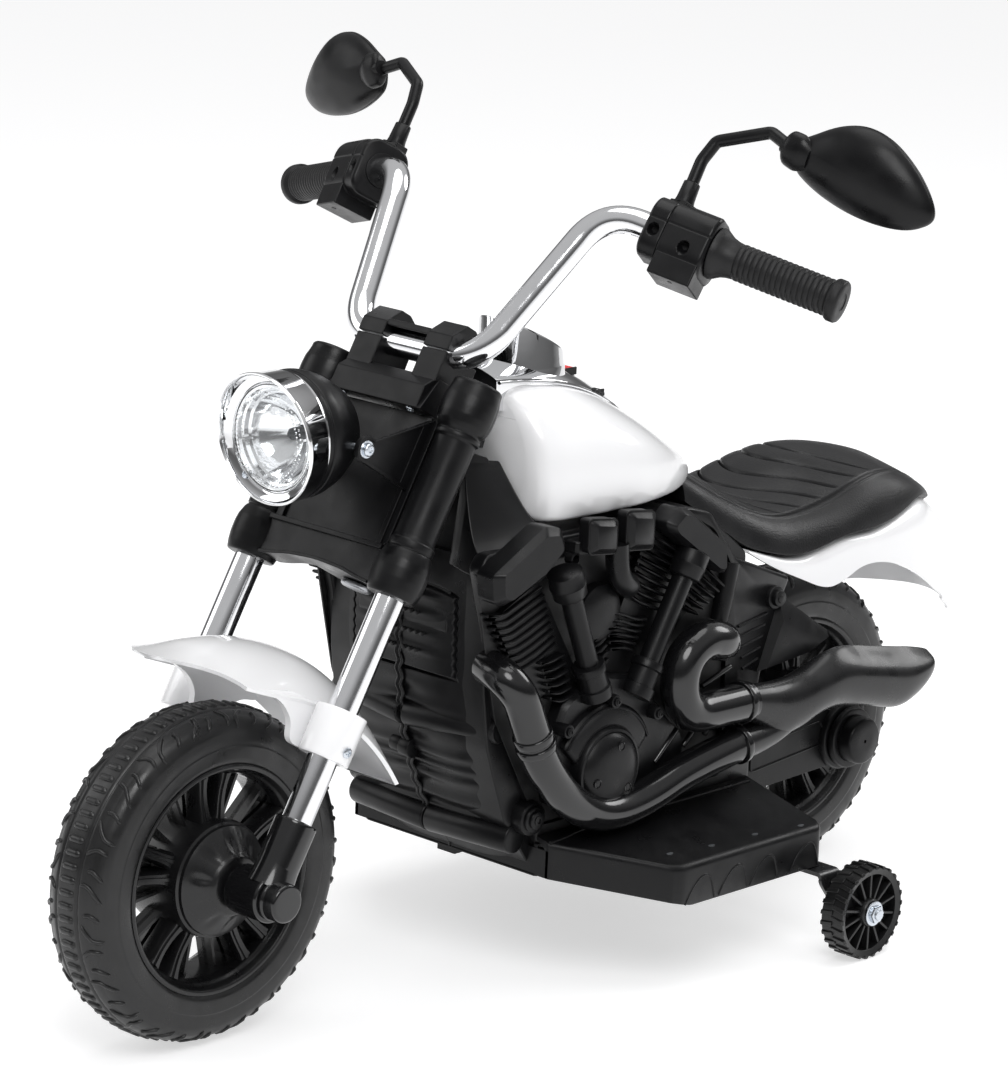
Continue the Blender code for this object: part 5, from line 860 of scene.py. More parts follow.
def makeLamp():
    outer = lampPlan["radius"]
    angle = fullTurn(160)[:, None]
    # The hood's front edge leans back towards the bottom: its place along y falls with a point's height
    radius = np.array([outer - 0.0021, outer - 0.0013, outer - 0.0004, outer, outer, outer - 0.0003,
                       outer - 0.0007, outer - 0.0007, outer - 0.0012, outer - 0.0012, 0.0337, 0.0337, 0.0352,
                       0.0362, 0.0395, outer - 0.0024])
    depth = np.array([0.0012, 0.0001, 0.0, 0.0008, 0.0022, 0.003, 0.0036, 0.0, 0.0, 0.0, 0.0, 0.0, 0.0, 0.0,
                      0.0, 0.004])
    fixed = np.array([np.nan] * 7 + [0.063, 0.0636, 0.0658, 0.0658, 0.056, 0.0548, 0.0546, 0.053, np.nan])
    hood = lampPlan["front"] - outer * np.cos(angle) * math.tan(lampPlan["rake"])
    along = np.where(np.isnan(fixed)[None, :], hood + depth[None, :], fixed[None, :])
    grid = np.stack([radius[None, :] * np.sin(angle), along,
                     lampPlan["height"] + radius[None, :] * np.cos(angle)], -1)
    ring = moved(skin(grid.transpose(1, 0, 2), alongClosed=True, ends=False), bike)
    piece("lampRing", "steering", "chromePlastic", ring, ["headlight_ring"], sharp=45.0)
    bowl = soften([(0.041, 0.0664), (0.041, 0.07), (0.0404, 0.0704), (0.0404, 0.0712), (0.041, 0.0716),
                   (0.0408, 0.078), (0.037, 0.09), (0.028, 0.105), (0.015, 0.1115), (0.0, 0.112)], 0.003, 4)
    back = soften([(0.0, 0.11), (0.013, 0.1096), (0.0262, 0.103), (0.035, 0.089), (0.0386, 0.078),
                   (0.0386, 0.0664)], 0.003, 3)
    piece("lampBowl", "steering", "satinBlack", lampTurn(np.concatenate([bowl, back]), closed=True),
          ["headlight_bucket"], sharp=40.0)

    def facets(angle, radius, along):
        # Long flat petals round the dish, and rings of fine steps
        petal = np.abs(np.mod(angle * 16 / (2 * math.pi), 1.0) - 0.5)
        return radius * 0.02 * (petal - 0.25) * (radius > 0.006) * (radius < 0.03)
    dish = [(0.033, 0.0566), (0.0312, 0.0568), (0.0306, 0.059), (0.0292, 0.06), (0.0284, 0.0628),
            (0.027, 0.064), (0.0252, 0.068), (0.0222, 0.0722), (0.018, 0.0764), (0.012, 0.0806),
            (0.0062, 0.0826), (0.0046, 0.0826), (0.0046, 0.0842), (0.012, 0.0836), (0.0222, 0.0762),
            (0.033, 0.062)]
    piece("lampDish", "steering", "reflector", lampTurn(dish, 192, True, facets),
          ["headlight_reflector"], sharp=18.0)
    lensFace, dome, lensRadius = lampPlan["lensFace"], lampPlan["dome"], lampPlan["lensRadius"]
    share = np.linspace(0.0, 1.0, 22)
    front = np.stack([lensRadius * share, lensFace - dome * (1 - share ** 2)], 1)
    lens = np.concatenate([front, [(lensRadius, lensFace + 0.002)], (front + [0.0, 0.0014])[::-1]])
    lens = lampTurn(lens, 128)
    dots = []
    count = lampPlan["dots"]
    place = fullTurn(count)
    theta = fullTurn(8)[None, :]
    size = lampPlan["dotRadius"] * np.array([[0.0], [0.7], [1.0]])
    rise = np.array([[0.00062], [0.00042], [0.0]])
    # Rings of small domes inside the lens rim, each a coarse half ball
    for row, reach in enumerate(lampPlan["dotRings"]):
        for turn in place + row * math.pi / count:
            ball = np.stack([
                reach * math.sin(turn) + size * np.cos(theta),
                -rise + 0 * theta + lensFace - dome * (1 - (reach / lensRadius) ** 2),
                lampPlan["height"] + reach * math.cos(turn) + size * np.sin(theta),
            ], -1)
            dots.append(moved(skin(ball), bike))
    piece("lampLens", "steering", "clearLens", [lens] + dots, ["headlight_lens"], sharp=40.0)
    bulb = lampTurn([(0.0, 0.07), (0.0016, 0.0702), (0.0028, 0.0716), (0.0038, 0.0728), (0.004, 0.075),
                     (0.004, 0.0868), (0.0, 0.0868)], 40)
    piece("lampBulb", "steering", "caseGrey", bulb, ["headlight_lamp"])
    screws = []
    reach = lampPlan["screwReach"]
    for turn in np.radians(lampPlan["screwTurns"]):
        spot = bike([reach * math.sin(turn), 0.0535, lampPlan["height"] + reach * math.cos(turn)])
        screws.append(phillips(spot, (0, -1, 0), 0.0022, 0.0008))
    piece("lensScrews", "steering", "zinc", screws)


makeLamp()
print("headlamp ready")


def flow(points, steps=6):
    # A smooth curve through the middles of a row of control points, from the first point to the last
    points = np.asarray(points, float)
    middles = (points[:-1] + points[1:]) / 2
    start = np.concatenate([points[:1], middles[1:-1]])
    stop = np.concatenate([middles[1:-1], points[-1:]])
    share = np.linspace(0.0, 1.0, steps, endpoint=False).reshape((1, steps) + (1,) * (points.ndim - 1))
    curve = curved(start[:, None], points[1:-1, None], stop[:, None], share)
    return np.concatenate([curve.reshape((-1,) + points.shape[1:]), points[-1:]])


def carve(made, shapes):
    # Cuts closed shapes out of a finished piece with Blender's exact Boolean and keeps the result as its mesh
    for shape in shapes:
        mesh = bpy.data.meshes.new("cutter")
        mesh.from_pydata(np.asarray(shape[0]).tolist(), [], shape[1])
        work = bmesh.new()
        work.from_mesh(mesh)
        bmesh.ops.recalc_face_normals(work, faces=work.faces)
        work.to_mesh(mesh)
        work.free()
        cutter = bpy.data.objects.new("cutter", mesh)
        bpy.context.scene.collection.objects.link(cutter)
        change = made.modifiers.new("carve", "BOOLEAN")
        change.operation = "DIFFERENCE"
        change.solver = "EXACT"
        change.object = cutter
        graph = bpy.context.evaluated_depsgraph_get()
        result = bpy.data.meshes.new_from_object(made.evaluated_get(graph))
        made.modifiers.remove(change)
        made.data = result
        bpy.data.objects.remove(cutter)
    made.data.shade_smooth()
    made.data.set_sharp_from_angle(angle=math.radians(34.0))
    return made


# Handlebar clamp: a bevelled base, two uprights, their caps and a thin bridge
def makeClamp():
    base = [(-0.0198, 0.3175), (-0.0198, 0.333), (-0.012, 0.3412), (0.048, 0.3412), (0.0488, 0.34),
            (0.0488, 0.3175)]
    upright = [(-0.014, 0.338), (-0.014, 0.3588), (0.0178, 0.3588), (0.0186, 0.34)]
    cap = [(-0.0146, 0.3596), (-0.0146, 0.369), (-0.005, 0.38), (0.004, 0.38), (0.015, 0.375),
           (0.0165, 0.3596)]
    low, high = 0.3175, 0.3412
    flare = np.array([[[-0.0424, back, low], [0.0424, back, low], [0.04, inset, high], [-0.04, inset, high]]
                      for back, inset in ((-0.0198, -0.01), (0.0488, 0.047))])
    shapes = [skin(flare), slab(base, -0.039, 0.039)]
    for side in (1, -1):
        shapes.append(sided(slab(upright, 0.0182, 0.0398), side))
    shapes = allMoved(shapes, fork)
    piece("clampBase", "steering", "satinBlack", shapes, ["clamp_block"], bevel=0.0008)
    caps = [slab(cap, 0.0182, 0.0398), slab(cap, -0.0398, -0.0182),
            block((-0.019, -0.012, 0.369), (0.019, 0.011, 0.3712)),
            block((-0.019, -0.0138, 0.3668), (0.019, -0.0112, 0.3712)),
            block((-0.019, 0.0105, 0.3596), (0.019, 0.0135, 0.3712))]
    piece("clampCaps", "steering", "satinBlack", allMoved(caps, fork), ["clamp_cap"], bevel=0.0008)
    heads = []
    down = fork([0, 0, 0]) - fork([0, 0.3, 1.0])
    for across in (-0.03, 0.03):
        heads.append(phillips(fork([across, -0.0145, 0.3172]), down, 0.003, 0.0014))
    piece("clampScrews", "steering", "zinc", heads)


makeClamp()


# Handlebar: one bent tube, and a frame along its outer run for what it carries
barPlan = {
    "radius": 0.009,
    "end": np.array([0.2388, 0.0809, 0.4711]),
    "shoulder": np.array([0.0894, 0.0165, 0.479]),
    "corner": np.array([0.0551, -0.002, 0.3593]),
    "housing": (0.0335, 0.078),
    "grip": (0.0783, 0.1668),
    "gripRibs": 17,
    "mirrorX": 0.128,
    "mirrorBack": 0.0397,
}


def barPlace(points):
    # Points given as (out along the bar, back, up), in the fork's frame
    out = barPlan["end"] - barPlan["shoulder"]
    out = out / np.linalg.norm(out)
    up = np.array([0.0, 0.0, 1.0]) - out * out[2]
    up /= np.linalg.norm(up)
    back = np.cross(up, out)
    points = np.asarray(points, float)
    return barPlan["shoulder"] + points[..., :1] * out + points[..., 1:2] * back + points[..., 2:] * up


def makeHandlebar():
    end, shoulder, corner = barPlan["end"], barPlan["shoulder"], barPlan["corner"]
    left = soften([end, shoulder, corner, [0.0, corner[1], corner[2]]], 0.0265, 14)
    run = np.linspace(0.0, 1.0, 10)[:-1, None]
    left = np.concatenate([left[0] + (left[1] - left[0]) * run, left[1:-1]])
    path = np.concatenate([left, left[::-1] * [-1, 1, 1]])
    tube = tubeAlong(path, barPlan["radius"], 40, up=(0.0, 1.0, 0.0))
    piece("handlebarTube", "steering", "chromeTube", moved(tube, fork), ["handlebar"], sharp=60.0)


def makeHousing(word, side):
    start, stop = barPlan["housing"]
    outline = np.array([(-0.0185, -0.0145), (-0.0125, -0.0215), (0.0125, -0.0215), (0.0185, -0.0145),
                        (0.0185, 0.0125), (0.0115, 0.0205), (-0.0115, 0.0205), (-0.0185, 0.0125)])
    section = soften(outline, 0.006, 8, closed=True)
    fine = np.concatenate([section, section[:1]])
    steps = np.insert(np.cumsum(np.linalg.norm(np.diff(fine, axis=0), axis=1)), 0, 0.0)
    spots = np.linspace(0.0, steps[-1], 240, endpoint=False)
    section = np.stack([np.interp(spots, steps, fine[:, 0]), np.interp(spots, steps, fine[:, 1])], 1)
    along = np.concatenate([[start, start + 0.0004, start + 0.001, start + 0.0018],
                            np.linspace(start + 0.0026, stop - 0.0026, 88),
                            [stop - 0.0018, stop - 0.001, stop - 0.0004, stop]])
    edge = np.minimum(along - start, stop - along)
    shrink = 0.0022 * np.clip(1 - edge / 0.0022, 0, 1) ** 2
    seamAt = start + 0.0135
    seam = 0.0007 * np.exp(-((along - seamAt) / 0.00045) ** 2)
    a, y, z = along[:, None], section[None, :, 0], section[None, :, 1]
    inner = (along < seamAt)[:, None]
    groove = 0.0006 * np.exp(-((z - 0.004) / 0.00045) ** 2) * (y < 0)
    dip = shrink[:, None] + seam[:, None] + groove + 0.0007 * inner
    for spotAlong, spotUp in ((start + 0.0068, -0.004), (start + 0.03, -0.008)):
        near = np.clip(1.25 - np.hypot(a - spotAlong, (z - spotUp) * 0.8) / 0.003, 0, 1)
        dip = dip + 0.006 * np.clip(near * 3.0, 0, 1) * (y < -0.01) * (1.0 + 20.0 * (z - spotUp))
    reach = np.hypot(y, z)
    grid = np.stack([a + 0 * y, y * (1 - dip / reach), z * (1 - dip / reach)], -1)
    lobe = block((start + 0.014, -0.0175, -0.03), (stop - 0.001, 0.012, -0.015))
    mirrorX, mirrorBack = barPlan["mirrorX"], barPlan["mirrorBack"]
    foot = block((mirrorX - 0.007, mirrorBack - 0.0062, 0.49), (mirrorX + 0.007, mirrorBack + 0.0062, 0.5005))
    ferrule = lathe([(0.0, 0.499), (0.0068, 0.499), (0.006, 0.503), (0.0054, 0.514), (0.0048, 0.5148),
                     (0.0, 0.5148)], 40, "z", (mirrorX, mirrorBack, 0.0))
    body = moved(moved(skin(grid), barPlace), fork, side)
    piece("switchHousing_" + word, "steering", "satinBlack", body, ["switch_housing_" + word], sharp=44.0)
    small = [moved(moved(lobe, barPlace), fork, side), moved(foot, fork, side), moved(ferrule, fork, side)]
    piece("switchBlock_" + word, "steering", "satinBlack", small, bevel=0.0013, segments=3)
    hole = pin(barPlace([start + 0.029, -0.01, -0.0296]), barPlace([start + 0.029, -0.01, -0.0302]), 0.0017,
               20, 0.0001)
    piece("switchHole_" + word, "steering", "deepBlack", moved(hole, fork, side))
    collar = pin(barPlace([start - 0.0012, 0, 0]), barPlace([start + 0.003, 0, 0]), 0.0118, 48, 0.0006)
    piece("barCollar_" + word, "steering", "satinBlack", moved(collar, fork, side))


def makeGrip(word, side):
    (start, end), count = barPlan["grip"], barPlan["gripRibs"]
    profile = [(0.0092, start), (0.016, start), (0.0168, start + 0.0006), (0.0167, start + 0.0022),
               (0.015, start + 0.005), (0.0132, start + 0.0082), (0.0121, start + 0.012),
               (0.0116, start + 0.016)]
    ribs = np.linspace(start + 0.0165, end - 0.0085, count * 8 + 1)
    wave = 0.0113 + 0.0007 * np.abs(np.sin(np.linspace(0.0, count * math.pi, count * 8 + 1))) ** 0.6
    tail = [(0.0115, end - 0.008), (0.0132, end - 0.0072), (0.0138, end - 0.006), (0.0138, end - 0.0018),
            (0.013, end - 0.0006), (0.01, end - 0.0001), (0.006, end), (0.0056, end - 0.0006),
            (0.0, end - 0.0007)]
    profile = np.concatenate([profile, np.stack([wave, ribs], 1), tail])
    grip = moved(lathe(profile, 56, "x"), barPlace)
    piece("gripSleeve_" + word, "steering", "gripBlack", moved(grip, fork, side),
          ["grip_" + word], sharp=50.0)


# Mirrors: pear-shaped heads on thin bent rods
mirrorPlan = {
    "neck": np.array([0.1815, 0.0553, 0.5563]),
    "tip": np.array([0.2776, 0.0928, 0.5363]),
    "depth": 0.0146,
    "stem": 0.0041,
}


def mirrorPlace(points):
    # Points given as (out along the head, up, towards the rider), in the fork's frame
    along = mirrorPlan["tip"] - mirrorPlan["neck"]
    along = along / np.linalg.norm(along)
    lean = np.array([0.0, -math.sin(bikePlan["rake"]), math.cos(bikePlan["rake"])])
    up = lean - along * (lean @ along)
    up /= np.linalg.norm(up)
    facing = np.cross(up, along)
    points = np.asarray(points, float)
    return mirrorPlan["neck"] + points[..., :1] * along + points[..., 1:2] * up + points[..., 2:] * facing


def makeMirror(word, side):
    outline = np.array([(0.0, 0.004), (0.008, 0.011), (0.022, 0.025), (0.04, 0.034), (0.06, 0.0335),
                        (0.08, 0.025), (0.094, 0.015), (0.103, 0.005), (0.103, -0.003), (0.092, -0.013),
                        (0.075, -0.019), (0.055, -0.022), (0.035, -0.0215), (0.018, -0.0185),
                        (0.004, -0.013)])
    outline = soften(outline, 0.02, 7, closed=True)
    middle = np.array([0.05, 0.005])
    arm = outline - middle
    length = np.linalg.norm(arm, axis=1, keepdims=True)

    def ring(inset, depth, scale=1.0):
        flat = middle + arm * (1 - inset / length) * scale
        return np.column_stack([flat, np.full(len(flat), depth)])
    rings = [ring(0.0017, 0.0012), ring(0.0015, 0.0026), ring(0.0011, 0.003), ring(0.0004, 0.003),
             ring(0.0, 0.0024), ring(0.0, 0.0008), ring(0.0006, 0.0004), ring(0.0006, -0.0002),
             ring(0.0, -0.0006)]
    share = np.sin(np.linspace(0.0, 1.0, 22)[1:] * math.pi / 2)
    for value in share:
        scale = math.sqrt(max(0.0, 1 - value ** 2.0))
        rings.append(ring(0.0, -0.0006 - mirrorPlan["depth"] * value ** 1.15, max(scale, 0.004)))
    body = "mirror_" + word
    boss = np.array([(-0.005, -0.001, -0.006), (0.001, -0.0012, -0.0064), (0.007, -0.001, -0.0066),
                     (0.013, 0.0, -0.0068)])
    boss = tubeAlong(flow(boss, 5), flow([0.005, 0.0066, 0.0066, 0.003], 5), 28)
    run = flow([(-0.0034, -0.001, -0.0052), (-0.0026, -0.001, -0.0056), (0.003, -0.0009, -0.0062),
                (0.009, -0.0007, -0.0068), (0.015, -0.0005, -0.007)], 6)
    collar = tubeAlong(run, flow([0.007, 0.0112, 0.0122, 0.0124, 0.008], 6), 48, squash=0.56)
    shell = [moved(moved(shape, mirrorPlace), fork, side) for shape in (skin(np.stack(rings)), boss, collar)]
    piece("mirrorShell_" + word, body, "satinBlack", shell, ["mirror_shell_" + word], sharp=50.0)
    glass = np.stack([ring(0.0019, 0.0013), ring(0.0019, 0.0025), ring(0.0, 0.0027, 0.6),
                      ring(0.0, 0.0028, 0.2)])
    piece("mirrorGlass_" + word, body, "mirrorFilm",
          moved(moved(skin(glass), mirrorPlace), fork, side), ["mirror_glass_" + word], sharp=40.0)
    mirrorX, mirrorBack = barPlan["mirrorX"], barPlan["mirrorBack"]
    path = [[mirrorX, mirrorBack, 0.5], [mirrorX, mirrorBack, 0.53], [0.1324, 0.0411, 0.5447],
            [0.1632, 0.0508, 0.5603], mirrorPlace([0.005, -0.0016, -0.006])]
    path = soften(path, 0.0025, 6)
    stem = tubeAlong(path, mirrorPlan["stem"], 24, up=(0.0, 1.0, 0.0))
    piece("mirrorStem_" + word, body, "satinBlack", moved(stem, fork, side),
          ["mirror_stem_" + word], sharp=60.0)


makeHandlebar()
for side, word in sides:
    makeHousing(word, side)
    makeGrip(word, side)
    makeMirror(word, side)
print("handlebar and mirrors ready")


# Tank: stations along the bike, each with half width, bottom and top
tankPlan = {
    "stations": np.array([
        (0.2262, 0.056, 0.3165, 0.399), (0.2285, 0.068, 0.312, 0.4018), (0.24, 0.0752, 0.3112, 0.4025),
        (0.258, 0.0785, 0.3112, 0.401), (0.284, 0.0796, 0.3112, 0.3962), (0.3175, 0.078, 0.3112, 0.3822),
        (0.345, 0.0724, 0.3112, 0.3678), (0.374, 0.0606, 0.3112, 0.3494), (0.404, 0.0408, 0.3112, 0.3318),
        (0.4205, 0.02, 0.312, 0.3215), (0.4208, 0.006, 0.313, 0.319)]),
    "section": np.array([(0.0, 0.0), (0.5, 0.0), (0.96, -0.004), (1.0, 0.1), (1.015, 0.3), (0.95, 0.59),
                         (0.74, 0.8), (0.42, 0.945), (0.15, 0.998), (0.0, 1.0)]),
}


def steeringRoom():
    # The space that the clamp sweeps behind the steering axis
    return moved(block((-0.048, -0.02, 0.316), (0.048, 0.063, 0.344)), fork)


def makeTank():
    half = tankPlan["section"]
    whole = np.concatenate([half, half[-2:0:-1] * [-1, 1]])
    whole = np.concatenate([whole, whole[:1]])
    y, width, low, high = (tankPlan["stations"][:, index][:, None] for index in range(4))
    control = np.stack([width * whole[None, :, 0], y + 0 * whole[None, :, 0],
                        low + (high - low) * whole[None, :, 1]], -1)
    grid = flow(control, 8)
    grid = flow(grid.transpose(1, 0, 2), 7)[:-1].transpose(1, 0, 2)
    made = piece("tankShell", "chassis", "whitePlastic", moved(skin(grid), bike), ["tank_shell"], sharp=50.0)
    carve(made, [steeringRoom()])
    made.data.set_sharp_from_angle(angle=math.radians(50.0))


# Dash: a chromed ridge along the tank with a slanted gauge pod
dashPlan = {
    "stations": np.array([
        (0.22, 0.034, 0.4076, 0.4008), (0.25, 0.0348, 0.406, 0.3988), (0.284, 0.0345, 0.402, 0.392),
        (0.31, 0.03, 0.3932, 0.3834), (0.341, 0.022, 0.3772, 0.3694), (0.36, 0.0142, 0.3652, 0.359),
        (0.3736, 0.005, 0.3552, 0.3505)]),
    "podY": 0.2775,
    "podRadius": 0.0285,
    "podFront": 0.434,
    "podRear": 0.403,
}


def podHeight(along):
    # The pod's top is a plane that falls from front to rear
    share = (along + dashPlan["podRadius"]) / (2 * dashPlan["podRadius"])
    return dashPlan["podFront"] + share * (dashPlan["podRear"] - dashPlan["podFront"])


def makeDash():
    y, half, middle, edge = (dashPlan["stations"][:, index][:, None] for index in range(4))
    across = np.array([-1.0, -0.97, -0.85, -0.5, 0.0, 0.5, 0.85, 0.97, 1.0])[None, :]
    top = edge + (middle - edge) * (1 - np.abs(across) ** 2.6)
    control = np.stack([half * across, y + 0 * across, top], -1)
    left = np.stack([-half[:, 0] - 0.0004, y[:, 0], edge[:, 0] - 0.02], -1)[:, None]
    right = left * [-1, 1, 1]
    grid = flow(np.concatenate([left, control, right], 1), 7)
    grid = flow(grid.transpose(1, 0, 2), 6).transpose(1, 0, 2)
    panel = moved(skin(grid), bike)
    lipHalf, lipLow = half[:, 0] + 0.0022, edge[:, 0]
    lip = np.stack([lipHalf, y[:, 0], lipLow - 0.0012], -1)
    path = flow(np.concatenate([lip, [[0.0, 0.379, 0.3505]], (lip * [-1, 1, 1])[::-1]]), 6)
    rim = moved(tubeAlong(path, 0.0016, 10, squash=0.7), bike)
    angle = fullTurn(96)
    podRadius, podY = dashPlan["podRadius"], dashPlan["podY"]
    rings = []
    # Rings of the pod: growth of its radius, lift from its slanted top, and a level it stays below, if any
    for grow, lift, level in ((0.0018, 0.0, 0.386), (0.0004, -0.003, 0.4), (0.0, -0.003, 0.401),
                              (-0.0004, -0.0016, 0.0), (-0.001, -0.0003, 0.0), (-0.002, 0.0, 0.0),
                              (-0.0034, -0.0004, 0.0), (-0.004, -0.002, 0.0), (-0.0042, -0.004, 0.0)):
        radius = podRadius + grow
        height = podHeight(radius * np.sin(angle)) + lift
        if level:
            height = np.minimum(height, level)
        rings.append(np.column_stack([radius * np.cos(angle), podY + radius * np.sin(angle), height]))
    pod = moved(skin(np.stack(rings)), bike)
    made = piece("dashRidge", "chassis", "chromePlastic", [panel], ["dash_panel"], sharp=45.0)
    carve(made, [steeringRoom()])
    made.data.set_sharp_from_angle(angle=math.radians(45.0))
    trim = piece("dashTrim", "chassis", "chromePlastic", [rim], sharp=45.0)
    carve(trim, [steeringRoom()])
    piece("gaugePod", "chassis", "chromePlastic", [pod], sharp=40.0)

    def podTop(points):
        # Flat points (across, along) laid on the slanted top, lifted square to the ground
        x, along, lift = points[..., 0], points[..., 1], points[..., 2]
        return bike(np.stack([x, podY + along, podHeight(along) + lift], -1))
    dial = podRadius - 0.0041
    face = [lathe([(0.0, -0.0034), (dial, -0.0034), (dial, -0.0024), (0.0, -0.0024)], 64, "z")]
    piece("gaugeFace", "chassis", "glossBlack", allMoved(face, podTop), slotName="black_plastic")
    ring = lathe(soften([(dial - 0.001, -0.003), (dial, -0.003), (dial, -0.0012), (dial - 0.001, -0.0016)],
                        0.0003, 2, True), 72, "z", closed=True)
    ticks = []
    for turn in np.radians(np.arange(-130, 131, 13)):
        long = 0.0042 if abs(round(math.degrees(turn))) % 26 == 0 else 0.0026
        reach = dial - 0.0026
        mark = tile([(-0.0003, reach - long), (0.0003, reach - long), (0.0003, reach), (-0.0003, reach)],
                    -0.0024, -0.0021)
        points = mark[0]
        cosine, sine = math.cos(turn), math.sin(turn)
        turned = np.stack([points[:, 0] * cosine - points[:, 1] * sine,
                           -(points[:, 0] * sine + points[:, 1] * cosine), points[:, 2]], -1)
        ticks.append((turned, mark[1]))
    needle = [tile([(-0.0007, 0.002), (0.0009, 0.002), (0.0092, -0.012)], -0.0023, -0.0018),
              lathe([(0.0, -0.0024), (0.0024, -0.0024), (0.002, -0.0012), (0.0, -0.0011)], 24, "z")]
    piece("gaugeMarks", "chassis", "whitePlastic", allMoved(ticks, podTop))
    piece("gaugeNeedle", "chassis", "redPlastic", allMoved(needle, podTop))
    piece("gaugeRing", "chassis", "glossBlack", [moved(ring, podTop)])
    # Three small dark blocks set into each side edge of the dash, in front of the black rocker
    darkDashes = []
    for y in (0.3235, 0.329, 0.3345):
        reach = np.interp(y, dashPlan["stations"][:, 0], dashPlan["stations"][:, 1])
        level = np.interp(y, dashPlan["stations"][:, 0], dashPlan["stations"][:, 3])
        darkDashes += bothWays(block((reach - 0.0035, y - 0.0014, level + 0.0012),
                                (reach - 0.001, y + 0.0014, level + 0.0034)))
    piece("dashDarkDashes", "chassis", "deepBlack", allMoved(darkDashes, bike), bevel=0.0003)


def makeRocker(name, y, z, look, slotName=None):
    low = z - 0.0096
    face = np.linspace(-1.0, 1.0, 17)
    curve = z + 0.002 - 0.002 * face + 0.0022 * (face ** 2 - 0.55)
    top = np.stack([y + 0.0085 * face, curve], 1)[::-1]
    outline = np.concatenate([[(y - 0.0085, low), (y + 0.0085, low)], top])
    shape = moved(slab(outline, -0.0059, 0.0059), bike)
    piece(name + "Key", name, look, shape, [name], bevel=0.0006, slotName=slotName)
    frameRing = []
    for sign in (-1, 1):
        frameRing.append(block((sign * 0.0066 - 0.0007, y - 0.0096, z - 0.004),
                               (sign * 0.0066 + 0.0007, y + 0.0096, z + 0.0012)))
    piece(name + "Seat", "chassis", "satinBlack", allMoved(frameRing, bike), bevel=0.0004)


makeTank()
makeDash()
makeRocker("power_switch", 0.315, 0.3905, "redPlastic")
makeRocker("direction_switch", 0.343, 0.372, "glossBlack", "black_plastic")
print("tank and dash ready")


# Seat: one padded cover, with bowed channels, a seam round the crown and a wide skirt
seatPlan = {
    "stations": np.array([
        (0.388, 0.052, 0.044, 0.3, 0.318, 0.328), (0.412, 0.06, 0.05, 0.282, 0.303, 0.315),
        (0.436, 0.066, 0.054, 0.264, 0.29, 0.304), (0.457, 0.071, 0.056, 0.2575, 0.2815, 0.291),
        (0.478, 0.073, 0.057, 0.2525, 0.2755, 0.286), (0.5, 0.074, 0.058, 0.253, 0.2745, 0.292),
        (0.533, 0.074, 0.058, 0.2595, 0.278, 0.305), (0.568, 0.073, 0.057, 0.2585, 0.289, 0.306),
        (0.6, 0.069, 0.051, 0.264, 0.29, 0.3), (0.628, 0.06, 0.043, 0.27, 0.284, 0.292),
        (0.652, 0.048, 0.034, 0.266, 0.274, 0.282), (0.674, 0.033, 0.023, 0.257, 0.264, 0.27),
        (0.686, 0.018, 0.012, 0.25, 0.255, 0.259)]),
    "front": 0.388,
    "rear": 0.686,
    "rows": 430,
    "channelFirst": 0.4316,
    "channelPitch": 0.0205,
    "channelCount": 9,
    "channelDepth": 0.0042,
    "bow": 0.052,
}


def makeSeat():
    fine = flow(seatPlan["stations"], 12)
    front, rear = seatPlan["front"], seatPlan["rear"]
    rows = np.linspace(front, rear, seatPlan["rows"])

    def lookUp(y, column):
        return np.interp(y, fine[:, 0], fine[:, column])
    across = np.concatenate([np.linspace(0.0, 0.9, 28), np.linspace(0.91, 1.0, 12)])[None, :]
    rim = rows[:, None]
    y = np.clip(rim - seatPlan["bow"] * (1 - across ** 2), front, rear)
    rimHeight, crown = lookUp(y, 4), lookUp(y, 5)
    height = rimHeight + (crown - rimHeight) * (1 - across ** 2.2)
    # Puffs between the channels rise as a sine and fall into narrow creases, fading at the seam
    last = seatPlan["channelFirst"] + seatPlan["channelPitch"] * (seatPlan["channelCount"] - 1)
    phase = (rim - seatPlan["channelFirst"]) / seatPlan["channelPitch"]
    inside = np.clip((rim - seatPlan["channelFirst"] + 0.006) / 0.006, 0,
                     1) * np.clip((last + 0.006 - rim) / 0.006, 0, 1)
    inside = inside * np.clip((0.93 - across) / 0.1, 0, 1)
    gap = np.abs(phase - np.round(phase)) * seatPlan["channelPitch"]
    crease = np.exp(-(gap / 0.001) ** 2)
    puff = np.sqrt(np.abs(np.sin(math.pi * phase)) + 1e-9)
    height = height - seatPlan["channelDepth"] * crease * inside + 0.0009 * puff * inside - 0.0006 * inside
    seam = np.exp(-((across - 0.955) / 0.014) ** 2)
    height = height - 0.0024 * seam
    x = lookUp(rim, 2) * across
    top = np.stack([x, y + 0 * x, height], -1)
    # Skirt: bulges a little below the rim, then drops to the bottom edge and turns under
    skirt = np.array([(0.01, 0.01), (0.1, 0.05), (0.32, 0.15), (0.58, 0.32), (0.8, 0.55), (0.93, 0.78),
                      (0.985, 0.93), (1.0, 0.985), (0.992, 1.0), (0.95, 1.0)])
    skirt = flow(skirt, 3)
    rimHalf, skirtHalf, low, rimUp = lookUp(rim, 2), lookUp(rim, 1), lookUp(rim, 3), lookUp(rim, 4)
    side = np.stack([rimHalf + (skirtHalf - rimHalf) * skirt[None, :, 0], rim + 0 * skirt[None, :, 0],
                     rimUp - 0.0004 + (low - rimUp) * skirt[None, :, 1]], -1)
    half = np.concatenate([top, side], 1)
    under = np.stack([0 * rim, rim, low + 0.001 + 0 * rim], -1)
    whole = np.concatenate([half, under, (half[:, :0:-1]) * [-1, 1, 1]], 1)
    made = piece("seatCover", "chassis", "seatLeather", moved(skin(whole), bike), ["seat"], sharp=75.0)


makeSeat()


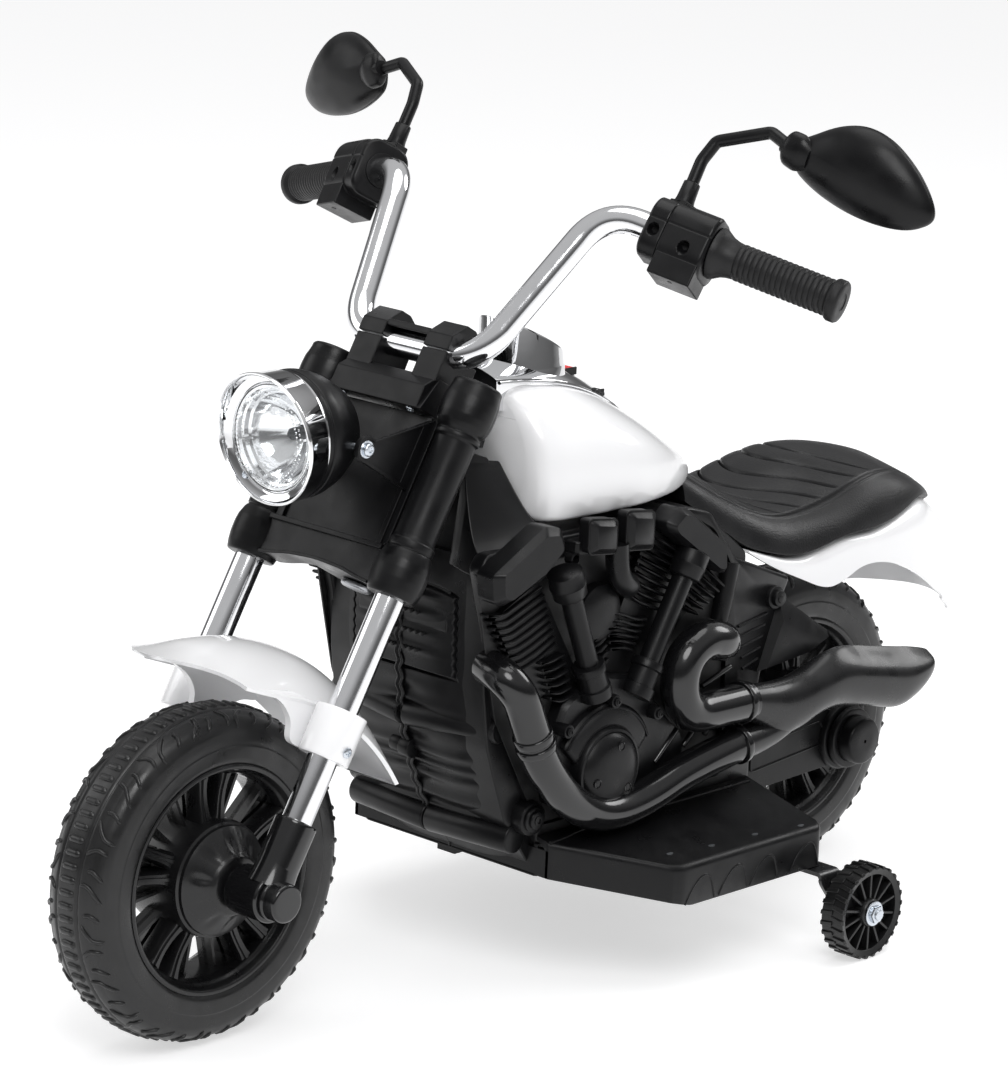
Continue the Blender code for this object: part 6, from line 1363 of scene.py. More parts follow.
# Rear fender: stations as spine along and up, lower edge along and up, half width
fenderPlan = {
    "stations": np.array([
        (0.4335, 0.265, 0.434, 0.261, 0.0715), (0.457, 0.2575, 0.456, 0.248, 0.0735),
        (0.478, 0.2525, 0.485, 0.236, 0.0745), (0.5, 0.253, 0.5142, 0.2233, 0.0745),
        (0.533, 0.2595, 0.533, 0.2262, 0.0745), (0.55, 0.259, 0.5525, 0.235, 0.0745),
        (0.568, 0.2585, 0.5802, 0.2331, 0.074), (0.6, 0.264, 0.6118, 0.2206, 0.0715),
        (0.628, 0.27, 0.638, 0.206, 0.067), (0.652, 0.266, 0.66, 0.199, 0.061),
        (0.674, 0.257, 0.683, 0.192, 0.056), (0.686, 0.25, 0.692, 0.188, 0.0545),
        (0.701, 0.236, 0.699, 0.186, 0.053), (0.711, 0.212, 0.708, 0.181, 0.051),
        (0.715, 0.194, 0.712, 0.178, 0.05), (0.715, 0.18, 0.7135, 0.176, 0.049)]),
    "wall": 0.0024,
    "drop": 0.0016,
    "bow": 0.03,
}


def makeFender():
    table = fenderPlan["stations"]
    before, after = np.roll(table, 1, 0), np.roll(table, -1, 0)
    before[0], after[-1] = table[0], table[-1]
    along = (after - before)[:, :2]
    along /= np.linalg.norm(along, axis=1, keepdims=True)
    bow = fenderPlan["bow"] * np.clip((table[:, 0] - 0.63) / 0.075, 0, 1)
    layers = []
    for inward in (0.0, fenderPlan["wall"]):
        spine = table[:, :2] - [0, fenderPlan["drop"]] + np.stack([along[:, 1], -along[:, 0]], 1) * inward
        low = table[:, 2:4]
        half = table[:, 4] - inward
        ring = []
        for across, share in ((1.0, 1.0), (1.0, 0.55), (0.975, 0.12), (0.8, 0.0), (0.35, 0.0), (0.0, 0.0)):
            point = spine + (low - spine) * share
            ring.append(np.stack([half * across, point[:, 0] - bow * across ** 2, point[:, 1]], -1))
        ring = np.stack(ring, 1)
        whole = np.concatenate([ring, ring[:, -2::-1] * [-1, 1, 1]], 1)
        grid = flow(whole, 8)
        layers.append(flow(grid.transpose(1, 0, 2), 7).transpose(1, 0, 2))
    grid = np.concatenate([layers[0], layers[1][:, ::-1]], 1)
    piece("rearFenderSheet", "chassis", "whitePlastic", moved(skin(grid), bike), ["rear_fender"], sharp=50.0)


makeFender()
print("seat and fender ready")


# Body: two half shells that meet on the middle line, drawn for the rider's left and mirrored
bodyPlan = {
    "core": np.array([
        (0.229, 0.0803), (0.202, 0.118), (0.19, 0.15), (0.183, 0.17), (0.1775, 0.21), (0.1765, 0.245),
        (0.176, 0.296), (0.19, 0.3042), (0.365, 0.3042), (0.386, 0.298), (0.433, 0.262), (0.433, 0.0803)]),
    "side": np.array([
        (0.235, 0.0803), (0.2271, 0.1174), (0.205, 0.175), (0.188, 0.1925), (0.1796, 0.2472), (0.166, 0.293),
        (0.172, 0.302), (0.2175, 0.3042), (0.365, 0.3042), (0.386, 0.298), (0.4132, 0.2627), (0.471, 0.24),
        (0.4594, 0.2184), (0.446, 0.1788), (0.44, 0.15), (0.438, 0.0803)]),
    "bay": np.array([
        (0.232, 0.112), (0.188, 0.19), (0.178, 0.2334), (0.173, 0.256), (0.1668, 0.2861), (0.1698, 0.2955),
        (0.2175, 0.3), (0.364, 0.3), (0.39, 0.286), (0.408, 0.26), (0.408, 0.112)]),
    "neck": np.array([
        (0.176, 0.242), (0.18, 0.29), (0.185, 0.33), (0.19, 0.36), (0.21, 0.3525), (0.212, 0.344),
        (0.24, 0.3042), (0.24, 0.242)]),
    "arm": np.array([
        (0.43, 0.14), (0.43, 0.086), (0.545, 0.09), (0.56, 0.095), (0.56, 0.125), (0.53, 0.133)]),
    "halfGap": 0.00015,  # half the gap between the two shells
    "coreHalf": 0.07,
    "sideHalf": 0.078,
    "hub": (0.5527, 0.11),
}


def frontRelief(across, up):
    # How far the front stands out: louvres with a grooved border above, folds like a leather bag below
    border = 0.0455 + 0.0007 * np.sin(up * 900)
    top = 0.271 - 0.004 * (across / 0.046) ** 4
    edge = np.minimum.reduce([border - across, up - 0.2118, top - up])
    panel = 0.001 * np.clip(edge / 0.0008, 0, 1) - 0.003 * np.exp(-(edge / 0.0009) ** 2)
    rows = np.exp(-((up[..., None] - np.array([0.2265, 0.2385, 0.2515, 0.263])) / 0.0032) ** 2).sum(-1)
    louvres = 0.0016 * rows * np.exp(-(across / 0.036) ** 4) * (edge > 0)
    folds = np.sin(up * 560 + 0.8 * np.sin(across * 55) + 1.2 * np.sin(up * 170))
    rise = np.clip((up - 0.104) / 0.01, 0, 1)
    reach = np.clip((0.206 - up) / 0.02, 0, 1) * rise
    inner = np.clip((0.212 - up) / 0.008, 0, 1) * rise * np.exp(-(across / 0.016) ** 2)
    lower = np.clip((0.176 - up) / 0.02, 0, 1)
    wide = (0.0006 * lower + 0.00015) * np.exp(-((across - 0.02) / 0.038) ** 4)
    return panel + louvres + folds * (wide * reach + 0.0007 * inner)


def frontSkin():
    # The core's front, rounded back to the sides: along = front(up) + 0.010 (across / half)^4 - relief
    up = np.concatenate([np.linspace(0.081, 0.206, 190), np.linspace(0.2062, 0.276, 220),
                         np.linspace(0.278, 0.296, 8)])
    across = np.concatenate([np.linspace(bodyPlan["halfGap"], 0.04, 80), np.linspace(0.0403, 0.05, 40),
                             np.linspace(0.051, 0.0695, 14)])
    line = flow(bodyPlan["core"][:7], 10)
    front = np.interp(up, line[:, 1], line[:, 0])[:, None]
    x, z = np.meshgrid(across, up)
    y = front + 0.01 * (x / bodyPlan["coreHalf"]) ** 4 - frontRelief(x, z) + 0.0008
    grid = np.stack([x, y, z], -1)
    back = np.stack([x[:, [-1, 0]], y[:, [-1, 0]] * 0 + front + 0.016, z[:, [-1, 0]]], -1)
    return skin(np.concatenate([grid, back], 1))


def louvreHoles():
    made = []
    for up, places in ((0.2515, (0.0045, 0.01, 0.0155)), (0.2385, (0.0045, 0.01, 0.0155, 0.021)),
                       (0.2265, (0.005, 0.0105, 0.016))):
        for across in places:
            made.append(pin((across, 0.1725, up), (across, 0.179, up), 0.0014, 14))
    return made


def bodyRing(radiusIn, radiusOut, start, stop, edge=0.0012):
    # A ring or disc round the rear hub with rounded rims
    profile = [(radiusIn, start), (radiusOut - edge, start), (radiusOut, start + edge),
               (radiusOut, stop - edge), (radiusOut - edge * 0.3, stop - edge * 0.3),
               (radiusOut - edge, stop), (radiusIn, stop)]
    return lathe(profile, 72, "x", (0.0, *bodyPlan["hub"]), closed=True)


def makeBody():
    half, gap = bodyPlan["sideHalf"], bodyPlan["halfGap"]
    core = bodyPlan["core"] + np.array([[0.004, 0.0]] * 7 + [[0.0, 0.0]] * 5)
    for side, word in sides:
        rump = roundSlab(core, gap, bodyPlan["coreHalf"])
        neck = roundSlab(bodyPlan["neck"], gap, 0.04, 0.003)
        # The shoulder falls from the neck to the side: along and up move with the sine of the place across
        inner = np.array([(0.0385, 0.1772, 0.288), (0.0385, 0.188, 0.356), (0.0385, 0.22, 0.35),
                          (0.0385, 0.26, 0.288)])
        outer = np.array([(half - 0.0006, 0.17, 0.286), (half - 0.0006, 0.1712, 0.297),
                          (half - 0.0006, 0.225, 0.311), (half - 0.0006, 0.26, 0.29)])
        share = np.linspace(0.0, 1.0, 14)[:, None, None]
        shoulder = inner + (outer - inner) * np.concatenate([share, *[np.sin(share * math.pi / 2)] * 2], -1)
        deck = block((gap, 0.425, 0.239), (0.06, 0.6, 0.2494))
        plinth = block((gap, 0.23, 0.298), (0.056, 0.386, 0.3106))
        shell = piece("bodyShell_" + word, "chassis", "satinBlack",
                      allMoved((rump, neck, skin(shoulder), deck, plinth), bike, side),
                      ["body_" + word], bevel=0.0012)
        rearRoom = block((-0.001, 0.4365, 0.07), (0.034, 0.6, 0.234))
        carve(shell, [moved(rearRoom, bike, side)])
        piece("bodyFront_" + word, "chassis", "satinBlack", moved(frontSkin(), bike, side), sharp=60.0)
        panel = piece("bodySide_" + word, "chassis", "satinBlack",
                      moved(roundSlab(bodyPlan["side"], 0.066, half), bike, side), bevel=0.0022,
                      segments=3)
        carve(panel, [moved(roundSlab(bodyPlan["bay"], half - 0.004, half + 0.01, 0.005), bike, side)])
        details = [pin((0.001, 0.1838, 0.1795), (0.0725, 0.196, 0.1813), 0.0084, 48, 0.0009),
                   pin((0.0002, 0.2112, 0.103), (0.0716, 0.215, 0.1045), 0.0098, 48, 0.0012)]
        post = (0.2232, 0.1185)
        for radius, start, stop in ((0.0112, 0.06, 0.0795), (0.0088, 0.079, 0.0818), (0.0062, 0.0815, 0.084)):
            details.append(pin((start, *post), (stop, *post), radius, 40, 0.0007))
        details.append(lathe([(0.0016, 0.0835), (0.003, 0.0835), (0.0033, 0.0846), (0.0018, 0.0848)], 28, "x",
                             (0.0, *post), True))
        details.append(tubeAlong([(0.077, 0.408, 0.26), (0.0775, 0.4035, 0.24), (0.077, 0.3995, 0.222)],
                                 0.0068, 24))
        if side > 0:
            details.append(pin((-0.0155, 0.1893, 0.1553), (-0.0062, 0.1893, 0.1553), 0.0056, 28, 0.0006))
            details.append(pin((-0.0052, 0.188, 0.155), (0.004, 0.188, 0.155), 0.0068, 28, 0.0006))
        for step in range(5):
            drop = step * 0.0076
            details.append(tubeAlong([(0.078, 0.419 + 0.0015 * step, 0.214 - drop),
                                      (0.078, 0.448 - 0.0018 * step, 0.2185 - drop)], 0.0011, 10))
        gusset = [[(0.077, 0.46, 0.23), (0.077, 0.5139, 0.1955), (0.077, 0.49, 0.1835), (0.077, 0.44, 0.178)],
                  [(0.084, 0.459, 0.212), (0.085, 0.507, 0.1935), (0.085, 0.488, 0.186),
                   (0.084, 0.444, 0.1815)]]
        details.append(skin(np.array(gusset)))
        bolt = (0.4535, 0.229)
        for radius, start, stop in ((0.008, 0.07, 0.0815), (0.0056, 0.081, 0.0852), (0.003, 0.085, 0.086)):
            details.append(pin((start, *bolt), (stop, *bolt), radius, 32, 0.0006))
        piece("bodyTrim_" + word, "chassis", "satinBlack",
              allMoved(details, bike, side), bevel=0.0004, sharp=50.0)
        # Swing arm with a sunk panel line, and the boss and ring round the rear hub
        arm = roundSlab(bodyPlan["arm"], 0.048, 0.064)
        line = [(0.456, 0.118), (0.529, 0.124), (0.537, 0.108), (0.456, 0.101)]
        rib = np.insert(soften(line, 0.004, 4, True), 0, 0.0642, 1)
        shapes = [arm, tubeAlong(np.concatenate([rib, rib[:1]]), 0.0008, 8, (1.0, 0.0, 0.0)),
                  bodyRing(0.0165, 0.024, 0.0485, 0.069, 0.003),
                  bodyRing(0.0165, 0.0215, 0.069, 0.075, 0.0016)]
        piece("swingArm_" + word, "chassis", "satinBlack", allMoved(shapes, bike, side), bevel=0.001)
    holes = louvreHoles() + [mirrored(shape) for shape in louvreHoles()]
    piece("frontHoles", "chassis", "deepBlack", allMoved(holes, bike))
    # The moulding's parting line down the front wanders from side to side
    up = np.linspace(0.296, 0.099, 240)
    line = flow(bodyPlan["core"][:7], 10)
    along = np.interp(up, line[:, 1], line[:, 0]) - 0.0008
    across = 0.0011 * np.sin(up * 560)
    piece("frontSeam", "chassis", "deepBlack",
          moved(tubeAlong(np.stack([across, along, up], 1), 0.0012, 8, (0.0, 1.0, 0.0)), bike), sharp=60.0)
    beside = np.stack([across - 0.003, along + 0.0002, up], 1)
    piece("seamBead", "chassis", "satinBlack",
          moved(tubeAlong(beside, 0.0016, 10, (0.0, 1.0, 0.0)), bike), sharp=60.0)


makeBody()
print("body ready")


# Engine moulding. Fin rows run between a first and a last line of (along, up) points.
enginePlan = {
    "root": 0.0745,
    "rows": [
        # first fin, last fin, how many, outer face
        ([(0.1712, 0.2636), (0.1846, 0.261), (0.2015, 0.2676), (0.2201, 0.2739)],
         [(0.1984, 0.2235), (0.205, 0.2222), (0.2203, 0.2265), (0.2357, 0.2341)], 9, 0.0815),
        ([(0.2192, 0.2248), (0.2275, 0.2239), (0.2402, 0.2268)],
         [(0.2302, 0.1992), (0.2399, 0.195), (0.251, 0.198)], 6, 0.0845),
        ([(0.2627, 0.2448), (0.2684, 0.2472), (0.2749, 0.2511)],
         [(0.276, 0.2113), (0.2804, 0.2123), (0.285, 0.2157)], 8, 0.0835),
        ([(0.2792, 0.247), (0.295, 0.245), (0.3087, 0.2387), (0.3186, 0.2373)],
         [(0.2857, 0.2224), (0.2966, 0.2215), (0.302, 0.2205), (0.3065, 0.2184)], 6, 0.0845),
        ([(0.318, 0.294), (0.3307, 0.2883), (0.3487, 0.2778)],
         [(0.2988, 0.2589), (0.3116, 0.25), (0.3317, 0.2416)], 9, 0.0845),
        ([(0.372, 0.265), (0.3853, 0.2549), (0.394, 0.2478)],
         [(0.3552, 0.241), (0.3617, 0.2365), (0.3695, 0.2326)], 6, 0.085)],
    "finHalf": 0.0011,
    "hub": (0.2768, 0.145),
    "frontCover": np.array([
        (0.1619, 0.294), (0.2084, 0.3186), (0.2224, 0.3158), (0.2279, 0.3038), (0.2094, 0.2846),
        (0.1711, 0.2721), (0.1636, 0.2766)]),
    "rearCover": np.array([
        (0.3232, 0.303), (0.3347, 0.3122), (0.346, 0.3088), (0.3856, 0.2789), (0.3859, 0.2601),
        (0.3796, 0.2603), (0.3274, 0.2965)]),
    "frontRod": ((0.2312, 0.285), (0.2672, 0.196)),
    "rearRod": ((0.3562, 0.279), (0.3045, 0.189)),
    "rodAcross": 0.0895,
    "coverFaces": (0.0785, 0.092, 0.0975),  # foot, shoulder and face across
}


def fin(line, face):
    # A flat strip along a softened line, with round ends and a face drawn in from the edges
    line = soften(line, 0.006, 4)
    tangent = np.gradient(line, axis=0)
    tangent /= np.linalg.norm(tangent, axis=1, keepdims=True)
    normal = np.stack([-tangent[:, 1], tangent[:, 0]], 1)
    half = enginePlan["finHalf"]
    angle = np.linspace(-math.pi / 2, math.pi / 2, 5)[1:-1, None]
    startCap = line[0] + half * (-np.cos(angle) * tangent[0] - np.sin(angle) * normal[0])
    endCap = line[-1] + half * (np.cos(angle) * tangent[-1] + np.sin(angle) * normal[-1])
    ring = np.concatenate([line - normal * half, endCap, (line + normal * half)[::-1], startCap[::-1]])
    layers = [(enginePlan["root"], 0.0), (face - 0.0009, 0.0), (face - 0.0002, 0.35), (face, 0.75)]
    inward = np.concatenate([normal, -tangent[-1:] * np.ones((3, 1)), -normal[::-1],
                             tangent[:1] * np.ones((3, 1))])
    grid = [np.insert(ring + inward * half * share, 0, depth, 1) for depth, share in layers]
    return skin(np.stack(grid))


def chamfered(outline, low, shoulder, high, inset, reach=0.002):
    # An outline pushed out to a shoulder and then drawn in towards its middle to a smaller face
    outline = soften(outline, reach, 4, True)
    middle = outline.mean(0)
    away = outline - middle
    length = np.linalg.norm(away, axis=1, keepdims=True)
    layers = []
    for depth, share in ((low, 0.0), (shoulder, 0.0), (shoulder + 0.12 * (high - shoulder), 0.05),
                         (high, 1.0)):
        layers.append(np.insert(outline - away / length * inset * share, 0, depth, 1))
    return skin(np.stack(layers))


def pushrod(ends):
    top, foot = (np.array([enginePlan["rodAcross"], *end]) for end in ends)
    length = np.linalg.norm(foot - top)
    steps = [(0.0, 0.0104), (0.0008, 0.0117), (0.0095, 0.0118), (0.0102, 0.0122), (0.0112, 0.0118),
             (0.018, 0.0112), (0.0192, 0.01), (0.0196, 0.0072), (length - 0.0255, 0.0072),
             (length - 0.025, 0.0106), (length - 0.0235, 0.0112), (length - 0.02, 0.0112),
             (length - 0.019, 0.0098), (length - 0.008, 0.0098), (length - 0.0075, 0.0112),
             (length - 0.003, 0.0112), (length, 0.0108)]
    path = np.stack([top + (foot - top) / length * along for along, _ in steps])
    side = np.cross((foot - top) / length, [1.0, 0.0, 0.0])
    angle = fullTurn(40)
    ring = side[None] * np.cos(angle)[:, None] + np.array([1.0, 0.0, 0.0]) * np.sin(angle)[:, None]
    radius = np.array([size for _, size in steps])[:, None, None]
    return skin(path[:, None] + ring[None] * radius)


def crankcase():
    # The timing cover is a sector round the hub disc, with a raised rim and three bolts
    (hubY, hubZ), root = enginePlan["hub"], enginePlan["root"]
    angle = np.radians(np.linspace(22, 152, 40))
    arc = np.stack([hubY + 0.045 * np.cos(angle), hubZ + 0.044 * np.sin(angle)], 1)
    outline = np.concatenate([arc, [(0.252, 0.15), (0.264, 0.14), (0.3, 0.14), (0.306, 0.148)]])
    shapes = [chamfered(outline, root, 0.0905, 0.0925, 0.003, 0.001)]
    rim = np.insert(arc * 0.94 + np.array([hubY, hubZ]) * 0.06, 0, 0.0922, 1)
    shapes.append(tubeAlong(rim, 0.0011, 8, (1.0, 0.0, 0.0)))
    inner = np.stack([hubY + 0.03 * np.cos(angle), hubZ + 0.0295 * np.sin(angle)], 1)
    shapes.append(tubeAlong(np.insert(inner, 0, 0.0922, 1), 0.0009, 8, (1.0, 0.0, 0.0)))
    for y, z in ((0.2377, 0.1782), (0.2821, 0.1902), (0.3241, 0.1746)):
        for radius, start, stop in ((0.0046, root, 0.0945), (0.003, 0.094, 0.0962)):
            shapes.append(pin((start, y, z), (stop, y, z), radius, 24, 0.0005))
        shapes.append(lathe([(0.0009, 0.0955), (0.0018, 0.0955), (0.0019, 0.0966), (0.001, 0.0968)], 16, "x",
                            (0.0, y, z), True))
    lower = [(0.233, 0.125), (0.23, 0.17), (0.242, 0.195), (0.275, 0.208), (0.315, 0.2), (0.335, 0.175),
             (0.36, 0.15), (0.36, 0.125)]
    shapes.append(chamfered(np.array(lower), root, 0.083, 0.087, 0.003, 0.006))
    profile = [(0.029, root), (0.029, 0.0945), (0.0278, 0.0962), (0.0262, 0.0966), (0.0256, 0.0958),
               (0.025, 0.0966), (0.0225, 0.0992), (0.017, 0.101), (0.009, 0.1019)]
    shapes.append(lathe(profile, 96, "x", (0.0, hubY, hubZ)))
    return shapes


def discPockets():
    # Three small sockets in the hub disc: a dark dish with a raised lip
    hubY, hubZ = enginePlan["hub"]
    dishes, lips = [], []
    for degrees in (75.0, 195.0, 315.0):
        y = hubY + 0.0175 * math.cos(math.radians(degrees))
        z = hubZ + 0.0175 * math.sin(math.radians(degrees))
        dishes.append(pin((0.0985, y, z), (0.10125, y, z), 0.0024, 20, 0.0002))
        lips.append(lathe([(0.0024, 0.099), (0.0032, 0.099), (0.0031, 0.1014), (0.0026, 0.1016)], 24, "x",
                          (0.0, y, z), True))
    return dishes, lips


def makeEngine():
    for side, word in sides:
        floor = roundSlab(bodyPlan["bay"] * 0.996 + np.array([0.0011, 0.0009]), 0.0735, 0.0748, 0.005)
        piece("bayFloor_" + word, "chassis", "deepBlack", moved(floor, bike, side), ["engine_" + word])
        fins = []
        for first, last, count, face in enginePlan["rows"]:
            for share in np.linspace(0, 1, count):
                fins.append(fin(np.array(first) * (1 - share) + np.array(last) * share, face))
        piece("coolingFins_" + word, "chassis", "satinBlack", allMoved(fins, bike, side), sharp=50.0)
        barrels = [roundSlab([(0.178, 0.26), (0.218, 0.278), (0.256, 0.215), (0.216, 0.196)], 0.074, 0.0795),
                   roundSlab([(0.322, 0.296), (0.39, 0.254), (0.34, 0.215), (0.29, 0.23)], 0.074, 0.079)]
        for cover in ("frontCover", "rearCover"):
            barrels.append(chamfered(enginePlan[cover], *enginePlan["coverFaces"], 0.006, 0.003))
        barrels += [pushrod(enginePlan["frontRod"]), pushrod(enginePlan["rearRod"])]
        base = [(0.244, 0.3018), (0.318, 0.3018), (0.318, 0.287), (0.244, 0.293)]
        barrels.append(chamfered(np.array(base), 0.074, 0.086, 0.088, 0.002, 0.002))
        for low, high, bottom in ((0.2475, 0.274, 0.2945), (0.2832, 0.3094, 0.2918)):
            square = np.array([(low, bottom), (high, bottom - 0.003), (high, 0.314), (low, 0.3175)])
            barrels.append(chamfered(square, 0.086, 0.0945, 0.0985, 0.005, 0.004))
            rim = np.insert(soften(square, 0.004, 4, True), 0, 0.0945, 1)
            barrels.append(tubeAlong(np.concatenate([rim, rim[:1]]), 0.0009, 8, (1.0, 0.0, 0.0)))
        barrels.append(tubeAlong(flow([(0.09, 0.28, 0.296), (0.09, 0.2806, 0.279), (0.089, 0.288, 0.269),
                                       (0.085, 0.3, 0.263), (0.076, 0.306, 0.26)], 8), 0.0078, 28))
        barrels.append(lathe([(0.0195, enginePlan["root"]), (0.019, 0.082), (0.016, 0.0838), (0.008, 0.085),
                              (0.001, 0.0852)], 56, "x", (0.0, 0.276, 0.248)))
        barrels.append(lathe([(0.003, 0.079), (0.004, 0.08), (0.004, 0.086), (0.003, 0.0866)], 24, "x",
                             (0.0, 0.245, 0.29), True))
        piece("engineBlocks_" + word, "chassis", "satinBlack",
              allMoved(barrels + crankcase(), bike, side), bevel=0.0004, sharp=40.0)
        dishes, lips = discPockets()
        piece("discSockets_" + word, "chassis", "deepBlack", allMoved(dishes, bike, side))
        ribs = []
        for top, foot in (((0.3511, 0.1573), (0.3302, 0.138)), ((0.3676, 0.1533), (0.3583, 0.1438)),
                          ((0.384, 0.153), (0.379, 0.148)), ((0.4025, 0.1912), (0.3741, 0.1824))):
            ribs.append(pin((0.087, *top), (0.087, *foot), 0.0019, 16, 0.0004))
        piece("engineRibs_" + word, "chassis", "glossBlack",
              allMoved(ribs + lips, bike, side), sharp=50.0, slotName="black_plastic")


makeEngine()
print("engine ready")


# Exhaust: bent pipes beside the engine that end in one fish-tail silencer on each side
exhaustPlan = {
    "across": 0.096,
    "frontRadius": 0.012,
    "rearRadius": 0.0132,
    "front": [(0.07, 0.185, 0.226), (0.086, 0.18, 0.225), (0.0945, 0.184, 0.217), (0.096, 0.19, 0.208),
              (0.096, 0.199, 0.1874), (0.096, 0.2117, 0.1598), (0.096, 0.2396, 0.1291),
              (0.096, 0.2716, 0.115), (0.096, 0.3102, 0.1184), (0.096, 0.3537, 0.1323),
              (0.096, 0.4062, 0.1392)],
    # The right-hand front pipe is shorter and bends straight into the crankcase
    "rightStart": [(0.07, 0.208, 0.164), (0.086, 0.209, 0.163), (0.0945, 0.211, 0.16)],
    "rear": [(0.076, 0.392, 0.209), (0.09, 0.39, 0.211), (0.096, 0.38, 0.215), (0.096, 0.362, 0.219),
             (0.096, 0.344, 0.209), (0.096, 0.34, 0.187), (0.096, 0.352, 0.169), (0.096, 0.3783, 0.168),
             (0.096, 0.4114, 0.1678)],
    "tail": [
        # along, low, high, half width
        (0.406, 0.156, 0.179, 0.0114), (0.42, 0.15, 0.178, 0.0124), (0.44, 0.137, 0.1762, 0.0134),
        (0.46, 0.14, 0.1775, 0.0142), (0.4785, 0.147, 0.183, 0.015), (0.4984, 0.149, 0.1905, 0.0156),
        (0.52, 0.1455, 0.188, 0.0162), (0.5422, 0.1405, 0.1835, 0.0166), (0.5652, 0.135, 0.179, 0.0162),
        (0.58, 0.1395, 0.1765, 0.015), (0.593, 0.1465, 0.1735, 0.0125), (0.602, 0.1545, 0.1708, 0.009),
        (0.6041, 0.161, 0.168, 0.004)],
    "stub": [(0.096, 0.405, 0.1392), (0.0962, 0.425, 0.1405), (0.0968, 0.448, 0.145), (0.097, 0.47, 0.154)],
}


def sleeve(place, direction, radius, length):
    place, direction = np.array(place), np.array(direction) / np.linalg.norm(direction)
    return pin(place - direction * length / 2, place + direction * length / 2, radius, 48, 0.0007)


def makeExhaust():
    frontRadius, rearRadius = exhaustPlan["frontRadius"], exhaustPlan["rearRadius"]
    across = exhaustPlan["across"]
    for side, word in sides:
        front = exhaustPlan["front"] if side > 0 else exhaustPlan["rightStart"] + exhaustPlan["front"][6:]
        pipes = [tubeAlong(flow(front, 12), frontRadius, 48, (1.0, 0.0, 0.0)),
                 tubeAlong(flow(exhaustPlan["rear"], 12), rearRadius, 48, (1.0, 0.0, 0.0))]
        rings = [sleeve((across, 0.4035, 0.139), (0.0, 1.0, 0.1), frontRadius + 0.0018, 0.005),
                 sleeve((across, 0.405, 0.1678), (0.0, 1.0, 0.0), rearRadius + 0.0014, 0.005)]
        if side > 0:
            rings += [sleeve((across, 0.2018, 0.1818), (0.0, 0.4, -0.9), frontRadius + 0.0014, 0.0055),
                      sleeve((across, 0.2048, 0.1748), (0.0, 0.4, -0.9), frontRadius + 0.0014, 0.005)]
        piece("exhaustTubes_" + word, "chassis", "glossBlack",
              allMoved(pipes + rings, bike, side), ["exhaust_pipes_" + word], sharp=50.0)
        stations = flow(exhaustPlan["tail"], 8)
        angle = fullTurn(72)[None]
        # Section: a superellipse that narrows to a ridge along the top
        along, low, high, half = (stations[:, [column]] for column in range(4))
        up, out = np.sin(angle), np.cos(angle)
        pinch = np.clip((along - 0.47) / 0.05, 0, 1) * np.clip(up, 0, 1) ** 2 * 0.85
        x = 0.0965 + half * np.sign(out) * np.abs(out) ** 0.9 * (1 - pinch)
        z = (low + high) / 2 + (high - low) / 2 * np.sign(up) * np.abs(up) ** 0.95
        shell = skin(np.stack([x, along + 0 * x, z], -1))
        stubPath = flow(exhaustPlan["stub"], 10)
        stub = tubeAlong(stubPath, np.linspace(frontRadius, 0.0075, len(stubPath)), 40, (1.0, 0.0, 0.0))
        piece("silencer_" + word, "chassis", "rimBlack",
              allMoved((shell, stub), bike, side), ["muffler_" + word], sharp=60.0)


makeExhaust()
print("exhaust ready")


# Tray, footboards, pedal, stabilisers and the drive
trayPlan = {
    "inner": 0.0778, "outer": 0.148, "front": 0.2292, "wide": 0.288, "rear": 0.4368, "bottom": 0.0602,
    "innerUp": 0.104,
    "outerUp": 0.088, "boardEnd": 0.433, "edge": 0.005,
}


def footTop(across):
    slope = (trayPlan["innerUp"] - trayPlan["outerUp"]) / (trayPlan["outer"] - 0.085)
    return trayPlan["innerUp"] - (across - 0.085) * slope


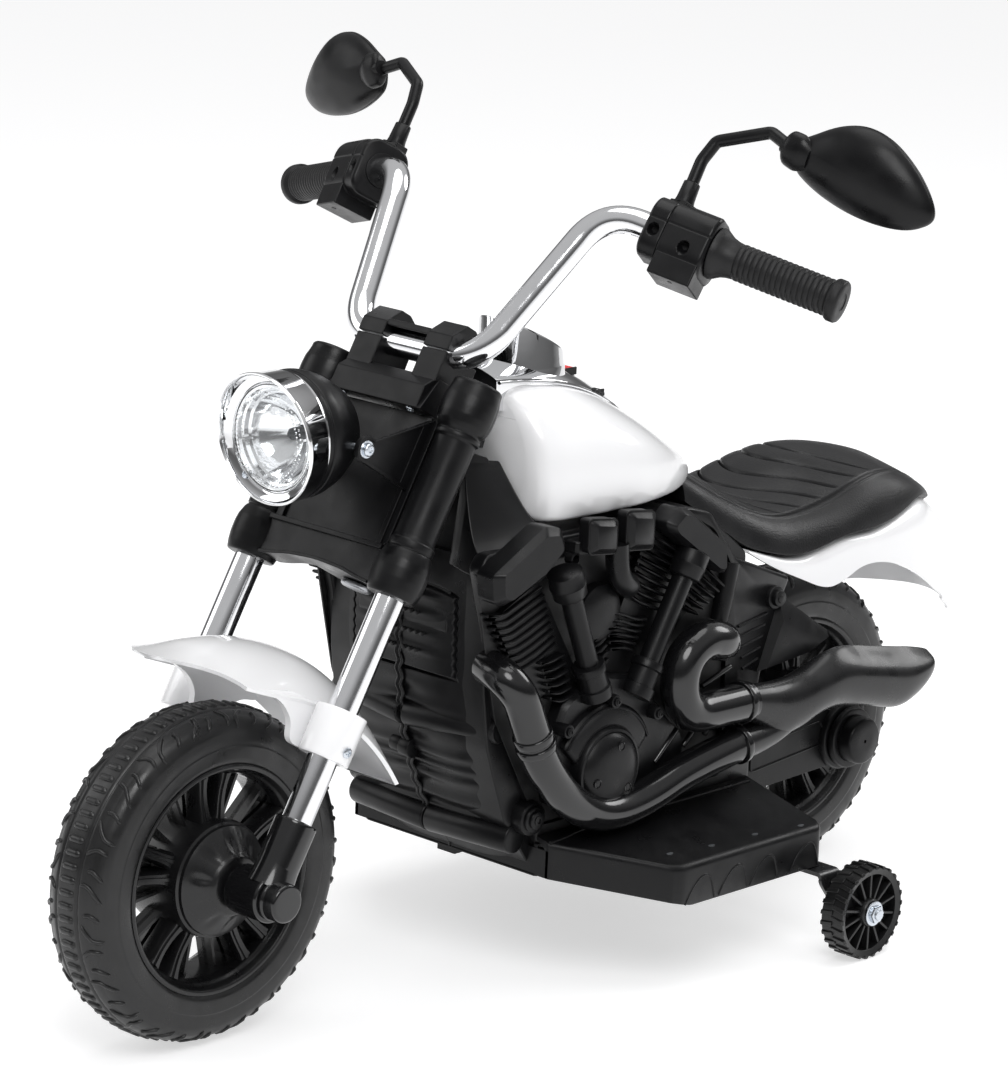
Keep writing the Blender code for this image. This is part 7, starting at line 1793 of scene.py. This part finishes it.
def makeTray():
    y = np.concatenate([np.linspace(trayPlan["front"], trayPlan["wide"], 26), np.linspace(0.289, 0.43, 50),
                        trayPlan["rear"] - 0.0066 * (1 - np.sin(np.linspace(0, math.pi / 2, 8)[1:]))])
    reach = np.interp(y, [trayPlan["front"], trayPlan["wide"], 0.296, 1.0], [0.089, 0.145, 0.1478, 0.1478])
    reach = reach - 0.006 * (1 - np.sqrt(1 - np.clip((y - 0.4302) / 0.0067, 0, 1) ** 2))
    bottom = np.interp(y, [trayPlan["front"], 0.305], [0.0787, trayPlan["bottom"]])
    turn = np.linspace(0, math.pi / 2, 7)
    front, end, edge = trayPlan["front"], trayPlan["boardEnd"], trayPlan["edge"]
    sheets = []
    for index in range(len(y)):
        far, low = reach[index], bottom[index]
        across = np.linspace(trayPlan["inner"], far - edge, 8)
        top = np.stack([across, footTop(across)], 1)
        bend = np.stack([far - edge + edge * np.sin(turn), footTop(far - edge) - edge + edge * np.cos(turn)],
                        1)[1:]
        wall = [(far, low + 0.0006), (far - 0.0006, low), (far - 0.0026, low), (far - 0.003, low + 0.001)]
        under = [(far - 0.003, footTop(far) - 0.0065), (far - 0.007, footTop(far - 0.007) - 0.0035),
                 (trayPlan["inner"], footTop(trayPlan["inner"]) - 0.003)]
        ring = np.concatenate([top, bend, wall, under])
        sheets.append(np.insert(ring, 1, y[index], 1))
    board = skin(np.stack(sheets))
    # Close the board's rear with its end face and stand the skirt across the front
    shapes = bothWays(board)
    shapes += bothWays(tile([(0.077, 0.4338), (0.144, 0.4338), (0.144, 0.4362), (0.077, 0.4362)], 0.0604,
                            0.0885))
    shapes.append(block((-0.077, front, 0.0778), (0.077, end, 0.0798)))
    shapes.append(block((-0.0886, front, 0.0787), (0.0886, 0.233, 0.0975)))
    shapes.append(block((-0.012, 0.23, 0.074), (0.004, 0.238, 0.08)))
    for side in (1, -1):
        shapes.append(sided(block((0.075, 0.2296, 0.078), (0.0785, end, 0.1)), side))
        shapes.append(sided(block((0.0745, 0.305, 0.0604), (0.0775, end, 0.08)), side))
    piece("trayShell", "chassis", "satinBlack", allMoved(shapes, bike), ["base_tray"],
          bevel=0.0007, sharp=50.0)
    trims, marks = [], []
    lip = [(0.089, 0.23), (0.088, 0.245), (0.0846, 0.262), (0.0838, 0.3), (0.0838, 0.432)]
    path = flow([(x, y, footTop(x) + 0.0004) for x, y in lip], 8)
    trims += bothWays(tubeAlong(path, 0.0012, 10))
    circle = np.linspace(0, 6.2832, 20, endpoint=False)
    for x, y in ((0.1442, 0.42), (0.1395, 0.3785), (0.138, 0.3367), (0.134, 0.3)):
        x -= 0.003
        oval = np.stack([x + 0.0014 * np.cos(circle), y + 0.0028 * np.sin(circle)], 1)
        marks += bothWays(tile(oval, footTop(x) - 0.001, footTop(x) + 0.00035))
    for middle in (0.315, 0.348, 0.379, 0.42):
        arch = [(middle - 0.0165, 0.0616), (middle - 0.012, 0.07), (middle - 0.004, 0.0775),
                (middle + 0.004, 0.0795), (middle + 0.009, 0.074), (middle + 0.012, 0.0616)]
        arch = np.array([point for point in arch if point[0] < end])
        trims += bothWays(tubeAlong(flow(np.insert(arch, 0, 0.1473, 1), 6), 0.001, 10, (1.0, 0.0, 0.0)))
    piece("trayTrim", "chassis", "satinBlack", allMoved(trims, bike), sharp=60.0)
    piece("footMarks", "chassis", "caseGrey", allMoved(marks, bike))
    seam = tubeAlong([(0.0, 0.2291, 0.097), (0.0, 0.2291, 0.0795)], 0.0009, 8, (0.0, 1.0, 0.0))
    piece("traySeam", "chassis", "deepBlack", moved(seam, bike))


def makePedal():
    rings = []
    for x in (-0.142, -0.113):
        base = footTop(-x)
        ring = [(0.345, base + 0.0009), (0.3, base + 0.0064), (0.3, base + 0.0099), (0.344, base + 0.0054),
                (0.3478, base + 0.0032)]
        rings.append(np.insert(np.array(ring), 0, x, 1))
    treads = []
    for share in np.linspace(0.12, 0.8, 6):
        y = 0.3 + share * 0.044
        lift = 0.0099 - share * 0.0045
        treads.append(tubeAlong([(-0.1395, y, footTop(0.1395) + lift), (-0.1155, y, footTop(0.1155) + lift)],
                                0.0007, 10))
    piece("pedalPad", "accelerator_pedal", "satinBlack",
          allMoved([skin(np.stack(rings))] + treads, bike), ["accelerator_pedal"], bevel=0.0007)


stabiliserPlan = {"middle": 0.175, "along": 0.448, "up": 0.0335, "strapTop": 0.0597, "boltFace": 0.1853,
                  "spokes": 14, "knobs": 26}


def makeStabilisers():
    plan = stabiliserPlan
    knobs = plan["knobs"]
    place = (plan["middle"], plan["along"], plan["up"])
    rim = lathe([(0.0262, -0.0078), (0.0308, -0.0092), (0.0312, 0.0), (0.0308, 0.0092), (0.0262, 0.0078)], 96,
                closed=True)
    hub = lathe([(0.0044, -0.01), (0.0088, -0.01), (0.0098, -0.0088), (0.0098, 0.0088), (0.0088, 0.01),
                 (0.0044, 0.01)], 48, closed=True)
    web = lathe([(0.009, -0.0012), (0.027, -0.0012), (0.027, 0.0012), (0.009, 0.0012)], 64, closed=True)
    spoke = block((-0.0072, -0.0009, 0.009), (0.0072, 0.0009, 0.027))
    knob = skin(np.array([
        [(-0.0099, -0.0026, 0.03), (-0.0099, 0.001, 0.03), (0.0005, 0.0026, 0.03), (0.0005, -0.001, 0.03)],
        [(-0.0092, -0.0022, 0.0322), (-0.0092, 0.0004, 0.0322), (0.0003, 0.002, 0.0323),
         (0.0003, -0.0006, 0.0323)]]))
    other = (knob[0] * np.array([-1.0, 1.0, 1.0]), knob[1])
    shapes = [rim, hub, web] + spread(spoke, plan["spokes"], 0.0)
    shapes += spread(knob, knobs, 0.0) + spread(other, knobs, math.pi / knobs)
    for side, word in sides:
        def toHub(points, side=side):
            return bike(np.asarray(points) * [side, 1, 1] + np.array([place[0] * side, place[1], place[2]]))
        piece("stabiliserTyre_" + word, "training_wheel_" + word, "tyreBlack", allMoved(shapes, toHub),
              ["training_wheel_" + word], bevel=0.0004, sharp=40.0, slotName="black_plastic")
    top = plan["strapTop"]
    lug = [(0.4235, top - 0.004), (0.424, 0.052), (0.437, plan["up"] + 0.002), (0.439, 0.028),
           (plan["along"], 0.023), (0.457, 0.028), (0.4585, plan["up"] + 0.002), (0.456, 0.0412),
           (0.448, 0.047), (0.443, 0.054), (0.4428, top - 0.004)]
    straps, bright = [block((-0.155, 0.4232, top - 0.003), (0.155, 0.4428, top - 0.0001))], []
    bend = np.linspace(0, math.pi / 2, 9)
    bendX, bendUp = 0.1549, top - 0.0042
    for side in (1, -1):
        straps.append(sided(roundSlab(lug, 0.1561, 0.1589), side))
        arcs = [np.stack([bendX + radius * np.sin(bend), bendUp + radius * np.cos(bend)], 1)
                for radius in (0.0041, 0.0012)]
        corner = np.concatenate([arcs[0], arcs[1][::-1]])
        straps.append(sided(plate(corner, 0.4234, 0.4428), side))
        centre = (plan["along"], plan["up"])
        face = plan["boltFace"]
        bright += [sided(shape, side) for shape in (
            pin((0.156, *centre), (face + 0.0058, *centre), 0.0038, 28, 0.0006),
            pin((face, *centre), (face + 0.0012, *centre), 0.0085, 48, 0.0003),
            pin((face + 0.0011, *centre), (face + 0.0042, *centre), 0.0062, 6, 0.0005),
            pin((0.154, *centre), (0.1561, *centre), 0.0062, 6, 0.0004))]
    piece("stabiliserStrap", "chassis", "paintedStrap", allMoved(straps, bike),
          ["training_wheel_bracket"], bevel=0.0005)
    piece("stabiliserBolts", "chassis", "zinc", allMoved(bright, bike), sharp=30.0, slotName="steel")


def makeDrive():
    hub = bodyPlan["hub"]
    piece("rearAxleBar", "chassis", "steel",
          moved(pin((-0.082, *hub), (0.082, *hub), 0.005, 36, 0.0005), bike), ["rear_axle"])
    for side, word in sides:
        profile = [(0.0055, 0.0753), (0.0165, 0.0753), (0.0165, 0.0835), (0.016, 0.085), (0.0148, 0.0859),
                   (0.006, 0.086), (0.0013, 0.086), (0.0013, 0.0826), (0.0055, 0.0826)]
        piece("rearCap_" + word, "chassis", "satinBlack",
              moved(lathe(profile, 72, "x", (0.0, *hub), closed=True), bike, side), ["rear_axle_cap_" + word],
              sharp=40.0, slotName="gloss_black")
    case = [(0.3905, 0.0905), (0.554, 0.0905), (0.569, 0.101), (0.569, 0.119), (0.554, 0.129),
            (0.3905, 0.134)]
    shapes = [roundSlab(case, -0.0474, -0.0408, 0.003),
              block((-0.0468, 0.3905, 0.0908), (-0.0102, 0.4278, 0.1342)),
              pin((-0.0112, 0.409, 0.113), (0.0298, 0.409, 0.113), 0.0134, 48, 0.001)]
    gears = piece("driveCase", "chassis", "gearWhite", allMoved(shapes, bike), ["gearbox"], bevel=0.0006)
    carve(gears, [moved(pin((-0.06, *hub), (-0.03, *hub), 0.0054, 32), bike)])
    cell = [block((-0.0348, 0.2502, 0.0837), (0.0348, 0.2968, 0.18)),
            block((-0.033, 0.252, 0.1795), (0.033, 0.295, 0.184))]
    cell += bothWays(block((0.018, 0.27, 0.1835), (0.023, 0.2712, 0.1849)))
    piece("batteryCase", "chassis", "caseGrey", allMoved(cell, bike), ["battery"], bevel=0.0006,
          slotName="battery_case")


makeTray()
makePedal()
makeStabilisers()
makeDrive()
print("tray, stabilisers and drive ready")
